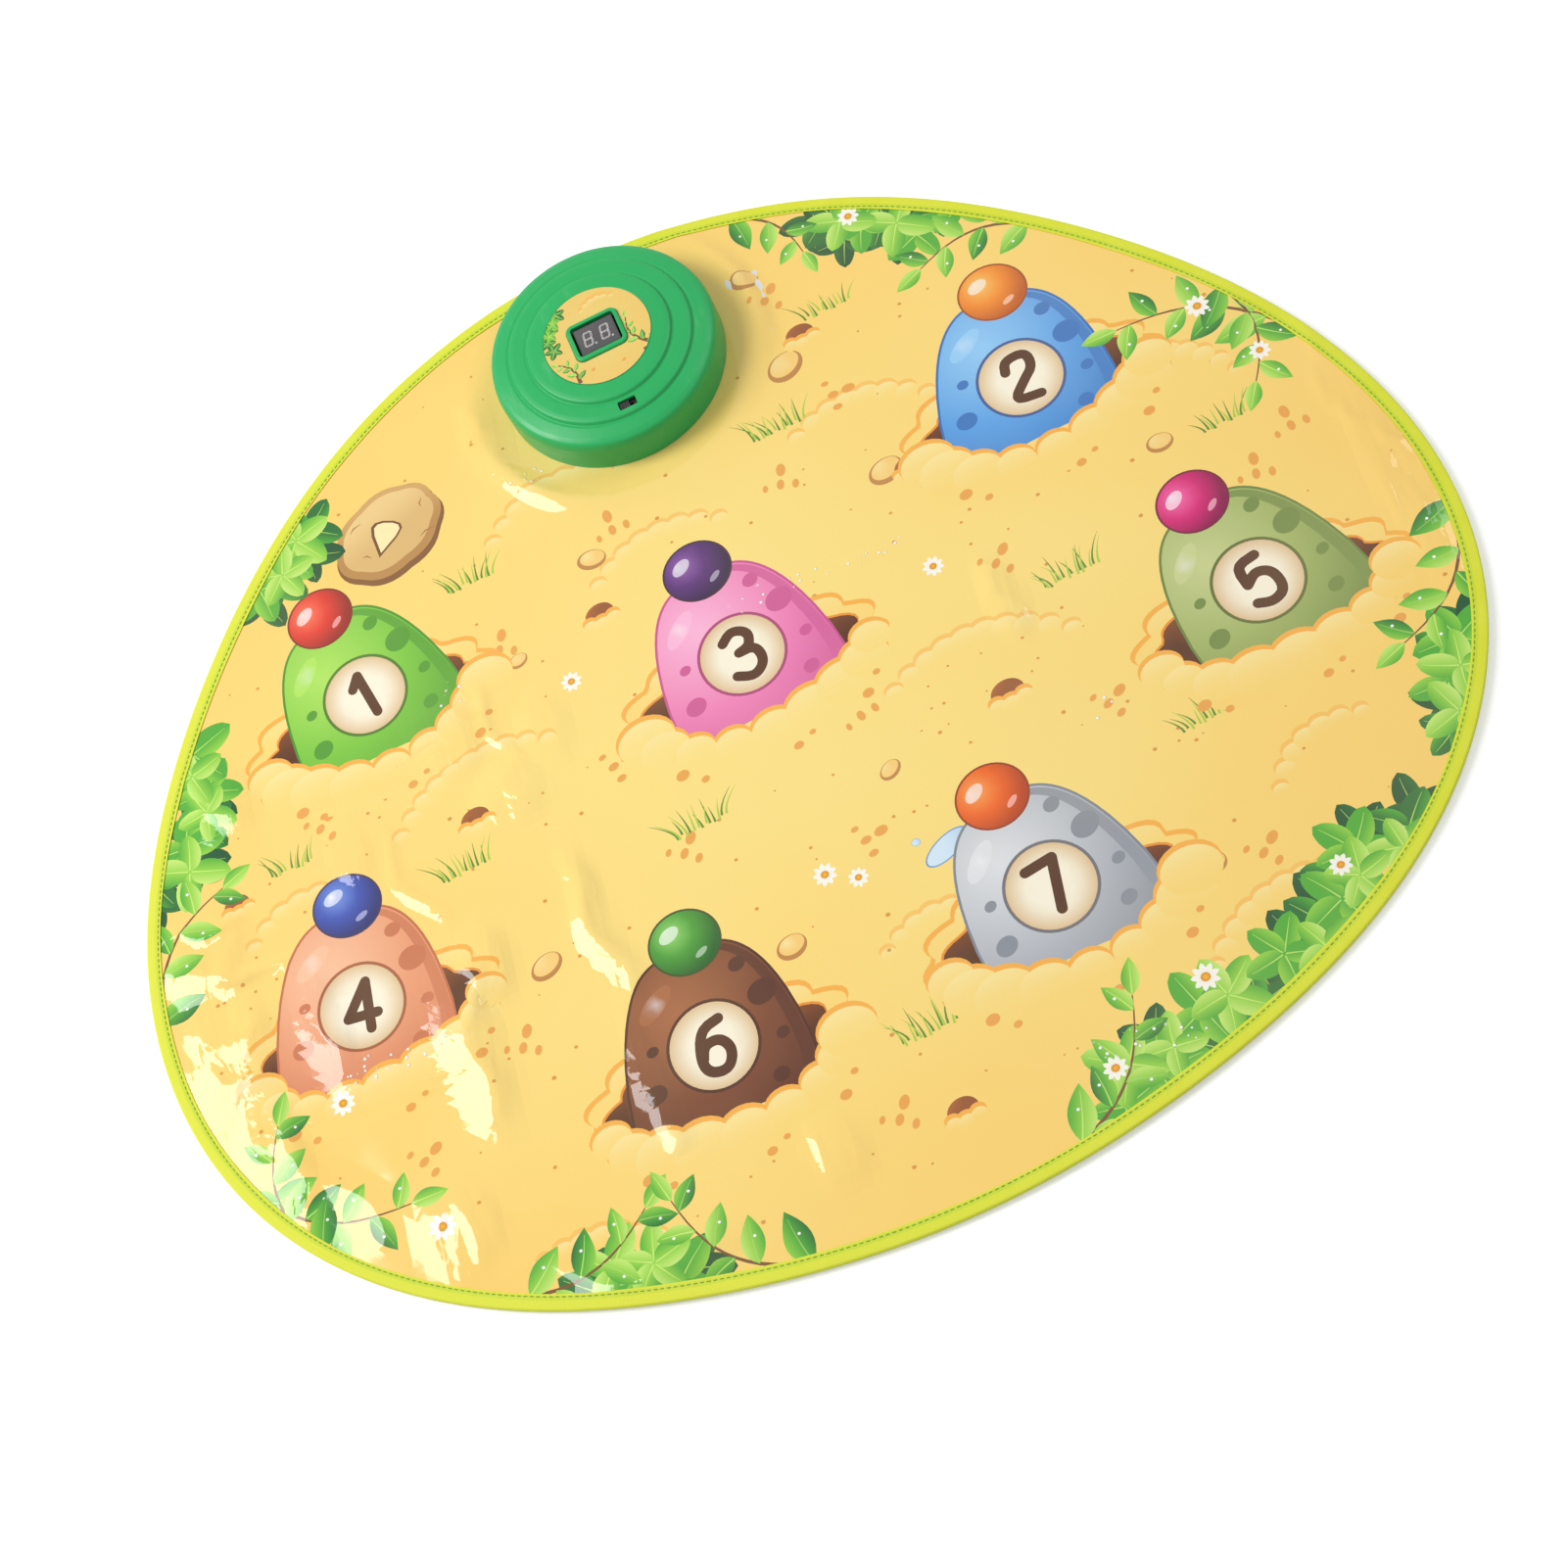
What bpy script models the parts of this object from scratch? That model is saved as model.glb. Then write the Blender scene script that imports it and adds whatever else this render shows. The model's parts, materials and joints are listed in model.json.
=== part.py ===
"""Electronic whack-a-mole play mat: a laminated, bound floor mat with hit spots and a round sound unit.

Frame: +X runs along the mat's width, +Y from the player towards the sound unit, +Z up.
The origin is on the floor, under the middle of the mat's outline. Lengths are in metres.
"""

import math

import bmesh
import bpy
import numpy as np
from mathutils import Vector
from mathutils.geometry import delaunay_2d_cdt

# Driving sizes of the mat
MAT_WIDTH = 0.780
MAT_DEPTH = 0.650
OUTLINE_WAVE_SHARES = (0.005, -0.092, 0.041, 0.010, -0.009)
OUTLINE_STATIONS = 64

# Laminate, from the floor up
BINDING_WIDTH = 0.009
BINDING_THICKNESS = 0.0004
BINDING_ROUND = 0.0008
LAYER_GAP = 0.0002
BACKING_THICKNESS = 0.0004
FILM_THICKNESS = 0.0002
COVER_THICKNESS = 0.0004

# Hit spots: seven numbered ones and a start spot, each a window in the spacer
HIT_WINDOW_RADIUS = 0.038
START_WINDOW_RADIUS = 0.034
PAD_EDGE_CLEARANCE = 0.002
PAD_THICKNESS = 0.0003
PAD_TRAVEL = 0.0006
HIT_SPOT_SHARES = (
    # of half the mat's width, of half its depth
    (-0.54, 0.34),
    (0.54, 0.34),
    (0.0, 0.08),
    (-0.70, -0.22),
    (0.70, -0.22),
    (-0.255, -0.56),
    (0.255, -0.56),
)
START_SPOT_SHARES = (-0.42, 0.64)

# Clearances
FIT_GAP = 0.0003
CUT_OVERRUN = 0.002
JOIN_OVERLAP = 0.0008

# Sound unit: upper casing
HUB_RADIUS = 0.070
HUB_EDGE_MARGIN = 0.001
HUB_WALL = 0.002
HUB_WALL_HEIGHT = 0.0200
SHOULDER_RADIUS = 0.006
SHOULDER_SWEEP = math.radians(72)
CROWN_RISE = 0.0016
OUTER_RING_SET_BACK = 0.014
RING_SPACING = 0.012
RING_STEP = 0.0018
RING_EDGE_WIDTH = 0.0018
RING_RISE = 0.0012
LABEL_SET_BACK = 0.011
LABEL_THICKNESS = 0.0003
LABEL_RIM = 0.0008
LABEL_RECESS = 0.0003
TURNED_STEPS = 48

# Display window and module
WINDOW_CORNER = 0.002
BEZEL_BORDER = 0.0027
BEZEL_HEIGHT = 0.002
BEZEL_CHAMFER = 0.0007
DISPLAY_WIDTH = 0.0252
DISPLAY_DEPTH = 0.0190
DISPLAY_HEIGHT = 0.0080
DISPLAY_SIDE_GAP = 0.0013
DISPLAY_SET_BACK = 0.0016
DISPLAY_STAND = 0.0035
DISPLAY_PIN = 0.0006
DISPLAY_PIN_PITCH = 0.00254
DISPLAY_PIN_ROW = 0.0152
DISPLAY_PINS_PER_ROW = 5

# Slide switch
SLOT_LENGTH = 0.0112
SLOT_WIDTH = 0.0056
KNOB_LENGTH = 0.0062
KNOB_SIDE_PLAY = 0.0006
KNOB_SINK = 0.0004
KNOB_CHAMFER = 0.0004
KNOB_END_PLAY = 0.0005
KNOB_STEM_LENGTH = 0.0022
KNOB_STEM_WIDTH = 0.0012
KNOB_STEM_DEPTH = 0.0014
SWITCH_BODY_LENGTH = 0.0150
SWITCH_BODY_WIDTH = 0.0070

# Circuit board and what is on it
BOARD_THICKNESS = 0.0016
BOARD_HALF_WIDTH = 0.0280
BOARD_SWITCH_MARGIN = 0.0010
BOARD_BACK = 0.0260
BOARD_CORNER = 0.004
POST_RADIUS = 0.0032
POST_INSET = 0.0060
POST_FRONT_INSET = 0.0130
CHIP_RADIUS = 0.0065
CHIP_HEIGHT = 0.0018
CHIP_PLACE = (-0.010, 0.004)
CAPACITOR_RADIUS = 0.0025
CAPACITOR_LENGTH = 0.0050
CAPACITOR_PLACE = (0.012, 0.006)

# Lower casing, under the mat, with the battery box that stands up through the mat's opening
FLANGE_SET_BACK = 0.002
FLANGE_THICKNESS = 0.0016
BOX_WALL = 0.0015
BOX_CORNER = 0.0025
OPENING_SIDE_CLEARANCE = 0.00375
OPENING_END_CLEARANCE = 0.0013
OPENING_SQUARENESS = 8
OPENING_STEPS = 24

# Casing screws and their bosses
BOSS_WALL_CLEARANCE = 0.0029
BOSS_ANGLES = tuple(math.radians(a) for a in (45, 135, 225, 315))
BOSS_RADIUS = 0.0036
CUP_RADIUS = 0.0046
CUP_HEIGHT = 0.0046
PUNCHED_HOLE_CLEARANCE = 0.0007
SCREW_SHANK_RADIUS = 0.0013
SCREW_HEAD_RADIUS = 0.0027
SCREW_HEAD_HEIGHT = 0.0016
SCREW_LENGTH = 0.0160
SCREW_TIP = 0.0016
SCREW_RECESS_WIDTH = 0.0008
SCREW_RECESS_DEPTH = 0.0009
HEAD_POCKET_DEPTH = 0.0026
BOARD_SCREW_LENGTH = 0.0055
DOOR_SCREW_LENGTH = 0.0070

# Battery door
DOOR_THICKNESS = 0.0013
DOOR_EAR_RADIUS = 0.0042
DOOR_EAR_HEIGHT = 0.0032
DOOR_NECK_WIDTH = 0.0060
DOOR_EAR_SET_OFF = 0.00025
EAR_BLOCK_WALL = 0.0005
EAR_BLOCK_ROOF = 0.0018
DOOR_GRIP_RIBS = 5
DOOR_RIB_PITCH = 0.0024
DOOR_RIB_WIDTH = 0.0010
DOOR_RIB_LENGTH = 0.0140
DOOR_RIB_DEPTH = 0.0005
DOOR_RIB_PLACE_SHARE = -0.30

# Cells and contacts
CELL_RADIUS = 0.0071
CELL_LENGTH = 0.0505
CELL_COUNT = 3
CELL_SPACING = 0.0006
CELL_SIDE_CLEARANCE = 0.00035
CELL_FLOOR_CLEARANCE = 0.0004
CELL_TOP_CLEARANCE = 0.0008
CELL_EDGE = 0.0008
NUB_RADIUS = 0.0027
NUB_HEIGHT = 0.0012
CONTACT_THICKNESS = 0.0004
CONTACT_WIDTH = 0.0100
CONTACT_HEIGHT = 0.0110
TAB_WIDTH = 0.0024
TAB_STAND = 0.0020
SPRING_ROOM = 0.0030
SPRING_WIRE_RADIUS = 0.00025
SPRING_BASE_RADIUS = 0.0042
SPRING_TIP_RADIUS = 0.0024
SPRING_TURNS = 2.5
SPRING_TURN_POINTS = 8

# Speaker behind the rear wall
SPEAKER_RADIUS = 0.0100
SPEAKER_DEPTH = 0.0055
SPEAKER_RIM = 0.0010
SPEAKER_MAGNET_RADIUS = 0.0060
SPEAKER_MAGNET_HEIGHT = 0.0028
SPEAKER_SET_BACK = 0.0040
SPEAKER_LIFT = 0.0004
CONE_THICKNESS = 0.0003
SPEAKER_HOLDER_WALL = 0.0013
SPEAKER_HOLDER_GRIP = 0.0040
SPEAKER_HOLDER_ROOT = 0.0006
GRILLE_SLOTS = 7
GRILLE_MARGIN = 0.0012
GRILLE_PITCH_SHARE = 0.295
GRILLE_SLOT_WIDTH = 0.0013

# Film tail from the mat to the board, and the wires
TAIL_WIDTH = 0.0220
TAIL_THICKNESS = 0.0003
TAIL_WALL_GAP = 0.0010
CLAMP_DEPTH = 0.0050
CLAMP_HEIGHT = 0.0022
CLAMP_LENGTH = 0.0260
CLAMP_SET_OFF = 0.00925
WIRE_RADIUS = 0.0006
WIRE_POINTS = 12
BOARD_PAD_PLACE = (0.0200, 0.0080)
SPEAKER_LUG_PLACE = 0.0040
SPEAKER_PAD_BACK_PLACE = 0.0220

# Rise of the mat over the lower casing's flange
RISE_START_MARGIN = 0.003
RISE_RUN = 0.055
RISE_RING_SHARES = (0.0, 0.34, 0.67, 1.0)
RISE_RING_POINTS = 24
HOLE_STEPS = 10
WINDOW_STEPS = 24

# Heights worked out from the laminate
BACKING_BASE = BINDING_THICKNESS + LAYER_GAP
LOWER_FILM_BASE = BACKING_BASE + BACKING_THICKNESS + LAYER_GAP
SPACER_BASE = LOWER_FILM_BASE + FILM_THICKNESS + LAYER_GAP
SPACER_THICKNESS = PAD_THICKNESS + PAD_TRAVEL + FIT_GAP
UPPER_FILM_BASE = SPACER_BASE + SPACER_THICKNESS + LAYER_GAP
COVER_BASE = UPPER_FILM_BASE + FILM_THICKNESS + LAYER_GAP
COVER_TOP = COVER_BASE + COVER_THICKNESS
BINDING_TOP = COVER_TOP + LAYER_GAP + BINDING_THICKNESS
MAT_RISE = FLANGE_THICKNESS + FIT_GAP - BACKING_BASE

# Places and heights worked out for the sound unit
HUB_Y = MAT_DEPTH / 2 - BINDING_WIDTH - HUB_EDGE_MARGIN - HUB_RADIUS
OUTER_RING_RADIUS = HUB_RADIUS - OUTER_RING_SET_BACK
INNER_RING_RADIUS = OUTER_RING_RADIUS - RING_SPACING
LABEL_RADIUS = INNER_RING_RADIUS - LABEL_SET_BACK
CASING_BASE = COVER_TOP + MAT_RISE + FIT_GAP
SHOULDER_BASE = CASING_BASE + HUB_WALL_HEIGHT
SHOULDER_TOP = SHOULDER_BASE + SHOULDER_RADIUS * math.sin(SHOULDER_SWEEP)
SHOULDER_END = HUB_RADIUS - SHOULDER_RADIUS * (1 - math.cos(SHOULDER_SWEEP))
OUTER_RING_FOOT = SHOULDER_TOP + CROWN_RISE
OUTER_RING_TOP = OUTER_RING_FOOT + RING_STEP
INNER_RING_FOOT = OUTER_RING_TOP + RING_RISE
INNER_RING_TOP = INNER_RING_FOOT + RING_STEP
LABEL_LEDGE = INNER_RING_TOP + RING_RISE
LABEL_SEAT = LABEL_LEDGE - LABEL_RECESS
BEZEL_TOP = LABEL_LEDGE + BEZEL_HEIGHT
DISPLAY_TOP = BEZEL_TOP - DISPLAY_SET_BACK
WINDOW_WIDTH = DISPLAY_WIDTH + 2 * DISPLAY_SIDE_GAP
WINDOW_DEPTH = DISPLAY_DEPTH + 2 * DISPLAY_SIDE_GAP
BOARD_TOP = DISPLAY_TOP - DISPLAY_HEIGHT - DISPLAY_STAND
BOARD_BASE_HEIGHT = BOARD_TOP - BOARD_THICKNESS
SWITCH_PLACE_RADIUS = (OUTER_RING_RADIUS + INNER_RING_RADIUS) / 2
SWITCH_Y = -SWITCH_PLACE_RADIUS
KNOB_WIDTH = SLOT_WIDTH - 2 * KNOB_SIDE_PLAY
KNOB_TRAVEL = SLOT_LENGTH - KNOB_LENGTH - 2 * KNOB_END_PLAY
BOARD_FRONT = SWITCH_PLACE_RADIUS + SWITCH_BODY_WIDTH / 2 + BOARD_SWITCH_MARGIN
POST_SIDE_PLACE = BOARD_HALF_WIDTH - POST_INSET
POST_BACK_PLACE = BOARD_BACK - POST_INSET
POST_FRONT_PLACE = BOARD_FRONT - POST_FRONT_INSET
FLANGE_RADIUS = HUB_RADIUS - FLANGE_SET_BACK
BOSS_PLACE_RADIUS = HUB_RADIUS - HUB_WALL - BOSS_WALL_CLEARANCE - BOSS_RADIUS
BOSS_BASE = CUP_HEIGHT + FIT_GAP

# Battery box, worked out from the cells
CELL_PITCH = 2 * CELL_RADIUS + CELL_SPACING
CELL_AXIS_HEIGHT = FLANGE_THICKNESS + CELL_FLOOR_CLEARANCE + CELL_RADIUS
CONTACT_ROOM = CONTACT_THICKNESS + 2 * FIT_GAP
BOX_INSIDE_LENGTH = CELL_LENGTH + SPRING_ROOM + 2 * CONTACT_ROOM
BOX_INSIDE_WIDTH = CELL_PITCH * (CELL_COUNT - 1) + 2 * (CELL_RADIUS + CELL_SIDE_CLEARANCE)
BOX_INSIDE_HEIGHT = CELL_AXIS_HEIGHT + CELL_RADIUS + CELL_TOP_CLEARANCE
BOX_TOP = BOX_INSIDE_HEIGHT + BOX_WALL
BOX_SIDE = BOX_INSIDE_WIDTH / 2 + BOX_WALL
DOOR_EAR_PLACE = BOX_SIDE + DOOR_EAR_RADIUS + DOOR_EAR_SET_OFF
EAR_BLOCK_HALF_WIDTH = DOOR_EAR_RADIUS + FIT_GAP + BOX_WALL
EAR_BLOCK_DEPTH = DOOR_EAR_PLACE + DOOR_EAR_RADIUS + FIT_GAP + EAR_BLOCK_WALL
DOOR_SCREW_SEAT = FIT_GAP + SCREW_HEAD_HEIGHT
DOOR_HOLE_TOP = DOOR_SCREW_SEAT + DOOR_SCREW_LENGTH + FIT_GAP
EAR_BLOCK_HEIGHT = DOOR_HOLE_TOP + EAR_BLOCK_ROOF
OPENING_HALF_LENGTH = BOX_INSIDE_LENGTH / 2 + BOX_WALL + OPENING_SIDE_CLEARANCE
OPENING_HALF_DEPTH = EAR_BLOCK_DEPTH + OPENING_END_CLEARANCE
CLAMP_PLACE = BOX_SIDE + CLAMP_SET_OFF

# Speaker, behind the rear wall
SPEAKER_HOLDER_INSIDE = SPEAKER_RADIUS + FIT_GAP
SPEAKER_HOLDER_OUTSIDE = SPEAKER_HOLDER_INSIDE + SPEAKER_HOLDER_WALL
SPEAKER_CENTRE_HEIGHT = CASING_BASE + SPEAKER_HOLDER_OUTSIDE + SPEAKER_LIFT
SPEAKER_FACE_PLACE = HUB_RADIUS - HUB_WALL - SPEAKER_SET_BACK
SPEAKER_HOLDER_BACK = SPEAKER_FACE_PLACE - SPEAKER_HOLDER_GRIP
SPEAKER_HOLDER_FRONT = HUB_RADIUS - HUB_WALL + SPEAKER_HOLDER_ROOT
GRILLE_REACH = SPEAKER_RADIUS - GRILLE_MARGIN
GRILLE_PITCH = GRILLE_REACH * GRILLE_PITCH_SHARE


def clear_scene():
    """Remove whatever the file opened with."""
    for old in list(bpy.data.objects):
        bpy.data.objects.remove(old, do_unlink=True)


def finish_material(name, colour, roughness, metallic=0.0):
    """A Principled material with one colour, roughness and metallic value."""
    made = bpy.data.materials.new(name)
    made.use_nodes = True
    shader = made.node_tree.nodes["Principled BSDF"]
    shader.inputs["Base Color"].default_value = (*colour, 1.0)
    shader.inputs["Roughness"].default_value = roughness
    shader.inputs["Metallic"].default_value = metallic
    made.diffuse_color = (*colour, 1.0)
    return made


def place_mesh(name, mesh, material=None, parent=None, location=(0, 0, 0), turn=(0, 0, 0)):
    """Link a mesh as a named object, placed under its parent."""
    made = bpy.data.objects.new(name, mesh)
    bpy.context.scene.collection.objects.link(made)
    if material:
        mesh.materials.append(material)
    made.parent = parent
    made.location = location
    made.rotation_euler = turn
    return made


def place(name, bm, material=None, parent=None, location=(0, 0, 0), turn=(0, 0, 0), smooth=True):
    """Turn a bmesh into a named object with its faces pointing out."""
    bmesh.ops.recalc_face_normals(bm, faces=bm.faces)
    mesh = bpy.data.meshes.new(name)
    bm.to_mesh(mesh)
    bm.free()
    if smooth:
        mesh.shade_smooth()
        mesh.set_sharp_from_angle(angle=math.radians(35))
    return place_mesh(name, mesh, material, parent, location, turn)


def helper(name, bm, parent=None):
    """A cutter or a shape to be joined: it is never a piece of its own."""
    made = place(name, bm, parent=parent, smooth=False)
    made.hide_render = True
    made.display_type = "WIRE"
    return made


def combine(target, tool, operation):
    """Join the tool's shape to the target, or cut it away."""
    step = target.modifiers.new(operation.title() + " " + tool.name, "BOOLEAN")
    step.operation = operation
    step.object = tool
    step.solver = "EXACT"


def circle(radius, steps, centre=(0.0, 0.0)):
    """Points of a circle, anticlockwise."""
    turn = np.arange(steps) * 2 * math.pi / steps
    return np.stack([centre[0] + radius * np.cos(turn), centre[1] + radius * np.sin(turn)], axis=1)


def rounded_rectangle(width, depth, corner, centre=(0.0, 0.0), corner_steps=3):
    """Points of a rectangle with round corners, anticlockwise."""
    points = []
    for quarter, (sign_x, sign_y) in enumerate(((1, 1), (-1, 1), (-1, -1), (1, -1))):
        middle = (sign_x * (width / 2 - corner), sign_y * (depth / 2 - corner))
        for step in range(corner_steps + 1):
            turn = (quarter + step / corner_steps) * math.pi / 2
            points.append((
                centre[0] + middle[0] + corner * math.cos(turn),
                centre[1] + middle[1] + corner * math.sin(turn),
            ))
    return np.array(points)


def add_prism(bm, loop, low, high, chamfer=0.0):
    """Add an upright prism on a loop of points, its upper edge chamfered if asked."""
    loop = np.asarray(loop, float)
    levels = [(loop, low), (loop, high)]
    if chamfer:
        levels = [(loop, low), (loop, high - chamfer), (inset_loop(loop, chamfer), high)]
    rings = [[bm.verts.new((x, y, z)) for x, y in points] for points, z in levels]
    add_skin(bm, rings)
    bm.faces.new(rings[-1])
    bm.faces.new(rings[0][::-1])


def add_skin(bm, rings):
    """Join each ring of vertices to the next with quads."""
    for lower, upper in zip(rings, rings[1:]):
        count = len(lower)
        for i in range(count):
            j = (i + 1) % count
            bm.faces.new((lower[i], lower[j], upper[j], upper[i]))


def add_cylinder(bm, radius, low, high, centre=(0.0, 0.0), steps=16):
    """Add an upright cylinder."""
    add_prism(bm, circle(radius, steps, centre), low, high)


def add_box(bm, low, high):
    """Add a box between two corners."""
    x, y = (low[0], high[0]), (low[1], high[1])
    add_prism(bm, [(x[0], y[0]), (x[1], y[0]), (x[1], y[1]), (x[0], y[1])], low[2], high[2])


def add_turned(bm, profile, steps):
    """Add the solid that a closed profile of radius and height sweeps round +Z."""
    points = [Vector((max(r, 0.0), 0.0, z)) for r, z in profile]
    verts = [bm.verts.new(p) for p in points]
    on_axis = [v.co.x == 0.0 for v in verts]
    edges = []
    for i, vert in enumerate(verts):
        j = (i + 1) % len(verts)
        if not (on_axis[i] and on_axis[j]):
            edges.append(bm.edges.new((vert, verts[j])))
    spun = bmesh.ops.spin(
        bm, geom=verts + edges, cent=(0, 0, 0), axis=(0, 0, 1),
        angle=2 * math.pi, steps=steps, use_merge=True,
    )
    seam = [v for v in bm.verts if v.is_valid and abs(v.co.x) + abs(v.co.y) < FIT_GAP / 10]
    bmesh.ops.remove_doubles(bm, verts=seam, dist=FIT_GAP / 100)
    return spun


def inset_loop(loop, distance):
    """Move each point of an anticlockwise loop inwards, square to the loop."""
    along = np.roll(loop, -1, axis=0) - np.roll(loop, 1, axis=0)
    along /= np.linalg.norm(along, axis=1)[:, None]
    inward = np.stack([-along[:, 1], along[:, 0]], axis=1)
    return loop + inward * distance


def mat_outline():
    """The mat's edge: a circle with five cosine waves, brought to the mat's width and depth."""
    turn = np.arange(OUTLINE_STATIONS) * 2 * math.pi / OUTLINE_STATIONS
    reach = 1 + sum(share * np.cos((k + 1) * turn) for k, share in enumerate(OUTLINE_WAVE_SHARES))
    shape = np.stack([-reach * np.sin(turn), reach * np.cos(turn)], axis=1)
    low, high = shape.min(axis=0), shape.max(axis=0)
    return (shape - (low + high) / 2) / (high - low) * (MAT_WIDTH, MAT_DEPTH)


def rise(x, y):
    """How far the mat is lifted where it lies over the lower casing's flange."""
    start = HUB_RADIUS + RISE_START_MARGIN
    share = np.clip((np.hypot(x, np.asarray(y) - HUB_Y) - start) / RISE_RUN, 0, 1)
    return MAT_RISE * (1 - share * share * (3 - 2 * share))


def hub_opening():
    """The mat's opening for the battery box: a squarish oval round the sound unit's axis."""
    turn = np.arange(OPENING_STEPS) * 2 * math.pi / OPENING_STEPS
    across = (np.abs(np.cos(turn)) / OPENING_HALF_LENGTH) ** OPENING_SQUARENESS
    along = (np.abs(np.sin(turn)) / OPENING_HALF_DEPTH) ** OPENING_SQUARENESS
    reach = (across + along) ** (-1 / OPENING_SQUARENESS)
    return np.stack([reach * np.cos(turn), HUB_Y + reach * np.sin(turn)], axis=1)


def boss_places():
    """Where the casing screws stand, measured from the sound unit's axis."""
    return [(BOSS_PLACE_RADIUS * math.cos(a), BOSS_PLACE_RADIUS * math.sin(a)) for a in BOSS_ANGLES]


def punched_holes():
    """The mat's holes for the screw cups."""
    radius = CUP_RADIUS + PUNCHED_HOLE_CLEARANCE
    return [circle(radius, HOLE_STEPS, (x, HUB_Y + y)) for x, y in boss_places()]


def hit_spots():
    """Centre and window radius of each hit spot, the start spot last."""
    half = np.array([MAT_WIDTH, MAT_DEPTH]) / 2
    spots = [(np.array(share) * half, HIT_WINDOW_RADIUS) for share in HIT_SPOT_SHARES]
    return spots + [(np.array(START_SPOT_SHARES) * half, START_WINDOW_RADIUS)]


def rise_points(edge):
    """Points on rings round the sound unit that carry the rise, kept inside an edge loop."""
    start = HUB_RADIUS + RISE_START_MARGIN
    rings = [circle(start + RISE_RUN * share, RISE_RING_POINTS, (0.0, HUB_Y)) for share in RISE_RING_SHARES]
    points = np.concatenate(rings)
    following = np.roll(edge, -1, axis=0)
    along = following - edge
    offset = points[:, None] - edge[None]
    inside = along[None, :, 0] * offset[:, :, 1] - along[None, :, 1] * offset[:, :, 0]
    clear = inside / np.linalg.norm(along, axis=1)[None] > BINDING_WIDTH / 2
    return points[clear.all(axis=1)]


def make_sheet(name, base, thickness, material, windows=()):
    """A layer of the mat: a flat sheet with its holes, lifted where the mat rises."""
    edge = inset_loop(mat_outline(), BINDING_THICKNESS + FIT_GAP)
    band = inset_loop(mat_outline(), BINDING_WIDTH)
    loops = [edge, hub_opening(), *punched_holes(), *windows]
    points, faces = [], []
    for loop in loops:
        faces.append(list(range(len(points), len(points) + len(loop))))
        points.extend(map(Vector, loop))
    points.extend(map(Vector, band))
    points.extend(map(Vector, rise_points(band)))
    flat, _, triangles, _, _, inside_of = delaunay_2d_cdt(points, [], faces, 1, FIT_GAP / 1000)
    bm = bmesh.new()
    verts = [bm.verts.new((p.x, p.y, base)) for p in flat]
    kept = [t for t, holders in zip(triangles, inside_of) if list(holders) == [0]]
    lower = [bm.faces.new([verts[i] for i in t]) for t in kept]
    bmesh.ops.delete(bm, geom=[v for v in bm.verts if not v.link_faces], context="VERTS")
    upper = bmesh.ops.extrude_face_region(bm, geom=lower)["geom"]
    raised = [v for v in upper if isinstance(v, bmesh.types.BMVert)]
    bmesh.ops.translate(bm, vec=(0, 0, thickness), verts=raised)
    for vert in bm.verts:
        vert.co.z += float(rise(vert.co.x, vert.co.y))
    return place(name, bm, material)


def make_binding(material):
    """The tape folded over the mat's edge: a channel profile carried round the outline."""
    outline = mat_outline()
    corner = BINDING_ROUND
    leg, skin, top = BINDING_WIDTH, BINDING_THICKNESS, BINDING_TOP
    profile = (
        (leg, 0.0), (corner, 0.0), (corner / 4, corner / 4), (0.0, corner),
        (0.0, top - corner), (corner / 4, top - corner / 4), (corner, top), (leg, top),
        (leg, top - skin), (skin, top - skin), (skin, skin), (leg, skin),
    )
    bm = bmesh.new()
    loops = [inset_loop(outline, inward) for inward, _ in profile]
    rings = []
    for station in range(len(outline)):
        ring = []
        for loop, (_, height) in zip(loops, profile):
            x, y = loop[station]
            ring.append(bm.verts.new((x, y, height + float(rise(x, y)))))
        rings.append(ring)
    add_skin(bm, rings + rings[:1])
    return place("edge_binding", bm, material)


def make_mat(inks):
    """The five bonded layers and the binding round them."""
    windows = [circle(radius, WINDOW_STEPS, centre) for centre, radius in hit_spots()]
    make_sheet("backing_sheet", BACKING_BASE, BACKING_THICKNESS, inks["backing"])
    make_sheet("lower_contact_film", LOWER_FILM_BASE, FILM_THICKNESS, inks["film"])
    make_sheet("spacer_foam", SPACER_BASE, SPACER_THICKNESS, inks["foam"], windows)
    make_sheet("upper_contact_film", UPPER_FILM_BASE, FILM_THICKNESS, inks["film"])
    make_sheet("printed_cover", COVER_BASE, COVER_THICKNESS, inks["cover"])
    make_binding(inks["binding"])


def make_pads(material):
    """One contact pad under each hit spot. It goes down through the spacer's window when hit."""
    for number, (centre, radius) in enumerate(hit_spots(), start=1):
        bm = bmesh.new()
        add_cylinder(bm, radius - PAD_EDGE_CLEARANCE, -PAD_THICKNESS, 0.0, steps=WINDOW_STEPS)
        name = "start_pad" if number == len(hit_spots()) else f"hit_pad_{number}"
        place(name, bm, material, location=(*centre, UPPER_FILM_BASE - FIT_GAP))


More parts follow.
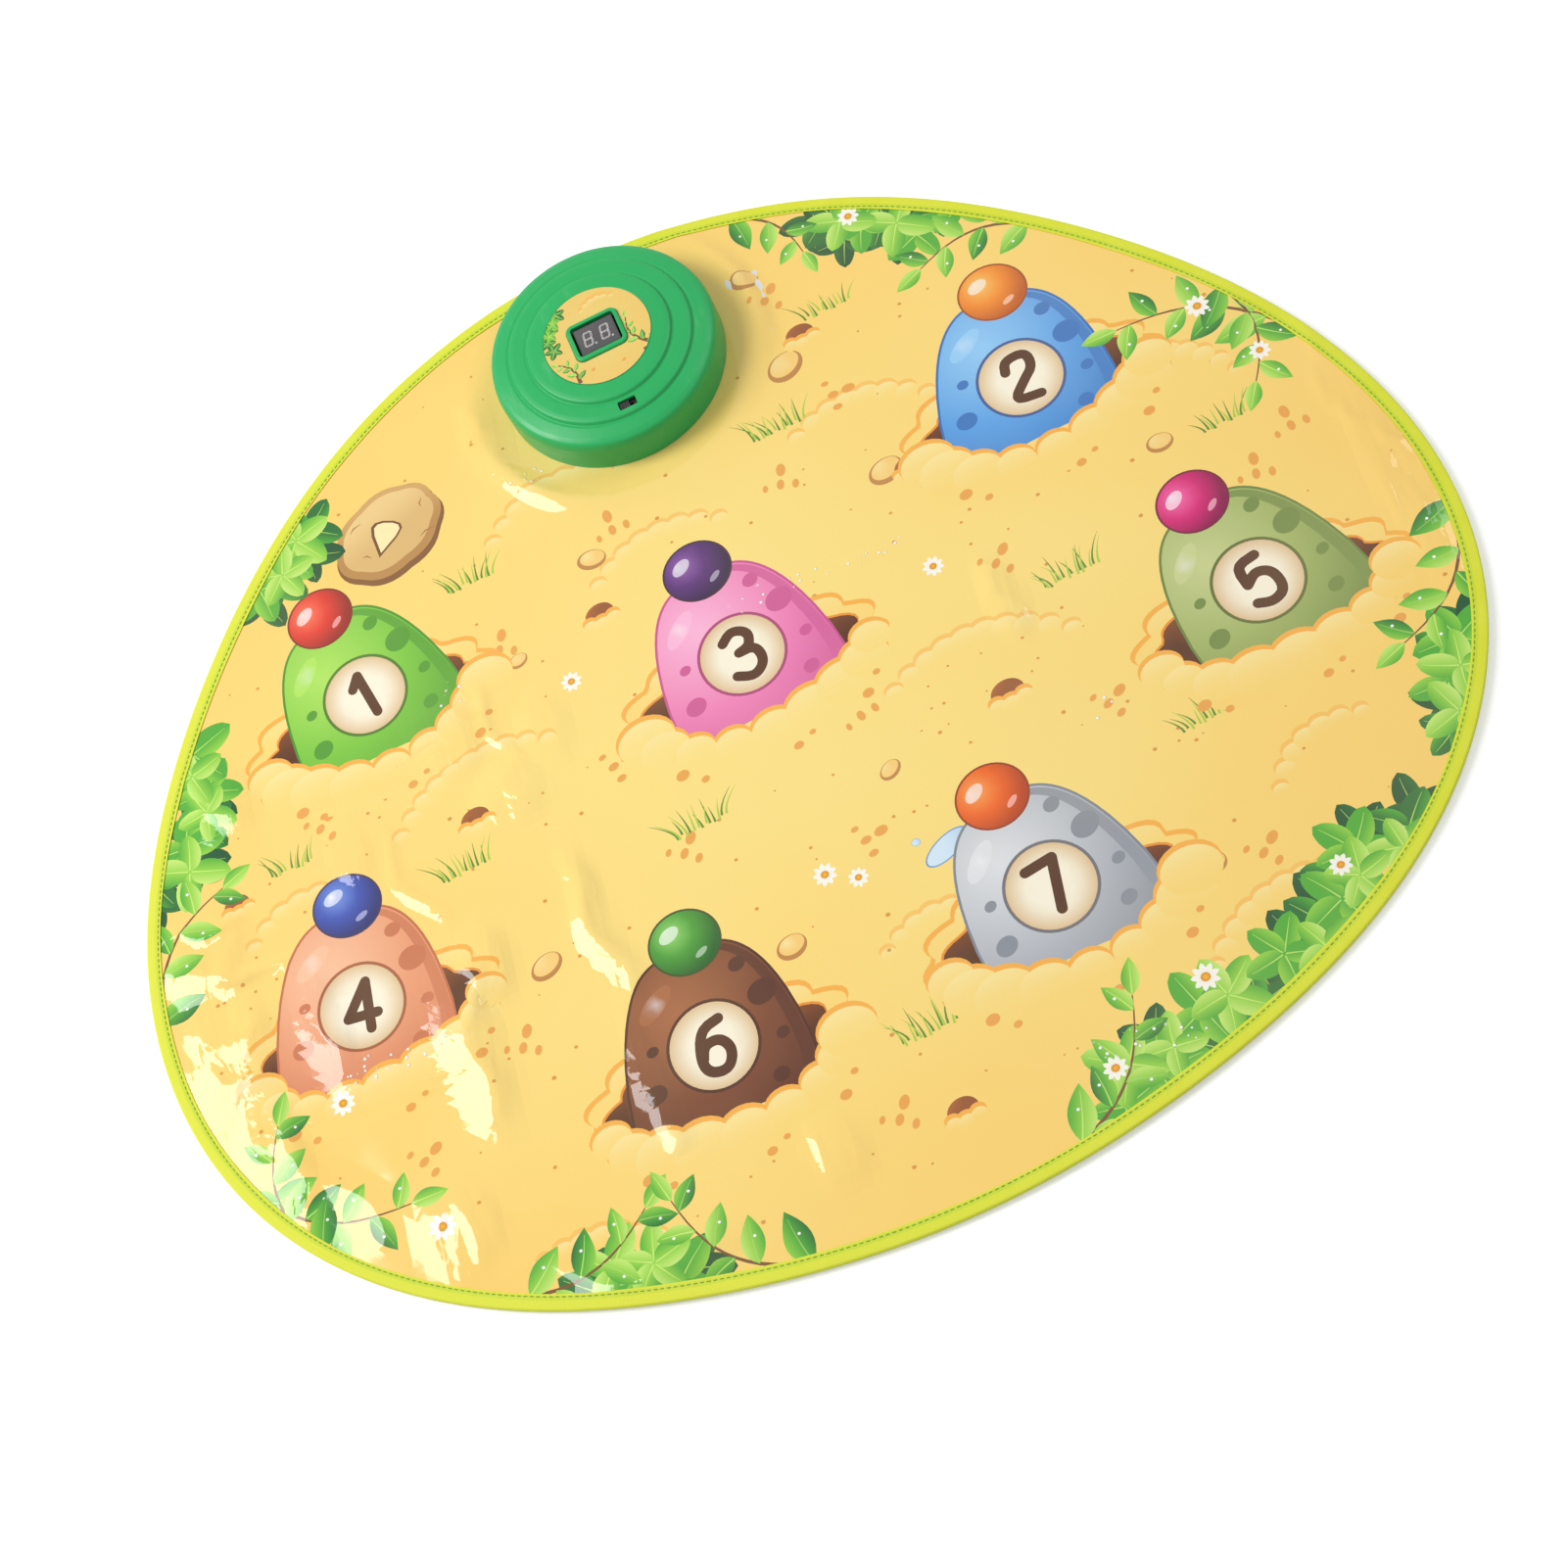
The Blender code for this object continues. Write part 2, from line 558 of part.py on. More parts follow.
def casing_profile():
    """Outside and inside of the upper casing as (radius, height) points, both from the wall's foot."""
    steps = 4
    sweep = [SHOULDER_SWEEP * i / steps for i in range(steps + 1)]
    middle = HUB_RADIUS - SHOULDER_RADIUS
    shoulder = [
        (middle + SHOULDER_RADIUS * math.cos(a), SHOULDER_BASE + SHOULDER_RADIUS * math.sin(a))
        for a in sweep
    ]
    edge = RING_EDGE_WIDTH / 2
    outside = [
        (HUB_RADIUS, CASING_BASE),
        *shoulder,
        (OUTER_RING_RADIUS + edge, OUTER_RING_FOOT),
        (OUTER_RING_RADIUS, OUTER_RING_TOP - RING_STEP / 5),
        (OUTER_RING_RADIUS - edge, OUTER_RING_TOP),
        (INNER_RING_RADIUS + edge, INNER_RING_FOOT),
        (INNER_RING_RADIUS, INNER_RING_TOP - RING_STEP / 5),
        (INNER_RING_RADIUS - edge, INNER_RING_TOP),
        (LABEL_RADIUS + LABEL_RIM, LABEL_LEDGE),
        (LABEL_RADIUS + FIT_GAP, LABEL_SEAT),
        (0.0, LABEL_SEAT),
    ]
    inside = [
        (HUB_RADIUS - HUB_WALL, CASING_BASE),
        (HUB_RADIUS - HUB_WALL, SHOULDER_BASE),
        (SHOULDER_END - HUB_WALL / 2, SHOULDER_TOP - HUB_WALL),
        (OUTER_RING_RADIUS - edge, OUTER_RING_FOOT - HUB_WALL),
        (OUTER_RING_RADIUS - HUB_WALL, OUTER_RING_TOP - HUB_WALL),
        (INNER_RING_RADIUS - edge, INNER_RING_FOOT - HUB_WALL),
        (INNER_RING_RADIUS - HUB_WALL, INNER_RING_TOP - HUB_WALL),
        (0.0, LABEL_SEAT - HUB_WALL),
    ]
    return outside, inside


def ceiling(radius):
    """Height of the upper casing's inner face at a distance from its axis."""
    _, inside = casing_profile()
    radii, heights = zip(*reversed(inside[2:]))
    return float(np.interp(radius, radii, heights))


def crown(radius):
    """Height of the upper casing's outer face at a distance from its axis."""
    outside, _ = casing_profile()
    radii, heights = zip(*reversed(outside[5:]))
    return float(np.interp(radius, radii, heights))


def post_places():
    """Where the board's screws stand."""
    return [(side * POST_SIDE_PLACE, y) for side in (-1, 1) for y in (POST_BACK_PLACE, -POST_FRONT_PLACE)]


def lying_tube(bm, outer, inner, back, front, height, steps):
    """Add a tube whose axis runs along +Y at a height, between two places."""
    rings = []
    for radius, y in ((inner, back), (outer, back), (outer, front), (inner, front)):
        loop = circle(radius, steps)
        rings.append([bm.verts.new((x, y, height + z)) for x, z in loop])
    add_skin(bm, rings + rings[:1])


def make_upper_casing(material, hub):
    """The domed upper casing with its ring steps, display window, switch slot, bosses and speaker holder."""
    outside, inside = casing_profile()
    bm = bmesh.new()
    add_turned(bm, outside + inside[::-1], TURNED_STEPS)
    casing = place("upper_casing", bm, material, hub)

    joined = bmesh.new()
    bezel = rounded_rectangle(
        WINDOW_WIDTH + 2 * BEZEL_BORDER, WINDOW_DEPTH + 2 * BEZEL_BORDER, WINDOW_CORNER + BEZEL_BORDER
    )
    add_prism(joined, bezel, LABEL_SEAT - HUB_WALL / 2, BEZEL_TOP, BEZEL_CHAMFER)
    for place_of in boss_places():
        top = ceiling(BOSS_PLACE_RADIUS + BOSS_RADIUS) + JOIN_OVERLAP
        add_cylinder(joined, BOSS_RADIUS, BOSS_BASE, top, place_of, 12)
    for x, y in post_places():
        top = ceiling(math.hypot(x, y) + POST_RADIUS) + JOIN_OVERLAP
        add_cylinder(joined, POST_RADIUS, BOARD_TOP + FIT_GAP, top, (x, y), 12)
    lying_tube(
        joined, SPEAKER_HOLDER_OUTSIDE, SPEAKER_HOLDER_INSIDE, SPEAKER_HOLDER_BACK, SPEAKER_HOLDER_FRONT,
        SPEAKER_CENTRE_HEIGHT, TURNED_STEPS // 2,
    )
    combine(casing, helper("casing_joined_shapes", joined, hub), "UNION")

    cut = bmesh.new()
    window = rounded_rectangle(WINDOW_WIDTH, WINDOW_DEPTH, WINDOW_CORNER)
    add_prism(cut, window, LABEL_SEAT - HUB_WALL - CUT_OVERRUN, BEZEL_TOP + CUT_OVERRUN)
    add_box(
        cut,
        (-SLOT_LENGTH / 2, SWITCH_Y - SLOT_WIDTH / 2, ceiling(SWITCH_PLACE_RADIUS) - CUT_OVERRUN),
        (SLOT_LENGTH / 2, SWITCH_Y + SLOT_WIDTH / 2, crown(SWITCH_PLACE_RADIUS) + CUT_OVERRUN),
    )
    hole = SCREW_SHANK_RADIUS + FIT_GAP
    for place_of in boss_places():
        deep = HEAD_POCKET_DEPTH - FIT_GAP + SCREW_LENGTH + FIT_GAP
        add_cylinder(cut, hole, BOSS_BASE - CUT_OVERRUN, deep, place_of, 10)
    for place_of in post_places():
        deep = BOARD_BASE_HEIGHT + BOARD_SCREW_LENGTH
        add_cylinder(cut, hole, BOARD_TOP - CUT_OVERRUN, deep, place_of, 10)
    for slot in range(GRILLE_SLOTS):
        x = (slot - (GRILLE_SLOTS - 1) / 2) * GRILLE_PITCH
        reach = math.sqrt(GRILLE_REACH**2 - x**2)
        add_box(
            cut,
            (x - GRILLE_SLOT_WIDTH / 2, SPEAKER_HOLDER_FRONT - CUT_OVERRUN, SPEAKER_CENTRE_HEIGHT - reach),
            (x + GRILLE_SLOT_WIDTH / 2, HUB_RADIUS + CUT_OVERRUN, SPEAKER_CENTRE_HEIGHT + reach),
        )
    combine(casing, helper("casing_cuts", cut, hub), "DIFFERENCE")


def make_lower_casing(material, hub):
    """The flange under the mat and the battery box that stands up through the mat's opening."""
    bm = bmesh.new()
    add_cylinder(bm, FLANGE_RADIUS, 0.0, FLANGE_THICKNESS, steps=TURNED_STEPS)
    casing = place("lower_casing", bm, material, hub, smooth=False)

    joined = bmesh.new()
    length, width = BOX_INSIDE_LENGTH + 2 * BOX_WALL, BOX_INSIDE_WIDTH + 2 * BOX_WALL
    add_prism(joined, rounded_rectangle(length, width, BOX_CORNER), FLANGE_THICKNESS / 2, BOX_TOP)
    for place_of in boss_places():
        add_cylinder(joined, CUP_RADIUS, FLANGE_THICKNESS / 2, CUP_HEIGHT, place_of, 14)
    combine(casing, helper("box_and_cups", joined, hub), "UNION")
    block = bmesh.new()
    add_box(
        block,
        (-EAR_BLOCK_HALF_WIDTH, BOX_SIDE - BOX_WALL / 2, FLANGE_THICKNESS / 2),
        (EAR_BLOCK_HALF_WIDTH, EAR_BLOCK_DEPTH, EAR_BLOCK_HEIGHT),
    )
    combine(casing, helper("door_screw_block", block, hub), "UNION")

    cut = bmesh.new()
    add_prism(
        cut, rounded_rectangle(BOX_INSIDE_LENGTH, BOX_INSIDE_WIDTH, BOX_CORNER - BOX_WALL),
        -CUT_OVERRUN, BOX_INSIDE_HEIGHT,
    )
    for place_of in boss_places():
        add_cylinder(cut, SCREW_HEAD_RADIUS + FIT_GAP, -CUT_OVERRUN, HEAD_POCKET_DEPTH, place_of, 12)
    combine(casing, helper("compartment_and_pockets", cut, hub), "DIFFERENCE")
    through = bmesh.new()
    hole = SCREW_SHANK_RADIUS + FIT_GAP
    for place_of in boss_places():
        add_cylinder(through, hole, HEAD_POCKET_DEPTH - CUT_OVERRUN, CUP_HEIGHT + CUT_OVERRUN, place_of, 10)
    ear = (0.0, DOOR_EAR_PLACE)
    add_cylinder(through, DOOR_EAR_RADIUS + FIT_GAP, -CUT_OVERRUN, DOOR_EAR_HEIGHT + FIT_GAP, ear, 16)
    for side, y in ((-1, -CELL_PITCH), (1, CELL_PITCH)):
        x = side * (BOX_INSIDE_LENGTH / 2 - FIT_GAP - CONTACT_THICKNESS / 2)
        half = CONTACT_THICKNESS / 2 + FIT_GAP
        add_box(
            through,
            (x - half, y - TAB_WIDTH / 2 - FIT_GAP, BOX_INSIDE_HEIGHT - CUT_OVERRUN),
            (x + half, y + TAB_WIDTH / 2 + FIT_GAP, BOX_TOP + CUT_OVERRUN),
        )
    combine(casing, helper("screw_and_tab_holes", through, hub), "DIFFERENCE")
    neck = bmesh.new()
    add_box(
        neck,
        (-DOOR_NECK_WIDTH / 2 - FIT_GAP, BOX_INSIDE_WIDTH / 2 - CUT_OVERRUN, -CUT_OVERRUN),
        (DOOR_NECK_WIDTH / 2 + FIT_GAP, DOOR_EAR_PLACE, FLANGE_THICKNESS + FIT_GAP),
    )
    combine(casing, helper("door_neck_cut", neck, hub), "DIFFERENCE")
    shank = bmesh.new()
    add_cylinder(shank, hole, DOOR_EAR_HEIGHT - CUT_OVERRUN, DOOR_HOLE_TOP, ear, 10)
    combine(casing, helper("door_screw_hole", shank, hub), "DIFFERENCE")


def make_battery_door(material, hub):
    """The door under the cells, with the eared end that its screw holds and ribs for the thumb."""
    bm = bmesh.new()
    length, width = BOX_INSIDE_LENGTH - 2 * FIT_GAP, BOX_INSIDE_WIDTH - 2 * FIT_GAP
    low, high = FLANGE_THICKNESS - DOOR_THICKNESS, FLANGE_THICKNESS
    add_prism(bm, rounded_rectangle(length, width, BOX_CORNER - BOX_WALL), low, high)
    door = place("battery_door", bm, material, hub, smooth=False)
    neck = bmesh.new()
    add_box(neck, (-DOOR_NECK_WIDTH / 2, width / 2 - JOIN_OVERLAP, low), (DOOR_NECK_WIDTH / 2, DOOR_EAR_PLACE, high))
    combine(door, helper("door_neck", neck, hub), "UNION")
    ear = bmesh.new()
    place_of = (0.0, DOOR_EAR_PLACE)
    add_cylinder(ear, DOOR_EAR_RADIUS, low, DOOR_EAR_HEIGHT, place_of, 16)
    combine(door, helper("door_ear", ear, hub), "UNION")
    cut = bmesh.new()
    add_cylinder(cut, SCREW_HEAD_RADIUS + FIT_GAP, -CUT_OVERRUN, DOOR_SCREW_SEAT + FIT_GAP, place_of, 12)
    for rib in range(DOOR_GRIP_RIBS):
        y = width * DOOR_RIB_PLACE_SHARE + (rib - (DOOR_GRIP_RIBS - 1) / 2) * DOOR_RIB_PITCH
        add_box(
            cut,
            (-DOOR_RIB_LENGTH / 2, y - DOOR_RIB_WIDTH / 2, low - CUT_OVERRUN),
            (DOOR_RIB_LENGTH / 2, y + DOOR_RIB_WIDTH / 2, low + DOOR_RIB_DEPTH),
        )
    combine(door, helper("door_pocket_and_ribs", cut, hub), "DIFFERENCE")
    shank = bmesh.new()
    add_cylinder(shank, SCREW_SHANK_RADIUS + FIT_GAP, SCREW_HEAD_HEIGHT, DOOR_EAR_HEIGHT + CUT_OVERRUN, place_of, 10)
    combine(door, helper("door_shank_hole", shank, hub), "DIFFERENCE")


def screw_mesh(length):
    """A pan-head screw pointing up, its head's underside at zero height, with a cross recess."""
    bm = bmesh.new()
    head, shank = SCREW_HEAD_RADIUS, SCREW_SHANK_RADIUS
    profile = [
        (0.0, -SCREW_HEAD_HEIGHT), (head * 0.7, -SCREW_HEAD_HEIGHT), (head, -SCREW_HEAD_HEIGHT * 0.4),
        (head, 0.0), (shank, 0.0), (shank, length - SCREW_TIP), (0.0, length),
    ]
    add_turned(bm, profile, 10)
    whole = place("screw_shape", bm, smooth=False)
    arms = bmesh.new()
    low, high = -SCREW_HEAD_HEIGHT - CUT_OVERRUN, -SCREW_HEAD_HEIGHT + SCREW_RECESS_DEPTH
    wide, narrow = head * 0.62, SCREW_RECESS_WIDTH / 2
    outline = [
        (wide, -narrow), (wide, narrow), (narrow, narrow), (narrow, wide), (-narrow, wide), (-narrow, narrow),
        (-wide, narrow), (-wide, -narrow), (-narrow, -narrow), (-narrow, -wide), (narrow, -wide), (narrow, -narrow),
    ]
    add_prism(arms, outline, low, high)
    recess = helper("screw_recess", arms)
    combine(whole, recess, "DIFFERENCE")
    bpy.context.view_layer.update()
    graph = bpy.context.evaluated_depsgraph_get()
    mesh = bpy.data.meshes.new_from_object(whole.evaluated_get(graph))
    bpy.data.objects.remove(whole)
    bpy.data.objects.remove(recess)
    return mesh


def make_screws(material, hub):
    """Casing, board and door screws, all driven upwards from below."""
    mesh = screw_mesh(SCREW_LENGTH)
    mesh.materials.append(material)
    for number, (x, y) in enumerate(boss_places(), start=1):
        place_mesh(f"casing_screw_{number}", mesh, None, hub, (x, y, HEAD_POCKET_DEPTH - FIT_GAP))
    mesh = screw_mesh(BOARD_SCREW_LENGTH)
    mesh.materials.append(material)
    for number, (x, y) in enumerate(post_places(), start=1):
        place_mesh(f"board_screw_{number}", mesh, None, hub, (x, y, BOARD_BASE_HEIGHT - FIT_GAP))
    door = screw_mesh(DOOR_SCREW_LENGTH)
    place_mesh("door_screw", door, material, hub, (0.0, DOOR_EAR_PLACE, DOOR_SCREW_SEAT))


def make_label(material, hub):
    """The printed disc round the display window."""
    bm = bmesh.new()
    base = LABEL_SEAT + FIT_GAP
    add_cylinder(bm, LABEL_RADIUS, base, base + LABEL_THICKNESS, steps=TURNED_STEPS)
    label = place("panel_label", bm, material, hub, smooth=False)
    cut = bmesh.new()
    border = 2 * (BEZEL_BORDER + FIT_GAP)
    hole = rounded_rectangle(WINDOW_WIDTH + border, WINDOW_DEPTH + border, WINDOW_CORNER + border / 2)
    add_prism(cut, hole, base - CUT_OVERRUN, base + LABEL_THICKNESS + CUT_OVERRUN)
    combine(label, helper("label_window", cut, hub), "DIFFERENCE")


def make_display(material, hub):
    """The two-digit display block, standing on its pins on the board."""
    bm = bmesh.new()
    base = DISPLAY_TOP - DISPLAY_HEIGHT
    add_prism(bm, rounded_rectangle(DISPLAY_WIDTH, DISPLAY_DEPTH, WINDOW_CORNER / 4), base, DISPLAY_TOP)
    display = place("display_module", bm, material, hub, smooth=False)
    pins = bmesh.new()
    half = DISPLAY_PIN / 2
    for row in (-1, 1):
        for pin in range(DISPLAY_PINS_PER_ROW):
            x = (pin - (DISPLAY_PINS_PER_ROW - 1) / 2) * DISPLAY_PIN_PITCH
            y = row * DISPLAY_PIN_ROW / 2
            add_box(pins, (x - half, y - half, BOARD_TOP + FIT_GAP), (x + half, y + half, base + JOIN_OVERLAP))
    combine(display, helper("display_pins", pins, hub), "UNION")


def make_board(inks, hub):
    """The circuit board, the chip's blob and the capacitor under it."""
    bm = bmesh.new()
    depth = BOARD_FRONT + BOARD_BACK
    middle = (0.0, (BOARD_BACK - BOARD_FRONT) / 2)
    outline = rounded_rectangle(2 * BOARD_HALF_WIDTH, depth, BOARD_CORNER, middle)
    add_prism(bm, outline, BOARD_BASE_HEIGHT, BOARD_TOP)
    board = place("main_board", bm, inks["board"], hub, smooth=False)
    cut = bmesh.new()
    for place_of in post_places():
        low, high = BOARD_BASE_HEIGHT - CUT_OVERRUN, BOARD_TOP + CUT_OVERRUN
        add_cylinder(cut, SCREW_SHANK_RADIUS + FIT_GAP, low, high, place_of, 10)
    combine(board, helper("board_screw_holes", cut, hub), "DIFFERENCE")

    top = BOARD_BASE_HEIGHT - FIT_GAP
    blob = bmesh.new()
    half = CHIP_RADIUS
    profile = [(0.0, top - CHIP_HEIGHT), (half * 0.55, top - CHIP_HEIGHT * 0.85), (half * 0.9, top - CHIP_HEIGHT * 0.4)]
    add_turned(blob, [*profile, (half, top), (0.0, top)], 16)
    place("sound_chip", blob, inks["chip"], hub, (*CHIP_PLACE, 0.0))
    can = bmesh.new()
    add_cylinder(can, CAPACITOR_RADIUS, top - CAPACITOR_LENGTH, top, CAPACITOR_PLACE, 12)
    place("capacitor", can, inks["can"], hub)


def make_switch(inks, hub):
    """The slide switch on the board and the knob that shows in the slot. Its travel runs along +X."""
    length, width = SWITCH_BODY_LENGTH / 2, SWITCH_BODY_WIDTH / 2
    body_top = ceiling(math.hypot(length, SWITCH_PLACE_RADIUS + width)) - 2 * FIT_GAP
    bm = bmesh.new()
    add_box(bm, (-length, SWITCH_Y - width, BOARD_TOP + FIT_GAP), (length, SWITCH_Y + width, body_top))
    body = place("switch_body", bm, inks["switch"], hub, smooth=False)
    rest = -KNOB_TRAVEL / 2
    groove = bmesh.new()
    reach = KNOB_TRAVEL / 2 + KNOB_STEM_LENGTH / 2 + FIT_GAP
    side = KNOB_STEM_WIDTH / 2 + FIT_GAP
    floor = body_top - KNOB_STEM_DEPTH
    add_box(groove, (-reach, SWITCH_Y - side, floor), (reach, SWITCH_Y + side, body_top + CUT_OVERRUN))
    combine(body, helper("switch_groove", groove, hub), "DIFFERENCE")

    knob = bmesh.new()
    base = FIT_GAP
    top = crown(SWITCH_PLACE_RADIUS) - KNOB_SINK - body_top
    half, deep = KNOB_LENGTH / 2, KNOB_WIDTH / 2
    corners = [(-half, -deep), (half, -deep), (half, deep), (-half, deep)]
    add_prism(knob, corners, base, top, KNOB_CHAMFER)
    made = place("switch_knob", knob, inks["switch"], hub, (rest, SWITCH_Y, body_top), smooth=False)
    stem = bmesh.new()
    half, deep = KNOB_STEM_LENGTH / 2, KNOB_STEM_WIDTH / 2
    add_box(stem, (-half, -deep, -KNOB_STEM_DEPTH + FIT_GAP), (half, deep, base + JOIN_OVERLAP))
    tool = helper("knob_stem", stem, hub)
    tool.location = made.location
    combine(made, tool, "UNION")


def cell_rows():
    """Number, direction of the raised terminal along X, and place along Y of each cell."""
    middle = (CELL_COUNT - 1) / 2
    return [(i + 1, 1 - 2 * (i % 2), (i - middle) * CELL_PITCH) for i in range(CELL_COUNT)]


def make_cells(inks, hub):
    """Three cells side by side, with turned ends, a raised terminal and turn-about polarity."""
    flat, nub = CELL_LENGTH - NUB_HEIGHT, NUB_RADIUS
    profile = [
        (0.0, 0.0), (CELL_RADIUS - CELL_EDGE, 0.0), (CELL_RADIUS, CELL_EDGE), (CELL_RADIUS, flat - CELL_EDGE),
        (CELL_RADIUS - CELL_EDGE, flat), (nub, flat), (nub, CELL_LENGTH), (0.0, CELL_LENGTH),
    ]
    nub_end = BOX_INSIDE_LENGTH / 2 - CONTACT_ROOM
    for number, facing, y in cell_rows():
        bm = bmesh.new()
        add_turned(bm, profile, 16)
        where = (facing * (nub_end - CELL_LENGTH), y, CELL_AXIS_HEIGHT)
        place(f"cell_{number}", bm, inks["cell"], hub, where, (0.0, facing * math.pi / 2, 0.0))


def make_contact(name, side, middle, span, tab, material, hub):
    """A sheet-metal contact at one end wall, with a solder tab through the box's ceiling if asked."""
    outer = side * (BOX_INSIDE_LENGTH / 2 - FIT_GAP)
    inner = outer - side * CONTACT_THICKNESS
    low, high = sorted((outer, inner))
    bm = bmesh.new()
    half = CONTACT_HEIGHT / 2
    foot, top = CELL_AXIS_HEIGHT - half, CELL_AXIS_HEIGHT + half
    tab_top = BOX_TOP + TAB_STAND
    edge = span / 2
    outline = [(middle - edge, foot), (middle + edge, foot), (middle + edge, top)]
    if tab:
        grip = TAB_WIDTH / 2
        outline += [(middle + grip, top), (middle + grip, tab_top), (middle - grip, tab_top), (middle - grip, top)]
    outline.append((middle - edge, top))
    rings = [[bm.verts.new((x, y, z)) for y, z in outline] for x in (low, high)]
    add_skin(bm, rings)
    bm.faces.new(rings[0])
    bm.faces.new(rings[1])
    place(name, bm, material, hub, smooth=False)


def make_contacts(material, hub):
    """Four contacts that put the three cells in series, two of them terminals."""
    bridge = CELL_PITCH + CONTACT_WIDTH
    make_contact("contact_minus", -1, -CELL_PITCH, CONTACT_WIDTH, True, material, hub)
    make_contact("contact_bridge_1", 1, -CELL_PITCH / 2, bridge, False, material, hub)
    make_contact("contact_bridge_2", -1, CELL_PITCH / 2, bridge, False, material, hub)
    make_contact("contact_plus", 1, CELL_PITCH, CONTACT_WIDTH, True, material, hub)


def make_tube(name, points, radius, sides_level, material, hub):
    """A round wire through points, with closed ends."""
    curve = bpy.data.curves.new(name, "CURVE")
    curve.dimensions = "3D"
    curve.bevel_depth = radius
    curve.bevel_resolution = sides_level
    curve.use_fill_caps = True
    spline = curve.splines.new("POLY")
    spline.points.add(len(points) - 1)
    for target, point in zip(spline.points, points):
        target.co = (*point, 1.0)
    curve.materials.append(material)
    made = bpy.data.objects.new(name, curve)
    bpy.context.scene.collection.objects.link(made)
    made.parent = hub
    return made


def make_springs(material, hub):
    """A conical coil spring at each cell's flat end, wound by a formula."""
    wall = BOX_INSIDE_LENGTH / 2
    base = wall - CONTACT_ROOM - SPRING_WIRE_RADIUS
    cell_end = CELL_LENGTH - (wall - CONTACT_ROOM)
    tip = cell_end + FIT_GAP + SPRING_WIRE_RADIUS
    count = int(SPRING_TURNS * SPRING_TURN_POINTS) + 1
    for number, facing, y in cell_rows():
        points = []
        for i in range(count):
            share = i / (count - 1)
            turn = share * SPRING_TURNS * 2 * math.pi
            reach = SPRING_BASE_RADIUS + (SPRING_TIP_RADIUS - SPRING_BASE_RADIUS) * share
            points.append((
                -facing * (base + (tip - base) * share),
                y + reach * math.cos(turn),
                CELL_AXIS_HEIGHT + reach * math.sin(turn),
            ))
        make_tube(f"cell_spring_{number}", points, SPRING_WIRE_RADIUS, 0, material, hub)


def make_speaker(inks, hub):
    """A small loudspeaker that faces the grille in the rear wall: frame with magnet, and cone."""
    rim, magnet = SPEAKER_RADIUS, SPEAKER_MAGNET_RADIUS
    bowl = SPEAKER_DEPTH - SPEAKER_MAGNET_HEIGHT
    frame = [
        (0.0, -SPEAKER_DEPTH), (magnet, -SPEAKER_DEPTH), (magnet, -bowl), (rim - SPEAKER_RIM, -SPEAKER_RIM * 1.5),
        (rim, -SPEAKER_RIM), (rim, 0.0), (rim - SPEAKER_RIM, 0.0), (magnet / 2, -bowl + SPEAKER_RIM / 2),
        (0.0, -bowl + SPEAKER_RIM / 2),
    ]
    where = (0.0, SPEAKER_FACE_PLACE, SPEAKER_CENTRE_HEIGHT)
    facing = (-math.pi / 2, 0.0, 0.0)
    bm = bmesh.new()
    add_turned(bm, frame, 20)
    place("speaker_frame", bm, inks["steel"], hub, where, facing)
    lift = FIT_GAP * 1.5
    deep = -bowl + SPEAKER_RIM / 2 + lift
    edge = rim - SPEAKER_RIM - FIT_GAP
    cap = magnet / 3
    cone = [
        (0.0, deep + CONE_THICKNESS * 4), (cap * 0.7, deep + CONE_THICKNESS * 3), (cap, deep + CONE_THICKNESS),
        (edge, lift + CONE_THICKNESS), (edge, lift), (magnet / 2, deep), (0.0, deep),
    ]
    bm = bmesh.new()
    add_turned(bm, cone, 20)
    place("speaker_cone", bm, inks["cone"], hub, where, facing)


def make_tail(inks, hub):
    """The films' printed tail, up beside the battery box, and the bar that holds it under the board."""
    outer = -(BOX_SIDE + TAIL_WALL_GAP)
    foot = -OPENING_HALF_DEPTH + FIT_GAP
    low = UPPER_FILM_BASE + MAT_RISE
    under = BOARD_BASE_HEIGHT - FIT_GAP
    end = -CLAMP_PLACE - CLAMP_DEPTH / 2
    skin = TAIL_THICKNESS
    bend = 4 * skin
    path = [
        (foot, low), (outer - bend, low), (outer, low + bend), (outer, under - skin - bend),
        (outer - bend, under - skin), (end, under - skin),
    ]
    back = [
        (end, under), (outer - bend + skin / 2, under), (outer + skin, under - skin - bend + skin / 2),
        (outer + skin, low + bend - skin / 2), (outer - bend + skin / 2, low - skin), (foot, low - skin),
    ]
    bm = bmesh.new()
    rings = [
        [bm.verts.new((x, y, z)) for y, z in path + back]
        for x in (-TAIL_WIDTH / 2, TAIL_WIDTH / 2)
    ]
    add_skin(bm, rings)
    bm.faces.new(rings[0])
    bm.faces.new(rings[1])
    place("film_tail", bm, inks["film"], hub, smooth=False)
    clamp = bmesh.new()
    top = under - skin - FIT_GAP
    add_box(
        clamp,
        (-CLAMP_LENGTH / 2, -CLAMP_PLACE - CLAMP_DEPTH / 2, top - CLAMP_HEIGHT),
        (CLAMP_LENGTH / 2, -CLAMP_PLACE + CLAMP_DEPTH / 2, top),
    )
    place("tail_clamp", clamp, inks["clamp"], hub, smooth=False)


def bent_wire(start, start_pull, end, end_pull):
    """Points along a smooth curve that leaves one place and arrives at another in given directions."""
    a, d = Vector(start), Vector(end)
    b, c = a + Vector(start_pull), d + Vector(end_pull)
    points = []
    for i in range(WIRE_POINTS):
        t = i / (WIRE_POINTS - 1)
        s = 1 - t
        points.append(a * s**3 + b * 3 * s * s * t + c * 3 * s * t * t + d * t**3)
    return points


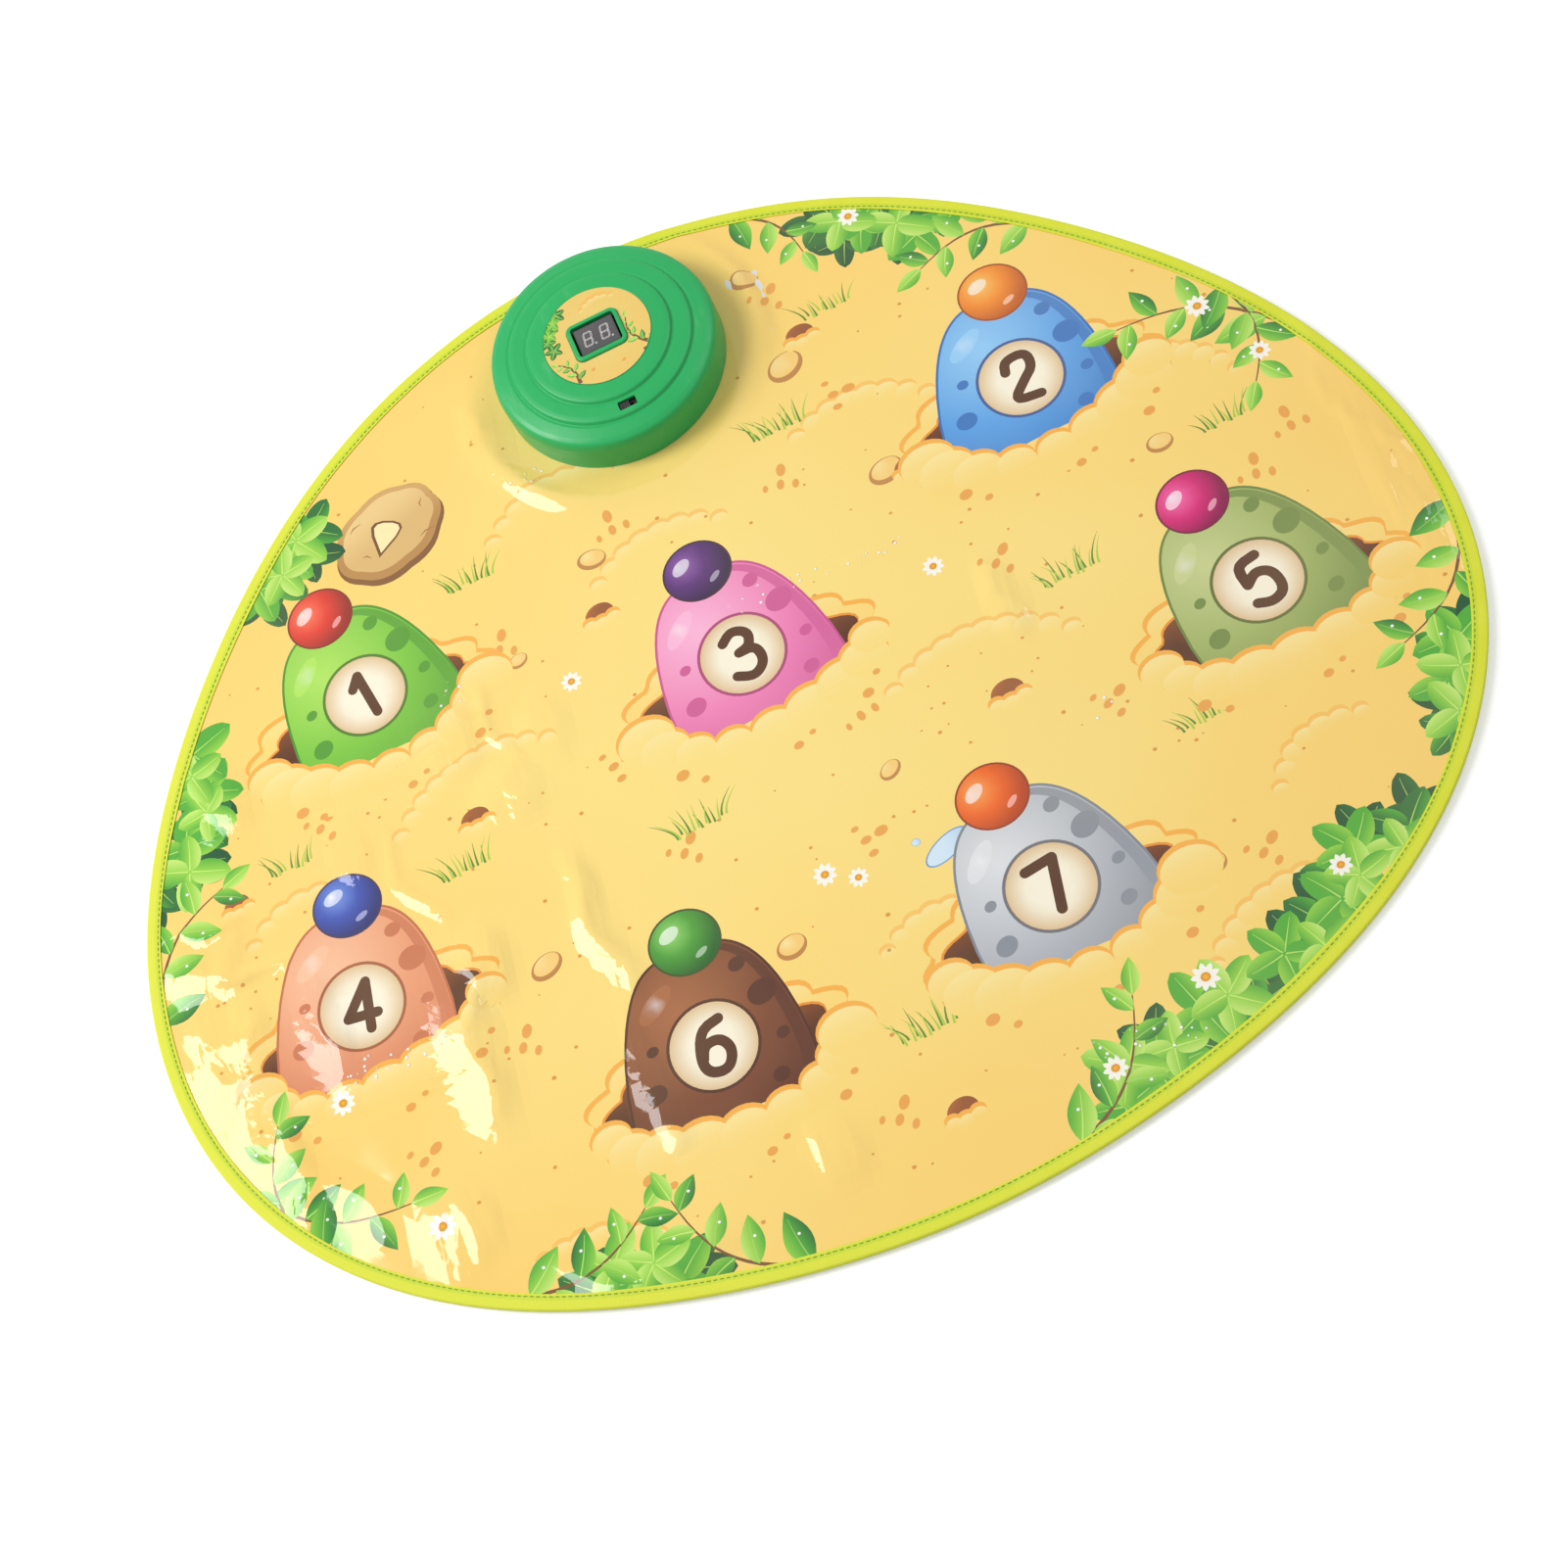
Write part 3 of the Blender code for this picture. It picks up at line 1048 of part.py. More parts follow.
def make_wires(inks, hub):
    """Leads from the two terminal tabs and from the speaker's lugs to the board's underside."""
    under = BOARD_BASE_HEIGHT - FIT_GAP - WIRE_RADIUS
    tab_x = BOX_INSIDE_LENGTH / 2 - FIT_GAP - CONTACT_THICKNESS / 2
    tab_top = BOX_TOP + TAB_STAND + FIT_GAP + WIRE_RADIUS
    pull = (under - tab_top) / 2
    pad_x, pad_y = BOARD_PAD_PLACE
    for name, side in (("battery_lead_minus", -1), ("battery_lead_plus", 1)):
        start = (side * tab_x, side * CELL_PITCH, tab_top)
        end = (side * pad_x, side * pad_y, under)
        points = bent_wire(start, (0, 0, pull), end, (0, 0, -pull))
        make_tube(name, points, WIRE_RADIUS, 1, inks[name], hub)
    lug_y = SPEAKER_FACE_PLACE - SPEAKER_DEPTH - FIT_GAP - WIRE_RADIUS
    run = (lug_y - SPEAKER_PAD_BACK_PLACE) / 3
    for name, side in (("speaker_lead_left", -1), ("speaker_lead_right", 1)):
        start = (side * SPEAKER_LUG_PLACE, lug_y, SPEAKER_CENTRE_HEIGHT)
        end = (side * SPEAKER_LUG_PLACE, SPEAKER_PAD_BACK_PLACE, under)
        points = bent_wire(start, (0, -run, 0), end, (0, run, -pull))
        make_tube(name, points, WIRE_RADIUS, 1, inks[name], hub)


def main():
    clear_scene()
    inks = {
        "backing": finish_material("backing_cloth", (0.62, 0.63, 0.60), 0.9),
        "film": finish_material("clear_film", (0.70, 0.74, 0.76), 0.3),
        "foam": finish_material("spacer_foam", (0.88, 0.88, 0.86), 0.9),
        "cover": finish_material("printed_vinyl", (0.96, 0.66, 0.24), 0.25),
        "binding": finish_material("binding_tape", (0.68, 0.78, 0.06), 0.55),
        "pad": finish_material("carbon_print", (0.05, 0.05, 0.055), 0.7),
        "casing": finish_material("green_plastic", (0.03, 0.45, 0.16), 0.35),
        "label": finish_material("label_print", (0.95, 0.65, 0.28), 0.4),
        "display": finish_material("display_block", (0.06, 0.06, 0.06), 0.35),
        "board": finish_material("circuit_board", (0.03, 0.22, 0.10), 0.5),
        "chip": finish_material("chip_epoxy", (0.01, 0.01, 0.01), 0.3),
        "can": finish_material("capacitor_sleeve", (0.03, 0.04, 0.12), 0.4),
        "switch": finish_material("black_plastic", (0.02, 0.02, 0.02), 0.5),
        "cell": finish_material("cell_jacket", (0.25, 0.26, 0.28), 0.35, 0.4),
        "steel": finish_material("plated_steel", (0.70, 0.70, 0.68), 0.3, 1.0),
        "cone": finish_material("speaker_paper", (0.04, 0.04, 0.045), 0.8),
        "clamp": finish_material("white_plastic", (0.80, 0.80, 0.78), 0.5),
        "battery_lead_minus": finish_material("black_wire", (0.02, 0.02, 0.02), 0.5),
        "battery_lead_plus": finish_material("red_wire", (0.60, 0.03, 0.02), 0.5),
        "speaker_lead_left": finish_material("yellow_wire", (0.75, 0.60, 0.05), 0.5),
        "speaker_lead_right": finish_material("blue_wire", (0.04, 0.12, 0.55), 0.5),
    }
    hub = bpy.data.objects.new("hub_axis", None)
    bpy.context.scene.collection.objects.link(hub)
    hub.location = (0.0, HUB_Y, 0.0)

    make_mat(inks)
    make_pads(inks["pad"])
    make_upper_casing(inks["casing"], hub)
    make_lower_casing(inks["casing"], hub)
    make_battery_door(inks["casing"], hub)
    make_screws(inks["steel"], hub)
    make_label(inks["label"], hub)
    make_display(inks["display"], hub)
    make_board(inks, hub)
    make_switch(inks, hub)
    make_cells(inks, hub)
    make_contacts(inks["steel"], hub)
    make_springs(inks["steel"], hub)
    make_speaker(inks, hub)
    make_tail(inks, hub)
    make_wires(inks, hub)


main()
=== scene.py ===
"""Whack-a-mole play mat: printed design, film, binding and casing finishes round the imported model.

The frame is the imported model's: +X along the mat's width, +Y towards the sound unit, +Z up, metres.
The printed design is drawn flat in millimetres and cut into the mat's cover.
"""

import json
import math

import bmesh
import bpy
import numpy as np
from mathutils import Matrix, Vector
from mathutils.geometry import delaunay_2d_cdt

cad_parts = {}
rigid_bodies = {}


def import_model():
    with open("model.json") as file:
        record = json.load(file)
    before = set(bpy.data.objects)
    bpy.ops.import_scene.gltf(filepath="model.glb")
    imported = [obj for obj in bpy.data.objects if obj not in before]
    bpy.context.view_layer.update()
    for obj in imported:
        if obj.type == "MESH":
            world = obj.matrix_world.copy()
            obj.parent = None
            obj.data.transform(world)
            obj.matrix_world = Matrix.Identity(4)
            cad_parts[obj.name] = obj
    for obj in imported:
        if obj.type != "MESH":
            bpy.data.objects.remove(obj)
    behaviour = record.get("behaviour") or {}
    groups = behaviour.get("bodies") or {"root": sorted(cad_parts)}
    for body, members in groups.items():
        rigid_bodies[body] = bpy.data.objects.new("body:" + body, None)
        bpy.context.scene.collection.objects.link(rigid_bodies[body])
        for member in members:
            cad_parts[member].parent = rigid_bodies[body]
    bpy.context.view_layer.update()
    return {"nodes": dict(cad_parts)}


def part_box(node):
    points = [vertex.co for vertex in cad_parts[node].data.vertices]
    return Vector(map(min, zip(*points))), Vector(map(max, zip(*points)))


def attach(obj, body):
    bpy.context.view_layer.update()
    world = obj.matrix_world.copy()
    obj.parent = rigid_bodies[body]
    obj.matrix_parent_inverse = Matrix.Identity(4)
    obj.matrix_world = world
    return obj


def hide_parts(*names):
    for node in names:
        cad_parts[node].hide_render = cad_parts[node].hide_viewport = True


bl_info = {
    "name": "Whack-a-Mole Play Mat",
    "version": (1, 0, 0),
    "blender": (4, 5, 0),
    "location": "3D View > Sidebar > Play Mat",
    "description": "Builds the finish of an electronic play mat round its solid model",
    "category": "Add Mesh",
}

for start_object in list(bpy.data.objects):
    bpy.data.objects.remove(start_object, do_unlink=True)

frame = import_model()

TAU = 2 * math.pi
MM = 0.001

# Points nearer than this are one: in a solid, in a cut sheet, and while a drawing is cut, in millimetres
SOLID_DOUBLE = 1e-7
SHEET_DOUBLE = 3e-7
CUT_DOUBLE = 1e-6


def middle_of(name):
    """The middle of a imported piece's box, across and along."""
    low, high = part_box(name)
    return np.array([(low.x + high.x) / 2, (low.y + high.y) / 2])


def radius_of(name):
    """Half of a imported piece's width."""
    low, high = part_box(name)
    return (high.x - low.x) / 2


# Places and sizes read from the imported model
MAT_LOW, MAT_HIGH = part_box("edge_binding")
MAT_WIDTH = MAT_HIGH.x - MAT_LOW.x
MAT_DEPTH = MAT_HIGH.y - MAT_LOW.y
CASING_LOW, CASING_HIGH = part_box("upper_casing")
HUB = (CASING_LOW + CASING_HIGH) / 2
HUB_RADIUS = radius_of("upper_casing")
COVER_LOW, COVER_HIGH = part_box("printed_cover")
SHEETS = ("printed_cover", "upper_contact_film", "spacer_foam", "lower_contact_film", "backing_sheet")
PADS = [f"hit_pad_{number}" for number in range(1, 8)] + ["start_pad"]
PAD_SPOTS = [(middle_of(name), radius_of(name)) for name in PADS]

# The mat's outline, its layers and its rise over the unit's flange
OUTLINE_WAVE_SHARES = (0.005, -0.092, 0.041, 0.010, -0.009)
COVER_THICKNESS = 0.0004
MAT_RISE = COVER_HIGH.z - COVER_LOW.z - COVER_THICKNESS
RISE_START = HUB_RADIUS + 0.003
RISE_RUN = 0.055
SHEET_INSET = 0.0007
WINDOW_CLEARANCE = 0.002

# Round each pad the mat stays free of creases: a margin, and the run over which they fade out before it
PAD_MARGIN = 0.006
PAD_RUN = 0.012

# The printed sand: middle and half size of its light ground, lengths of its drifts, and the seed of its print
SAND_MIDDLE = (0, -20)
SAND_HALF = (390, 330)
DRIFT_LENGTHS = (47, 61, 39)
MAT_SEED = 11

# The mat's squarish opening under the unit, and its holes for the screw cups
OPENING_SQUARENESS = 8
OPENING_HALF = (0.0330, 0.0345)
HOLE_RADIUS = 0.0053
HOLE_REACH = 0.0615
HOLE_TURNS = (45, 135, 225, 315)

# The binding: the tape's thickness, its height folded over the mat, and how its inner edge wanders and puckers
SKIN = 0.0004
TAPE_AIR = 0.0002
TAPE_TOP = COVER_LOW.z + COVER_THICKNESS + TAPE_AIR + SKIN
TAPE_STATIONS = 900
TAPE_WANDER = 0.00035
TAPE_PUCKER = 0.0001

# Its stitches: half width, half height, how far their middle lies above the tape, and their line over its width
STITCH_HALF_WIDTH = 0.00034
STITCH_HALF_HEIGHT = 0.00026
STITCH_LIFT = 0.00016
STITCH_LINE_SHARE = 0.80

# The casing: wall, the heights that its section is measured from, and how far joined solids run into each other
WALL = 0.002
SHOULDER_HEIGHT = 0.020
LABEL_AIR = 0.0003
BITE = 0.0002

# Its outer section from the foot up and inwards, then its inner one back outwards: the radius and the level
# that a point is measured from, how far out and up it lies and how round it is, in millimetres
OUTER_SECTION = (
    ("rim", "foot", -2.0, 0.0, 0.0), ("rim", "foot", -0.2, 0.0, 0.2), ("rim", "foot", 0.0, 0.5, 0.3),
    ("rim", "shoulder", 0.0, -0.4, 1.2), ("rim", "shoulder", -1.1, 4.2, 4.0),
    ("rim", "shoulder", -4.6, 5.8, 4.0), ("outer", "seat", 3.0, -6.1, 1.0), ("outer", "seat", 1.1, -6.4, 0.9),
    ("outer", "seat", 0.1, -4.2, 1.8), ("outer", "seat", -3.0, -3.6, 2.0), ("inner", "seat", 3.0, -3.0, 1.0),
    ("inner", "seat", 1.1, -3.3, 0.9), ("inner", "seat", 0.1, -1.2, 1.8), ("inner", "seat", -3.0, -0.6, 2.0),
    ("label", "seat", 0.7, 0.3, 0.3), ("label", "seat", 0.3, 0.0, 0.1), ("axis", "seat", 12.0, 0.0, 0.0),
)
INNER_SECTION = (
    ("axis", "seat", 12.0, -2.0), ("inner", "seat", -2.0, -2.9), ("inner", "seat", -0.9, -4.7),
    ("outer", "seat", -2.0, -5.9), ("outer", "seat", -0.9, -7.7), ("rim", "shoulder", -5.15, 3.7),
    ("rim", "shoulder", -2.0, 0.0),
)
CASING_STEPS = 192

# What is joined to the casing: the display's bezel, the plate under it (width, depth and corner), bosses at the
# rim and posts on the board
BEZEL_ROUND = 0.0011
BEZEL_CORNER = 0.0047
SEAT_PLATE = (0.040, 0.040, 0.004)
BOSS_RADIUS = 0.0036
BOSS_FOOT = 0.0049
BOSS_TOP = 0.0036
POST_RADIUS = 0.0032

# What is cut from it: the display's window, the switch's slot (width, depth and corner) and the grille's slits,
# whose ends lie on a circle and which run from one distance from the axis to another
CUT_BEYOND = 0.002
WINDOW_CORNER = 0.002
SLOT = (0.0112, 0.0056, 0.0005)
SLOT_REACH = 0.0075
SLITS = 7
SLIT_PITCH = 0.002596
SLIT_WIDTH = 0.0013
SLIT_CORNER = 0.0006
GRILLE_RADIUS = 0.0088
GRILLE_RUN = (0.0660, 0.0720)

# The label: gap round the bezel, corner of its hole, reach and shade of its sand, grid, seed of its print
LABEL_GAP = 0.0003
LABEL_CORNER = 0.005
LABEL_SAND_REACH = 34
LABEL_SHADE_SHARE = 0.88
LABEL_PITCH = 1.6
LABEL_SEED = 5

# The display's face: thickness of its film, and in millimetres its edge, corner and grid
FACE_FILM = 0.00022
FACE_EDGE = 0.25
FACE_CORNER = 0.6
FACE_PITCH = 1.5

# The knob: rounding of its edges, depth of the grooves between its ribs, their number, its underside, and the
# stem's top and its width, depth and corner
KNOB_SOFTNESS = 0.0005
KNOB_ROUND = 0.0006
KNOB_GROOVE = 0.00045
KNOB_RIBS = 4
KNOB_UNDER = 0.0012
STEM_TOP = 0.0014
KNOB_STEM = (0.0022, 0.0012, 0.0002)

# The cells: height and radius of the raised terminal, rounding of the jacket's ends, points round
CELL_TERMINAL_HEIGHT = 0.0012
CELL_TERMINAL_RADIUS = 0.0027
CELL_ROLL = 0.0007
CELL_BEVEL = 0.0002
CELL_STEPS = 40

# The studio: the point that the camera looks at, the floor, and the distance over which it passes into white
VIEW_TARGET = (-0.0087, -0.05532)
FLOOR_RADIUS = 30.0
FLOOR_DROP = 0.0002
FLOOR_FADE = (0.65, 1.5)

# Each lamp's setting of power, its width and depth, and its place. All of them face the middle of the mat
LAMPS = {
    "softbox": ("key_power", (1.1, 1.7), (-1.80, 0.70, 2.20)),
    "overhead": ("fill_power", (0.9, 0.9), (1.60, 0.80, 2.20)),
}


def ink(red, green, blue):
    """A colour given in the usual 0 to 255, as the linear values that a shader reads."""
    shares = np.array([red, green, blue]) / 255
    linear = np.where(shares <= 0.04045, shares / 12.92, ((shares + 0.055) / 1.055) ** 2.4)
    return tuple(linear.tolist())


def size_setting(label, default, note):
    """A length that the user may change."""
    return bpy.props.FloatProperty(name=label, description=note, default=default, unit="LENGTH", precision=5)


def share_setting(label, default, note):
    """A plain factor that the user may change."""
    return bpy.props.FloatProperty(name=label, description=note, default=default, subtype="FACTOR", min=0.0)


def angle_setting(label, degrees, note):
    """An angle that the user may change."""
    turn = math.radians(degrees)
    return bpy.props.FloatProperty(name=label, description=note, default=turn, unit="ROTATION")


def colour_setting(label, rgb, note):
    """A colour that the user may change."""
    return bpy.props.FloatVectorProperty(
        name=label, description=note, default=ink(*rgb), subtype="COLOR", size=3, min=0.0, max=1.0
    )


class MatSettings(bpy.types.PropertyGroup):
    """Sizes and colours of the mat"""

    grid: size_setting("Grid", 0.006, "Distance between the points that carry the mat's waves")
    wave_height: size_setting("Wave height", 0.0016, "How high the mat's slow waves lie off the floor")
    fold_height: size_setting("Fold height", 0.0030, "Height of the soft folds round the sound unit")
    binding_width: size_setting("Binding width", 0.009, "How far the tape reaches over the mat")
    binding_round: size_setting("Binding round", 0.0011, "Radius of the tape where it turns over the edge")
    stitch_length: size_setting("Stitch length", 0.0026, "Length of one stitch of the binding")
    stitch_pitch: size_setting("Stitch pitch", 0.0036, "Distance from one stitch to the next")
    sand_middle: colour_setting("Sand, middle", (255, 226, 132), "Printed sand in the middle of the mat")
    sand_edge: colour_setting("Sand, edge", (255, 210, 108), "Printed sand near the mat's edge")
    tape: colour_setting("Tape", (224, 228, 56), "Edge binding")
    tape_stripe: colour_setting("Tape stripe", (198, 218, 52), "Woven stripe along the binding's inner side")
    thread: colour_setting("Thread", (150, 184, 52), "Stitches of the binding")


class UnitSettings(bpy.types.PropertyGroup):
    """Sizes and colours of the sound unit"""

    casing: colour_setting("Casing", (30, 170, 90), "Moulded casing")
    outer_ring: size_setting("Outer ring", 0.056, "Radius of the outer ring step")
    inner_ring: size_setting("Inner ring", 0.044, "Radius of the inner ring step")
    label_radius: size_setting("Label radius", 0.033, "Radius of the printed label")
    window_width: size_setting("Window width", 0.0278, "Width of the display window")
    window_depth: size_setting("Window depth", 0.0216, "Depth of the display window")
    bezel_border: size_setting("Bezel border", 0.0027, "Width of the raised border round the window")


class StudioSettings(bpy.types.PropertyGroup):
    """Camera, lamps and floor"""

    azimuth: angle_setting("Azimuth", 7.0371, "Turn of the camera round the mat")
    elevation: angle_setting("Elevation", 63.1899, "Height of the camera above the floor, as an angle")
    roll: angle_setting("Roll", -31.7705, "Turn of the camera about its own line of sight")
    distance: size_setting("Distance", 1.5153, "From the camera to the point that it looks at")
    lens: bpy.props.FloatProperty(
        name="Lens", description="Focal length in millimetres", default=62.961, min=1.0
    )
    sky: share_setting("Sky", 0.48, "Strength of the even light from all round")
    key_power: share_setting("Key power", 60.0, "Power of the softbox, in watts")
    fill_power: share_setting("Fill power", 8.0, "Power of the overhead lamp, in watts")


# Every finish by name, once the first step has made them
FINISHES = {}

# Meshes as whole arrays


def grid_quads(rows, columns, close_rows=True, close_columns=True):
    """Quads that join each point of a rows by columns grid to its neighbours, round the ends where closed."""
    row = np.arange(rows if close_rows else rows - 1)
    column = np.arange(columns if close_columns else columns - 1)
    i, j = [v.ravel() for v in np.meshgrid(row, column, indexing="ij")]
    k, m = (i + 1) % rows, (j + 1) % columns
    return np.stack([i * columns + j, i * columns + m, k * columns + m, k * columns + j], axis=1)


def new_mesh(name, points, faces):
    """A mesh from an array of points and a list of faces."""
    mesh = bpy.data.meshes.new(name)
    mesh.from_pydata(np.asarray(points, float).tolist(), [], [list(map(int, f)) for f in faces])
    mesh.validate()
    return mesh


def join_doubles(mesh, distance=SOLID_DOUBLE, outwards=True):
    """Join points that lie on each other and, for a closed solid, turn its faces outwards."""
    bm = bmesh.new()
    bm.from_mesh(mesh)
    bmesh.ops.remove_doubles(bm, verts=bm.verts, dist=distance)
    if outwards:
        bmesh.ops.recalc_face_normals(bm, faces=bm.faces)
    bm.to_mesh(mesh)
    bm.free()


def new_object(name, data):
    """An object of some data, linked to the scene."""
    made = bpy.data.objects.new(name, data)
    bpy.context.scene.collection.objects.link(made)
    return made


def place_piece(mesh, finish, replaces=(), body="mat_and_sound_unit", slot=None, sharp=35, outwards=True):
    """Link a mesh as a piece of the object that rides on a body. The slot argument is not used."""
    if outwards:
        join_doubles(mesh)
    made = new_object(mesh.name, mesh)
    mesh.materials.clear()
    mesh.materials.append(FINISHES[finish])
    mesh.shade_smooth()
    if sharp:
        mesh.set_sharp_from_angle(angle=math.radians(sharp))
    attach(made, body)
    slot = finish if slot is None else slot
    if replaces:
        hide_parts(*replaces)
    return made


def closed_stack(rings):
    """Points and faces of a solid that joins each ring of points to the next and caps both ends."""
    rings = np.asarray(rings, float)
    count, steps = rings.shape[:2]
    faces = grid_quads(count, steps, close_rows=False).tolist()
    faces.append(list(range(steps))[::-1])
    faces.append(list(range((count - 1) * steps, count * steps)))
    return rings.reshape(-1, 3), faces


def ring_loop(radius, steps, centre=(0.0, 0.0)):
    """Points of a circle, anticlockwise."""
    turn = np.arange(steps) * TAU / steps
    return np.stack([centre[0] + radius * np.cos(turn), centre[1] + radius * np.sin(turn)], axis=1)


def round_rectangle(width, depth, corner, steps=8):
    """Points of a rectangle with round corners, anticlockwise: a quarter circle at each corner's centre."""
    turn = np.concatenate([np.linspace(q, q + 1, steps + 1) for q in range(4)]) * math.pi / 2
    side = np.repeat([[1, 1], [-1, 1], [-1, -1], [1, -1]], steps + 1, axis=0)
    middle = side * (width / 2 - corner, depth / 2 - corner)
    return middle + corner * np.stack([np.cos(turn), np.sin(turn)], axis=1)


def loop_stack(levels):
    """Points and faces of a solid through flat loops, from (loop, height) pairs."""
    return closed_stack([np.column_stack([loop, np.full(len(loop), height)]) for loop, height in levels])


def join_shapes(shapes):
    """One set of points and faces from several."""
    points, faces, start = [], [], 0
    for shape_points, shape_faces in shapes:
        points.append(np.asarray(shape_points, float))
        faces.extend([[start + i for i in face] for face in shape_faces])
        start += len(shape_points)
    return np.concatenate(points), faces


def inset_loop(loop, distance):
    """Move each point of an anticlockwise loop inwards, square to the loop, by one distance or one each."""
    along = np.roll(loop, -1, axis=0) - np.roll(loop, 1, axis=0)
    along /= np.linalg.norm(along, axis=1)[:, None]
    inward = np.stack([-along[:, 1], along[:, 0]], axis=1)
    return loop + inward * np.reshape(distance, (-1, 1))


def polygon_area(loop):
    """Area inside a loop."""
    x, y = loop[:, 0], loop[:, 1]
    return float(abs(np.dot(x, np.roll(y, -1)) - np.dot(y, np.roll(x, -1))) / 2)


def smooth_step(share):
    """0 below 0, 1 above 1, and a smooth rise between."""
    share = np.clip(share, 0, 1)
    return share * share * (3 - 2 * share)


def between(first, second, share):
    """Colours between two, one for each share."""
    share = share[:, None]
    return np.array(first) * (1 - share) + np.array(second) * share


# The mat's shape


def mat_outline(stations):
    """The mat's edge: a circle with five cosine waves, brought to the mat's width and depth."""
    turn = np.arange(stations) * TAU / stations
    reach = 1 + sum(share * np.cos((k + 1) * turn) for k, share in enumerate(OUTLINE_WAVE_SHARES))
    shape = np.stack([-reach * np.sin(turn), reach * np.cos(turn)], axis=1)
    low, high = shape.min(axis=0), shape.max(axis=0)
    return (shape - (low + high) / 2) / (high - low) * (MAT_WIDTH, MAT_DEPTH)


def hub_opening(steps=48):
    """The mat's opening under the unit: a squarish oval round its axis."""
    turn = np.arange(steps) * TAU / steps
    across = (np.abs(np.cos(turn)) / OPENING_HALF[0]) ** OPENING_SQUARENESS
    along = (np.abs(np.sin(turn)) / OPENING_HALF[1]) ** OPENING_SQUARENESS
    reach = (across + along) ** (-1 / OPENING_SQUARENESS)
    return np.stack([HUB.x + reach * np.cos(turn), HUB.y + reach * np.sin(turn)], axis=1)


def punched_holes():
    """The mat's four holes for the screw cups."""
    return [ring_loop(HOLE_RADIUS, 20, place + (HUB.x, HUB.y)) for place in hole_places()]


def hole_places():
    """Middles of the four screws, from the unit's axis."""
    turns = np.radians(HOLE_TURNS)
    return HOLE_REACH * np.stack([np.cos(turns), np.sin(turns)], axis=1)


# Creases of the film and the mat: start and end, height and half width, in millimetres
CREASES = (
    (-141, -36, -128, -137, 2.3, 6.5), (-128, -133, -139, -228, 2.0, 6.0), (-212, -66, -226, -168, 1.7, 7.0),
    (-372, 24, -318, 8, 1.2, 4.0), (-372, -4, -300, -30, 1.2, 4.0), (-368, -45, -325, -60, 1.2, 9.0),
    (-335, 118, -300, 62, 0.9, 6.0), (-160, 20, -140, 4, 0.6, 4.0), (-238, 40, -212, -60, 1.1, 5.0),
    (-154, 92, -142, 20, 1.2, 4.5), (-98, 264, -80, 234, 1.2, 4.0), (-352, -75, -300, -205, 1.0, 7.0),
    (-250, -245, -130, -300, 0.8, 5.0), (352, 92, 376, -70, 0.7, 4.0), (138, 22, 150, -32, 0.5, 2.5),
    (60, 60, 100, 46, 0.4, 2.0),
)
WAVES = (
    # direction in degrees, length in millimetres, phase
    (18, 310, 0.4),
    (74, 250, 2.1),
    (131, 205, 4.0),
)
FOLDS = (
    # middle direction from the unit's axis in degrees, distance and half width in millimetres
    (8, 92, 6.0),
    (216, 93, 7.0),
)

# Where the film has come loose of the print, and where its beads carry painted white glints: middle, half sizes
# and amount
LOOSE = (
    (-134, -86, 9, 50, 0.35), (-136, -186, 9, 42, 0.35), (-222, -118, 17, 50, 0.75), (-200, -78, 15, 24, 0.7),
    (-318, 92, 22, 26, 0.75), (-347, 0, 26, 28, 0.8), (-352, -60, 26, 34, 0.85), (-346, -140, 18, 54, 0.7),
    (-88, 242, 14, 26, 0.5), (-176, 62, 20, 26, 0.7), (-153, 12, 20, 20, 0.6), (-168, -280, 40, 14, 0.55),
    (-262, -216, 20, 24, 0.55), (145, -12, 10, 26, 0.4), (366, -60, 12, 78, 0.5), (-120, 40, 14, 22, 0.4),
    (-296, -70, 14, 34, 0.5), (-250, 22, 14, 22, 0.45), (-60, -262, 16, 20, 0.4),
)
BEAD_GLINTS = (
    (37, 57, 34, 8, 1.0), (92, 50, 20, 6, 1.0), (96, -275, 26, 7, 1.0), (128, -285, 16, 6, 1.0),
    (-264, -106, 36, 10, 1.0), (-71, 197, 18, 7, 1.0), (-160, 84, 14, 8, 0.9), (168, -98, 14, 7, 0.9),
)


def patches(x, y, table):
    """How much of each listed patch covers a point: a flat-topped bell over each, the largest of them."""
    amount = np.zeros(len(x))
    for middle_x, middle_y, half_x, half_y, share in table:
        reach = ((x / MM - middle_x) / half_x) ** 2 + ((y / MM - middle_y) / half_y) ** 2
        amount = np.maximum(amount, share * np.exp(-(reach**2)))
    return amount


def ridge(x, y, crease):
    """A crease: its height falls off as a bell from its line, and to nothing at both ends."""
    x0, y0, x1, y1, height, half = [v * MM for v in crease]
    along, span = np.array([x1 - x0, y1 - y0]), math.hypot(x1 - x0, y1 - y0)
    share = ((x - x0) * along[0] + (y - y0) * along[1]) / span**2
    bend = 0.05 * span * np.sin(3 * math.pi * share)
    off = ((x - x0) * -along[1] + (y - y0) * along[0]) / span - bend
    taper = np.sin(math.pi * np.clip(share, 0, 1)) ** 0.6
    return height * taper * np.exp(-((off / half) ** 2))


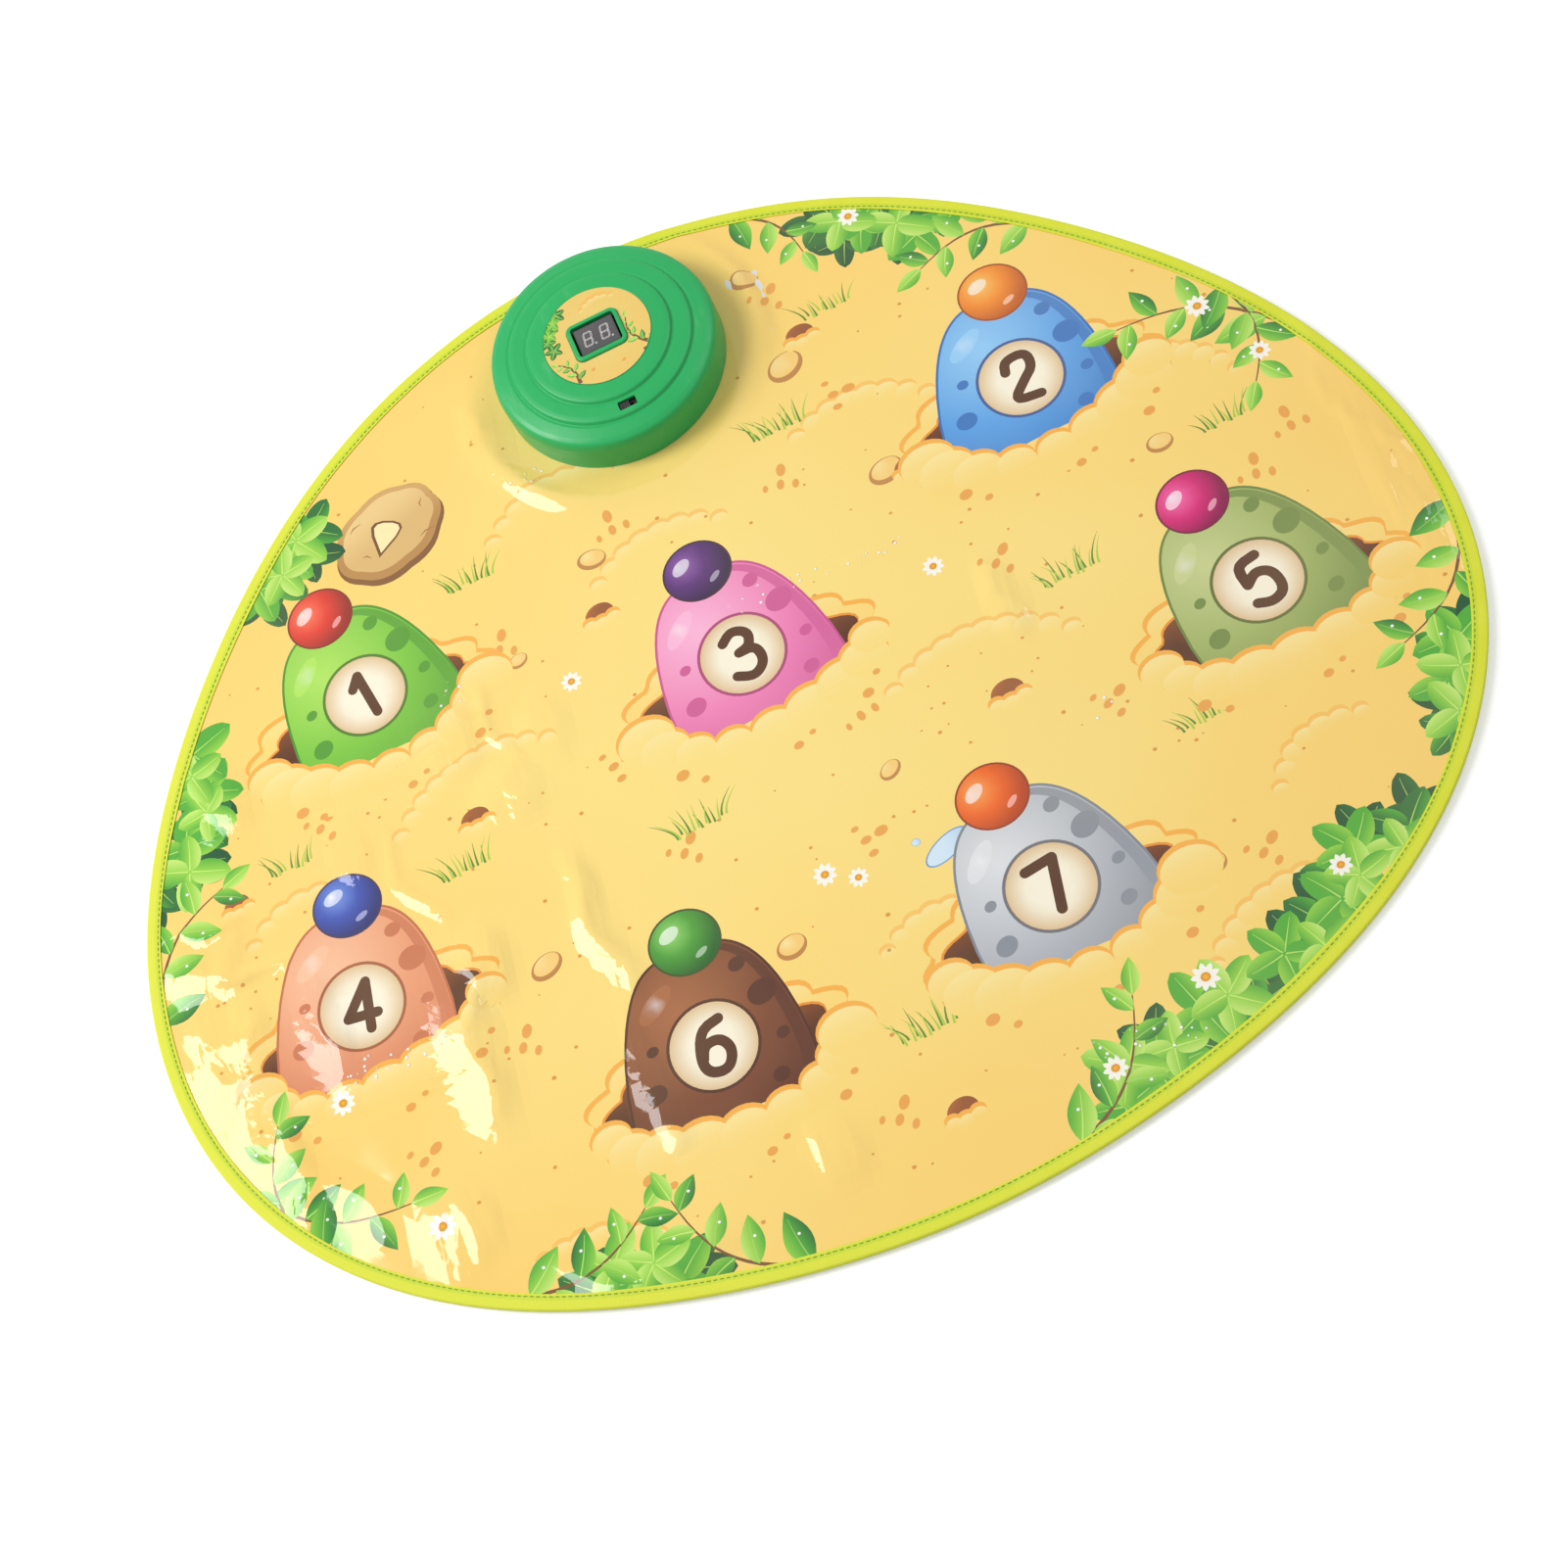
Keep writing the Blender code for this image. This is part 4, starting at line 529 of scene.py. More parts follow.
def lift(x, y, settings):
    """How far the mat lies above flat: its step up to the unit's flange, slow waves, folds and creases.

    The step is a smooth fall with the distance from the unit. The waves are the mean of three cosines, each
    along its own direction. A fold is a bell over the distance from the unit, strongest in one direction.
    The creases fade out over the pads, which keep the mat smooth.
    """
    x, y = np.asarray(x, float), np.asarray(y, float)
    away = np.hypot(x - HUB.x, y - HUB.y)
    raised = MAT_RISE * (1 - smooth_step((away - RISE_START) / RISE_RUN))
    free = smooth_step((away - RISE_START) / (RISE_RUN / 3))
    loose = 0
    for direction, length, phase in WAVES:
        along = x * math.cos(math.radians(direction)) + y * math.sin(math.radians(direction))
        loose = loose + (0.5 + 0.5 * np.cos(TAU / (length * MM) * along + phase))
    raised += free * settings.wave_height / len(WAVES) * loose
    bearing = np.arctan2(y - HUB.y, x - HUB.x)
    for middle, distance, half in FOLDS:
        facing = np.clip(np.cos(bearing - math.radians(middle)), 0, 1) ** 6
        bell = np.exp(-(((away - distance * MM) / (half * MM)) ** 2))
        raised += free * settings.fold_height * facing * bell
    for spot, radius in PAD_SPOTS:
        gap = np.hypot(x - spot[0], y - spot[1]) - radius - PAD_MARGIN
        free = free * smooth_step(gap / PAD_RUN)
    for crease in CREASES:
        raised += free * ridge(x, y, crease)
    return raised


# Flat drawings. Their numbers are millimetres on the mat, degrees, or shares of a motif's own size


class Drawing:
    """Closed loops in painting order, in millimetres, each with the colours that fill it."""

    def __init__(self, ground=None):
        self.ground = ground
        self.loops = []
        self.paints = []

    def ground_at(self, x, y):
        """The ground's colour at a point."""
        return tuple(self.ground(np.array([x], float), np.array([y], float))[0])

    def add(self, loop, *stops, centre=None, reach=None):
        """Add a loop. Its colours run from centre along reach, or round centre if reach is a length."""
        loop = np.asarray(loop, float)
        stops = [np.array(s, float) for s in stops]
        while len(stops) < 3:
            stops.append(stops[-1])
        reach = (1.0, 0.0) if reach is None else reach
        round_run = np.ndim(reach) == 0
        middle = loop.mean(axis=0) if centre is None else np.array(centre, float)
        along = np.array([reach, 0.0] if round_run else reach)
        self.loops.append(loop)
        self.paints.append((*middle, *along, float(round_run), *stops[0], *stops[1], *stops[2]))

    def colours(self, region, x, y):
        """Each point's colour: the region's three colours, blended by its place along or round the region."""
        table = np.array(self.paints)[region]
        offset = np.stack([x, y], axis=1) - table[:, 0:2]
        span = np.linalg.norm(table[:, 2:4], axis=1)
        straight = (offset * table[:, 2:4]).sum(axis=1) / span**2
        share = np.where(table[:, 4] > 0.5, np.linalg.norm(offset, axis=1) / span, straight)
        share = np.clip(share, 0, 1)[:, None] * 2
        first, second, third = table[:, 5:8], table[:, 8:11], table[:, 11:14]
        near = first + (second - first) * np.clip(share, 0, 1)
        return near + (third - second) * np.clip(share - 1, 0, 1)


def turned(points, angle):
    """Points turned about the origin, anticlockwise, in degrees."""
    c, s = math.cos(math.radians(angle)), math.sin(math.radians(angle))
    return np.asarray(points, float) @ np.array([[c, s], [-s, c]])


def oval(x, y, across, along, turn=0.0, steps=28):
    """An oval of two half sizes, turned."""
    return turned(ring_loop(1.0, steps) * (across, along), turn) + (x, y)


def scalloped(x, y, across, along, lobes, depth, phase=0.0, turn=0.0):
    """An oval whose edge swells into round lobes, with a cusp between each two."""
    t = np.arange(lobes * 7) * TAU / (lobes * 7)
    reach = 1 - depth * (1 - np.abs(np.sin(t * lobes / 2 + phase + 0.4 * np.sin(t))))
    loop = np.stack([np.cos(t), np.sin(t)], axis=1) * reach[:, None] * (across, along)
    return turned(loop, turn) + (x, y)


def leaf(x, y, length, width, turn, bend=0.0, blunt=0.8, steps=9):
    """A leaf from its stem: two curved sides on a bent middle line, blunt near 0.5 and pointed near 1.2."""
    s = np.linspace(0, 1, steps + 1)
    middle = np.stack([length * s, bend * length * s * s], axis=1)
    half = width / 2 * np.sin(math.pi * s**0.85) ** blunt
    side = np.stack([np.zeros(len(s)), half], axis=1)
    return turned(np.concatenate([middle - side, (middle + side)[-2:0:-1]]), turn) + (x, y)


def ribbon(path, widths):
    """A band along a path, with its own width at each point."""
    path = np.asarray(path, float)
    along = np.gradient(path, axis=0)
    along /= np.maximum(np.linalg.norm(along, axis=1), 1e-9)[:, None]
    side = np.stack([-along[:, 1], along[:, 0]], axis=1) * np.reshape(widths, (-1, 1)) / 2
    return np.concatenate([path - side, (path + side)[::-1]])


def rounded_path(points, times=2):
    """A path with its corners cut at the quarter points, a few times over, and its ends kept."""
    points = np.asarray(points, float)
    for _ in range(times):
        ahead = points[:-1] * 0.75 + points[1:] * 0.25
        behind = points[:-1] * 0.25 + points[1:] * 0.75
        inner = np.stack([ahead, behind], axis=1).reshape(-1, 2)[1:-1]
        points = np.concatenate([points[:1], inner, points[-1:]])
    return points


# Strokes of the numbers 1 to 7 as shares of a box one wide and 1.6 high. Some keep their corners
STRAIGHT_NUMBERS = (1, 4, 7)
NUMBER_HIGH = 1.6
NUMBER_SHARES = {
    1: [[(0.22, 1.22), (0.58, 1.6), (0.58, 0.0)]],
    2: [[(0.06, 1.15), (0.12, 1.6), (0.88, 1.72), (0.98, 1.1), (0.6, 0.7), (0.04, 0.0), (0.98, 0.0)]],
    3: [[(0.08, 1.45), (0.5, 1.75), (1.0, 1.45), (0.85, 0.95), (0.42, 0.88)],
        [(0.42, 0.88), (1.0, 0.85), (1.05, 0.2), (0.55, -0.15), (0.02, 0.15)]],
    4: [[(0.72, 0.0), (0.72, 1.6), (0.0, 0.48), (1.0, 0.48)]],
    5: [[(0.9, 1.6), (0.2, 1.6), (0.14, 0.85)],
        [(0.14, 0.85), (0.6, 1.12), (1.05, 0.8), (0.98, 0.05), (0.45, -0.1), (0.02, 0.15)]],
    6: [[(0.85, 1.6), (0.2, 1.4), (-0.02, 0.4), (0.2, -0.05), (0.8, -0.08), (1.05, 0.5), (0.75, 0.98),
         (0.2, 0.9), (0.08, 0.45)]],
    7: [[(0.04, 1.6), (0.98, 1.6), (0.4, 0.0)]],
}


def draw_stroke(drawing, path, width, colour):
    """A stroke of one width with round ends and corners."""
    for start, end in zip(path[:-1], path[1:]):
        drawing.add(ribbon([start, end], [width, width]), colour)
    for x, y in path:
        drawing.add(oval(x, y, width / 2, width / 2, steps=14), colour)


def draw_number(drawing, number, x, y, height, turn, width, colour):
    """A number, middled on a point."""
    for stroke in NUMBER_SHARES[number]:
        line = np.array(stroke) if number in STRAIGHT_NUMBERS else rounded_path(stroke)
        middled = (line - (0.5, NUMBER_HIGH / 2)) * (height / NUMBER_HIGH)
        draw_stroke(drawing, turned(middled, turn) + (x, y), width, colour)


# Inks of the printed design
SAND_LIGHT = ink(255, 233, 160)
SAND_MOUND = ink(255, 219, 122)
SOIL_RIM = ink(252, 180, 74)
SOIL_LINE = ink(240, 150, 50)
HOLE_LIGHT = ink(156, 88, 44)
HOLE_DARK = ink(92, 46, 20)
STEM = ink(126, 84, 48)
LEAF_DARK = ink(40, 116, 52)
LEAF_DEEP = ink(24, 88, 48)
LEAF_MID = ink(82, 176, 54)
LEAF_LIGHT = ink(150, 214, 70)
LEAF_PALE = ink(204, 238, 120)
GRASS_DARK = ink(96, 142, 44)
GRASS_LIGHT = ink(176, 206, 74)
PEBBLE_LINE = ink(196, 138, 72)
PEBBLE_FACE = ink(252, 208, 120)
SPECKLE = ink(222, 156, 70)
SEED = ink(240, 168, 78)
PETAL = ink(255, 252, 240)
PETAL_SHADE = ink(232, 224, 206)
FLOWER_HEART = ink(252, 196, 40)
WATER = ink(176, 212, 240)
WATER_LIGHT = ink(214, 236, 250)
WATER_LINE = ink(112, 160, 206)
NUMBER_DARK = ink(92, 54, 30)
PLATE = ink(255, 246, 222)
PLATE_EDGE = ink(222, 184, 128)
WHITE = ink(255, 255, 255)

# Skittles at the hit spots: lean, then three body and three ball colours, each from light to dark
SKITTLES = (
    (9, (178, 232, 96), (126, 202, 62), (74, 150, 44), (255, 120, 90), (232, 44, 34), (150, 18, 24)),
    (-8, (150, 208, 250), (92, 164, 230), (52, 112, 184), (255, 200, 96), (250, 142, 30), (196, 88, 10)),
    (4, (255, 186, 218), (244, 132, 186), (206, 84, 146), (150, 96, 176), (92, 40, 122), (44, 16, 70)),
    (-10, (252, 196, 158), (238, 158, 116), (200, 112, 74), (110, 150, 236), (42, 76, 182), (20, 36, 110)),
    (10, (206, 214, 146), (166, 184, 104), (112, 136, 66), (255, 110, 176), (222, 32, 120), (140, 12, 76)),
    (-6, (176, 110, 68), (130, 72, 42), (84, 42, 26), (150, 220, 110), (72, 160, 52), (28, 100, 34)),
    (7, (228, 230, 232), (188, 192, 198), (132, 138, 148), (255, 164, 80), (246, 104, 22), (186, 62, 8)),
)

# Spots on a skittle's body and seeds before it: place from its middle, size
BODY_SPOTS = (
    (33, 22, 8.5), (-37, -14, 6.5), (24, 42, 5.0), (-33, 10, 3.6), (38, -4, 4.0), (31, -26, 5.0),
)
FOOT_SEEDS = (
    (-58, -52, 3.2), (-47, -60, 2.0), (55, -55, 2.8), (64, -45, 1.8), (8, -66, 2.4), (18, -62, 1.6),
)


def mix_ink(first, second, share):
    """A colour between two."""
    return tuple(np.array(first) * (1 - share) + np.array(second) * share)


def draw_lobes(drawing, places, sizes, rim):
    """A heap of sand as round lobes, each light at its top, over a darker rim that shows above them."""
    for (x, y), size in zip(places, sizes):
        drawing.add(oval(x, y + 2.4, size * 1.04, size * 0.82, steps=24), rim)
    for (x, y), size in zip(places, sizes):
        flat = drawing.ground_at(x, y)
        light, pale = (mix_ink(flat, SAND_LIGHT, share) for share in (0.85, 0.25))
        drawing.add(oval(x, y, size, size * 0.78, steps=24), light, pale, flat, centre=(x, y + size * 0.78),
                    reach=(0.0, -1.25 * size))


def draw_mound(drawing, x, y, across, along, lobes, turn):
    """A low heap: a row of lobes along an arch, the ends lower and smaller."""
    s = np.linspace(-1, 1, lobes)
    places = turned(np.stack([across * s, along * (1 - s * s)], axis=1), turn) + (x, y)
    rim = mix_ink(SOIL_RIM, drawing.ground_at(x, y), 0.45)
    draw_lobes(drawing, places, 1.35 * across / lobes * (1.25 - 0.45 * s * s), rim)


def draw_pit(drawing, x, y, size):
    """A small burrow with sand before it and a tuft behind."""
    drawing.add(oval(x, y, size, size * 0.8, 8), ink(196, 112, 60), HOLE_LIGHT, centre=(x - size, y + size),
                reach=(size * 1.6, -size * 1.6))
    s = np.array([-0.8, 0.0, 0.8])
    places = np.stack([x + size * s, y - size * (0.55 + 0.2 * (s == 0))], axis=1)
    draw_lobes(drawing, places, size * np.array([0.5, 0.62, 0.5]), SOIL_RIM)


def draw_skittle(drawing, number, spot):
    """A round-topped skittle with a ball on its head, standing in a burrow, with a numbered plate."""
    lean, *shades = SKITTLES[number - 1]
    shades = [ink(*shade) for shade in shades]
    body, ball = shades[:3], shades[3:]
    x, y = spot
    drawing.add(scalloped(x, y - 15, 83, 41, 13, 0.10, 4 * number), SOIL_RIM)
    drawing.add(scalloped(x, y - 17, 81, 40, 13, 0.10, 4 * number), SAND_LIGHT, SAND_MOUND, centre=(x, y + 24),
                reach=(0.0, -50.0))
    drawing.add(scalloped(x, y - 18, 73, 31, 11, 0.09, 7 * number), SOIL_LINE)
    drawing.add(scalloped(x, y - 19, 72, 30.5, 11, 0.09, 7 * number), HOLE_LIGHT, HOLE_DARK,
                centre=(x, y + 12), reach=(0.0, -50.0))

    def at(px, py):
        """A place on the leaning skittle."""
        return turned([(px, py)], lean)[0] + (x, y)

    s = np.linspace(-1, 1, 41)
    top = -52 + 112 * (1 - np.abs(s) ** 3.0) ** 0.5
    outline = np.stack([-s * 54, top], axis=1)
    drawing.add(turned(outline * (1.025, 1.0) + (0, 1.4), lean) + (x, y), body[2])
    drawing.add(turned(outline, lean) + (x, y), body[0], body[1], body[2], centre=at(-16, 28), reach=100.0)
    side = np.concatenate([outline[:23] * (0.985, 0.985), outline[22::-1] * (0.85, 0.93)])
    drawing.add(turned(side, lean) + (x, y), mix_ink(body[1], body[2], 0.7))
    for px, py, size in BODY_SPOTS:
        drawing.add(oval(*at(px, py), size, size * 0.82, lean + 20), mix_ink(body[1], body[2], 0.85))
    shine = at(-25, 35)
    drawing.add(oval(*shine, 13, 5.4, lean + 40), mix_ink(body[0], WHITE, 0.45), body[0], centre=shine,
                reach=13.0)

    plate = at(0, 2)
    drawing.add(oval(*plate, 26.4, 26.4, steps=44), mix_ink(body[2], NUMBER_DARK, 0.35))
    drawing.add(oval(*plate, 24.6, 24.6, steps=44), PLATE, PLATE, PLATE_EDGE, centre=plate, reach=27.0)
    draw_number(drawing, number, *plate, 28, lean, 6.0, NUMBER_DARK)

    head = at(0, 64)
    drawing.add(oval(*head, 21.0, 19.4, lean, steps=40), mix_ink(ball[2], NUMBER_DARK, 0.4))
    drawing.add(oval(*head, 19.8, 18.2, lean, steps=40), ball[0], ball[1], ball[2],
                centre=at(-6, 71), reach=26.0)
    drawing.add(oval(*at(-7.5, 71), 6.4, 3.9, lean + 28), WHITE, mix_ink(ball[0], WHITE, 0.5),
                centre=at(-8.5, 72), reach=7.0)
    drawing.add(oval(*at(7.5, 55.5), 4.2, 1.8, lean + 30), mix_ink(ball[1], WHITE, 0.3))

    turn = np.radians(np.linspace(188, 352, 9))
    places = np.stack([x + 70 * np.cos(turn), y - 19 + 31 * np.sin(turn)], axis=1)
    drawing.add(oval(x, y - 53, 56, 14), drawing.ground_at(x, y - 58))
    draw_lobes(drawing, places, 14.5 + 3.0 * np.cos(3 * turn + number), SOIL_RIM)
    for px, py, size in FOOT_SEEDS:
        drawing.add(oval(x + px, y + py, size * 1.3, size, 12, steps=14), SEED)


# The start stone's outlines, each as rise, half sizes, colours, and the start and run of these; and its cracks
STONE = (
    (-3, 38, 29, [(140, 92, 50)], (0, 0), (1, 0)),
    (0, 37, 27.5, [(214, 168, 100), (190, 140, 78)], (0, 20), (0, -50)),
    (1, 32.5, 23, [(240, 204, 136), (224, 184, 116)], (-8, 14), (10, -34)),
)
CRACKS = ((-22, 10, 9, 24), (17, -13, 11, 12), (24, 6, 6, 70), (-20, -9, 6, -30))


def draw_start(drawing, spot):
    """A flat stone with a plain arrowhead, for the start spot."""
    x, y = spot
    for rise, across, along, shades, start, run in STONE:
        drawing.add(scalloped(x, y + rise, across, along, 7, 0.05, turn=20), *[ink(*shade) for shade in shades],
                    centre=start + spot, reach=run)
    for px, py, length, turn in CRACKS:
        crack = turned([(0, 0), (length * 0.4, 1.2), (length, 0)], turn) + (x + px, y + py)
        drawing.add(ribbon(crack, [0.3, 1.0, 0.3]), ink(170, 120, 66))
    arrow = rounded_path([(-8.5, -11.5), (12.5, 0.0), (-8.5, 11.5), (-8.5, -11.5)])[:-1]
    drawing.add(arrow * 1.22 + (x, y), ink(120, 74, 38))
    drawing.add(arrow + (x, y), ink(255, 236, 176))


def draw_leaf(drawing, x, y, length, width, turn, shades, bend=0.0, blunt=0.8):
    """A leaf with a light to dark run across it, its middle vein and two side veins."""
    across = turned([(0.0, width)], turn)[0]
    drawing.add(leaf(x, y, length, width, turn, bend, blunt), *shades,
                centre=np.array([x, y]) - across / 2, reach=across)
    s = np.linspace(0.04, 0.86, 6)
    vein = turned(np.stack([length * s, bend * length * s * s], axis=1), turn) + (x, y)
    drawing.add(ribbon(vein, np.linspace(0.9, 0.25, 6)), mix_ink(shades[0], LEAF_PALE, 0.6))


def draw_sprig(drawing, x, y, turn, length, curl, leaves, size, rng):
    """A curling stem with leaves on both sides, one at its tip, and a few drops of dew."""
    s = np.linspace(0, 1, 15)
    path = turned(np.stack([length * s, curl * length * np.sin(s * math.pi * 0.9)], axis=1), turn) + (x, y)
    drawing.add(ribbon(path, np.linspace(2.6, 0.7, 15)), STEM)
    along = np.gradient(path, axis=0)
    for k in range(leaves):
        share = (k + 1) / (leaves + 0.5)
        i = int(share * 14)
        heading = math.degrees(math.atan2(along[i, 1], along[i, 0]))
        side = 1 if k % 2 else -1
        grown = size * (1.05 - 0.35 * share) * rng.uniform(0.9, 1.1)
        shades = (LEAF_PALE, LEAF_LIGHT, LEAF_MID) if k % 3 else (LEAF_LIGHT, LEAF_MID, LEAF_DARK)
        angle = heading + side * rng.uniform(42, 60)
        draw_leaf(drawing, *path[i], grown, grown * 0.5, angle, shades[::side], 0.12 * side, 0.95)
        drop = path[i] + turned([(grown * 0.55, grown * 0.1 * side)], angle)[0]
        drawing.add(oval(*drop, 0.03 * size, 0.027 * size, steps=10), WHITE)
    tip = math.degrees(math.atan2(along[-1, 1], along[-1, 0]))
    draw_leaf(drawing, *path[-1], size * 0.7, size * 0.34, tip, (LEAF_PALE, LEAF_LIGHT, LEAF_MID), 0.0, 0.95)


def draw_rosette(drawing, x, y, size, turn, count, shades, rng):
    """A low plant seen from above: blunt leaves round one point, each partly over the last."""
    for k in range(count):
        angle = turn + 360 * k / count + rng.uniform(-8, 8)
        grown = size * rng.uniform(0.88, 1.08)
        draw_leaf(drawing, x, y, grown, grown * 0.62, angle, shades, rng.uniform(-0.1, 0.1), 0.55)


def edge_place(bearing, inset):
    """The point at a bearing round the mat, an inset in from its edge, and the heading inwards in degrees."""
    loop = mat_outline(360) / MM
    place = inset_loop(loop, inset)[int(bearing)]
    inward = place - loop[int(bearing)]
    return place, math.degrees(math.atan2(inward[1], inward[0]))


BUSH_TONES = (
    (LEAF_DARK, LEAF_DEEP), (LEAF_MID, LEAF_DARK), (LEAF_LIGHT, LEAF_MID), (LEAF_PALE, LEAF_LIGHT, LEAF_MID),
)


def draw_bush(drawing, bearing, inset, along, depth, plants, rng):
    """Rosettes scattered along the edge, dark ones first and pale ones on top."""
    (x, y), inward = edge_place(bearing, inset)
    for k in range(plants):
        tone = BUSH_TONES[min(3, 4 * k // plants)]
        share = ((k * 0.618) % 1.0) * 2 - 1
        spread = turned([(rng.uniform(-depth, depth) - 12 * share * share, share * along)], inward)[0]
        draw_rosette(drawing, x + spread[0], y + spread[1], rng.uniform(20, 27), rng.uniform(0, 360),
                     int(rng.integers(4, 6)), tone, rng)


def draw_daisy(drawing, x, y, size, turn):
    """A small daisy: nine petals round a yellow heart."""
    for k in range(9):
        petal = leaf(x, y, size, size * 0.46, turn + 40 * k, 0.0, 0.5, 6)
        drawing.add(petal, PETAL_SHADE, PETAL, centre=(x, y), reach=size)
    heart = oval(x, y, size * 0.34, size * 0.32, steps=16)
    drawing.add(heart, FLOWER_HEART, ink(232, 150, 24), centre=(x, y), reach=size * 0.36)


def draw_tuft(drawing, x, y, width, height, blades, rng):
    """A tuft of grass: blades that lean out from its middle, dark ones behind."""
    for k in range(blades):
        share = (k * 0.618) % 1.0
        root = x + (share - 0.5) * width
        grown = height * rng.uniform(0.55, 1.0)
        lean = (share - 0.5) * 1.1 + rng.uniform(-0.35, 0.35)
        s = np.linspace(0, 1, 6)
        path = np.stack([root + lean * grown * s**1.7, y + rng.uniform(-1.5, 1.5) + grown * s], axis=1)
        shade = GRASS_DARK if k < blades // 2 else GRASS_LIGHT
        drawing.add(ribbon(path, np.linspace(1.5, 0.15, 6)), shade)


def draw_pebble(drawing, x, y, across, along, turn):
    """A pebble with a dark underside and a light face."""
    drawing.add(oval(x, y, across, along, turn), PEBBLE_LINE)
    px, py = turned([(0.06 * across, 0.16 * along)], turn)[0] + (x, y)
    drawing.add(oval(px, py, across * 0.84, along * 0.76, turn), SAND_LIGHT, PEBBLE_FACE,
                centre=(px - across * 0.3, py + along * 0.3), reach=across * 1.2)


# Where the printed plants stand: their bearing round the mat from its far end, anticlockwise, in degrees
SPRIGS = (
    # bearing of the root, side that it leans to, length, curl, leaves, leaf size
    (93, 1, 92, 0.20, 7, 30), (108, -1, 104, -0.18, 8, 31), (119, 1, 84, 0.22, 7, 29),
    (133, -1, 96, -0.20, 7, 30), (164, 1, 92, 0.20, 7, 29), (186, -1, 104, -0.20, 8, 30),
    (262, 1, 96, 0.20, 7, 30), (281, -1, 108, -0.18, 8, 31), (292, 1, 78, 0.20, 6, 28),
    (307, -1, 86, -0.22, 7, 29), (344, 1, 64, 0.20, 5, 26),
)
BUSHES = (
    # bearing, distance from the edge, half length along the edge, half depth, plants
    (44, 20, 30, 8, 8), (73, 22, 48, 10, 12), (146, 22, 30, 10, 8), (204, 24, 50, 12, 12),
    (224, 24, 54, 12, 13), (244, 22, 34, 11, 8), (325, 24, 46, 11, 11),
)
DAISIES = (
    # middle, size, turn
    (-300, -118, 7.5, 10), (-270, -208, 8.0, 25), (150, -262, 8.0, 5), (88, -286, 7.0, 18),
    (318, 104, 7.5, 0), (336, 60, 6.5, 12), (165, 268, 7.0, 20), (-8, -118, 7.0, 8), (8, -128, 6.0, 26),
    (-96, 60, 6.5, 0), (118, 26, 6.5, 14), (-338, 150, 6.5, 30), (238, -238, 6.5, 9),
)
PITS = (
    # middle, size
    (-66, 92, 9), (130, 92, 8), (-176, 6, 9), (124, -66, 10), (8, -272, 9), (108, 206, 9), (-322, 22, 8),
)
TUFTS = (
    # middle x and foot y, width, height, blades
    (-128, 150, 30, 17, 14), (74, 152, 34, 18, 16), (-58, -60, 32, 17, 14), (186, -18, 34, 18, 16),
    (-190, -22, 30, 17, 14), (12, -226, 36, 19, 16), (214, -132, 30, 16, 13), (300, 28, 26, 15, 12),
    (-284, 28, 26, 15, 12), (130, 214, 30, 16, 13),
)
PEBBLES = (
    # middle, half sizes, turn
    (92, 190, 12, 9, 25), (-58, 128, 9, 6.5, -10), (118, 96, 11, 8, 15), (-330, 50, 11, 8, -20),
    (-40, -148, 9, 7, 10), (48, -78, 7, 5, 30), (178, -206, 10, 7.5, -15), (-168, -96, 10, 7, 20),
    (262, 34, 8, 6, 0), (92, 258, 9, 7, -25), (-120, 88, 6, 4.5, 15),
)
PUDDLES = ((58, -134, 15, 6.5, 22), (76, -124, 4, 3, 10), (44, -124, 2.6, 2.2, 0))
MOUNDS = (
    # middle, half length, rise, lobes, turn
    (-64, 172, 44, 15, 9, 6), (120, 136, 40, 13, 8, -8), (-170, 24, 50, 16, 10, 10),
    (120, -42, 52, 17, 10, -6), (-286, -6, 34, 12, 7, 4), (36, -176, 30, 10, 7, 0),
    (200, -250, 44, 13, 9, 14), (-20, 112, 40, 12, 8, 4), (-190, -262, 36, 10, 8, -18),
    (290, 72, 34, 12, 8, -30), (-40, 238, 22, 9, 5, 0), (258, -176, 30, 11, 7, 20),
)
SEEDS = (
    # middle and turn of a group of four
    (98, 238, 20), (-92, -2, -15), (60, 118, 40), (-262, 44, 10), (170, -98, 0), (-24, -262, 25),
    (330, 8, 60), (-128, 100, 35), (20, -110, -20), (150, 10, 15), (-40, 140, 60), (206, -214, 10),
    (-196, -134, 30), (110, 158, -30), (-268, -170, 0), (300, -10, 45), (-74, -70, 20), (46, -40, 70),
)
SEED_GROUP = ((0, 0, 3.4), (8.5, 4.5, 4.2), (4, -8, 3.0), (-6, 7, 2.4))
SPECKLES = 340


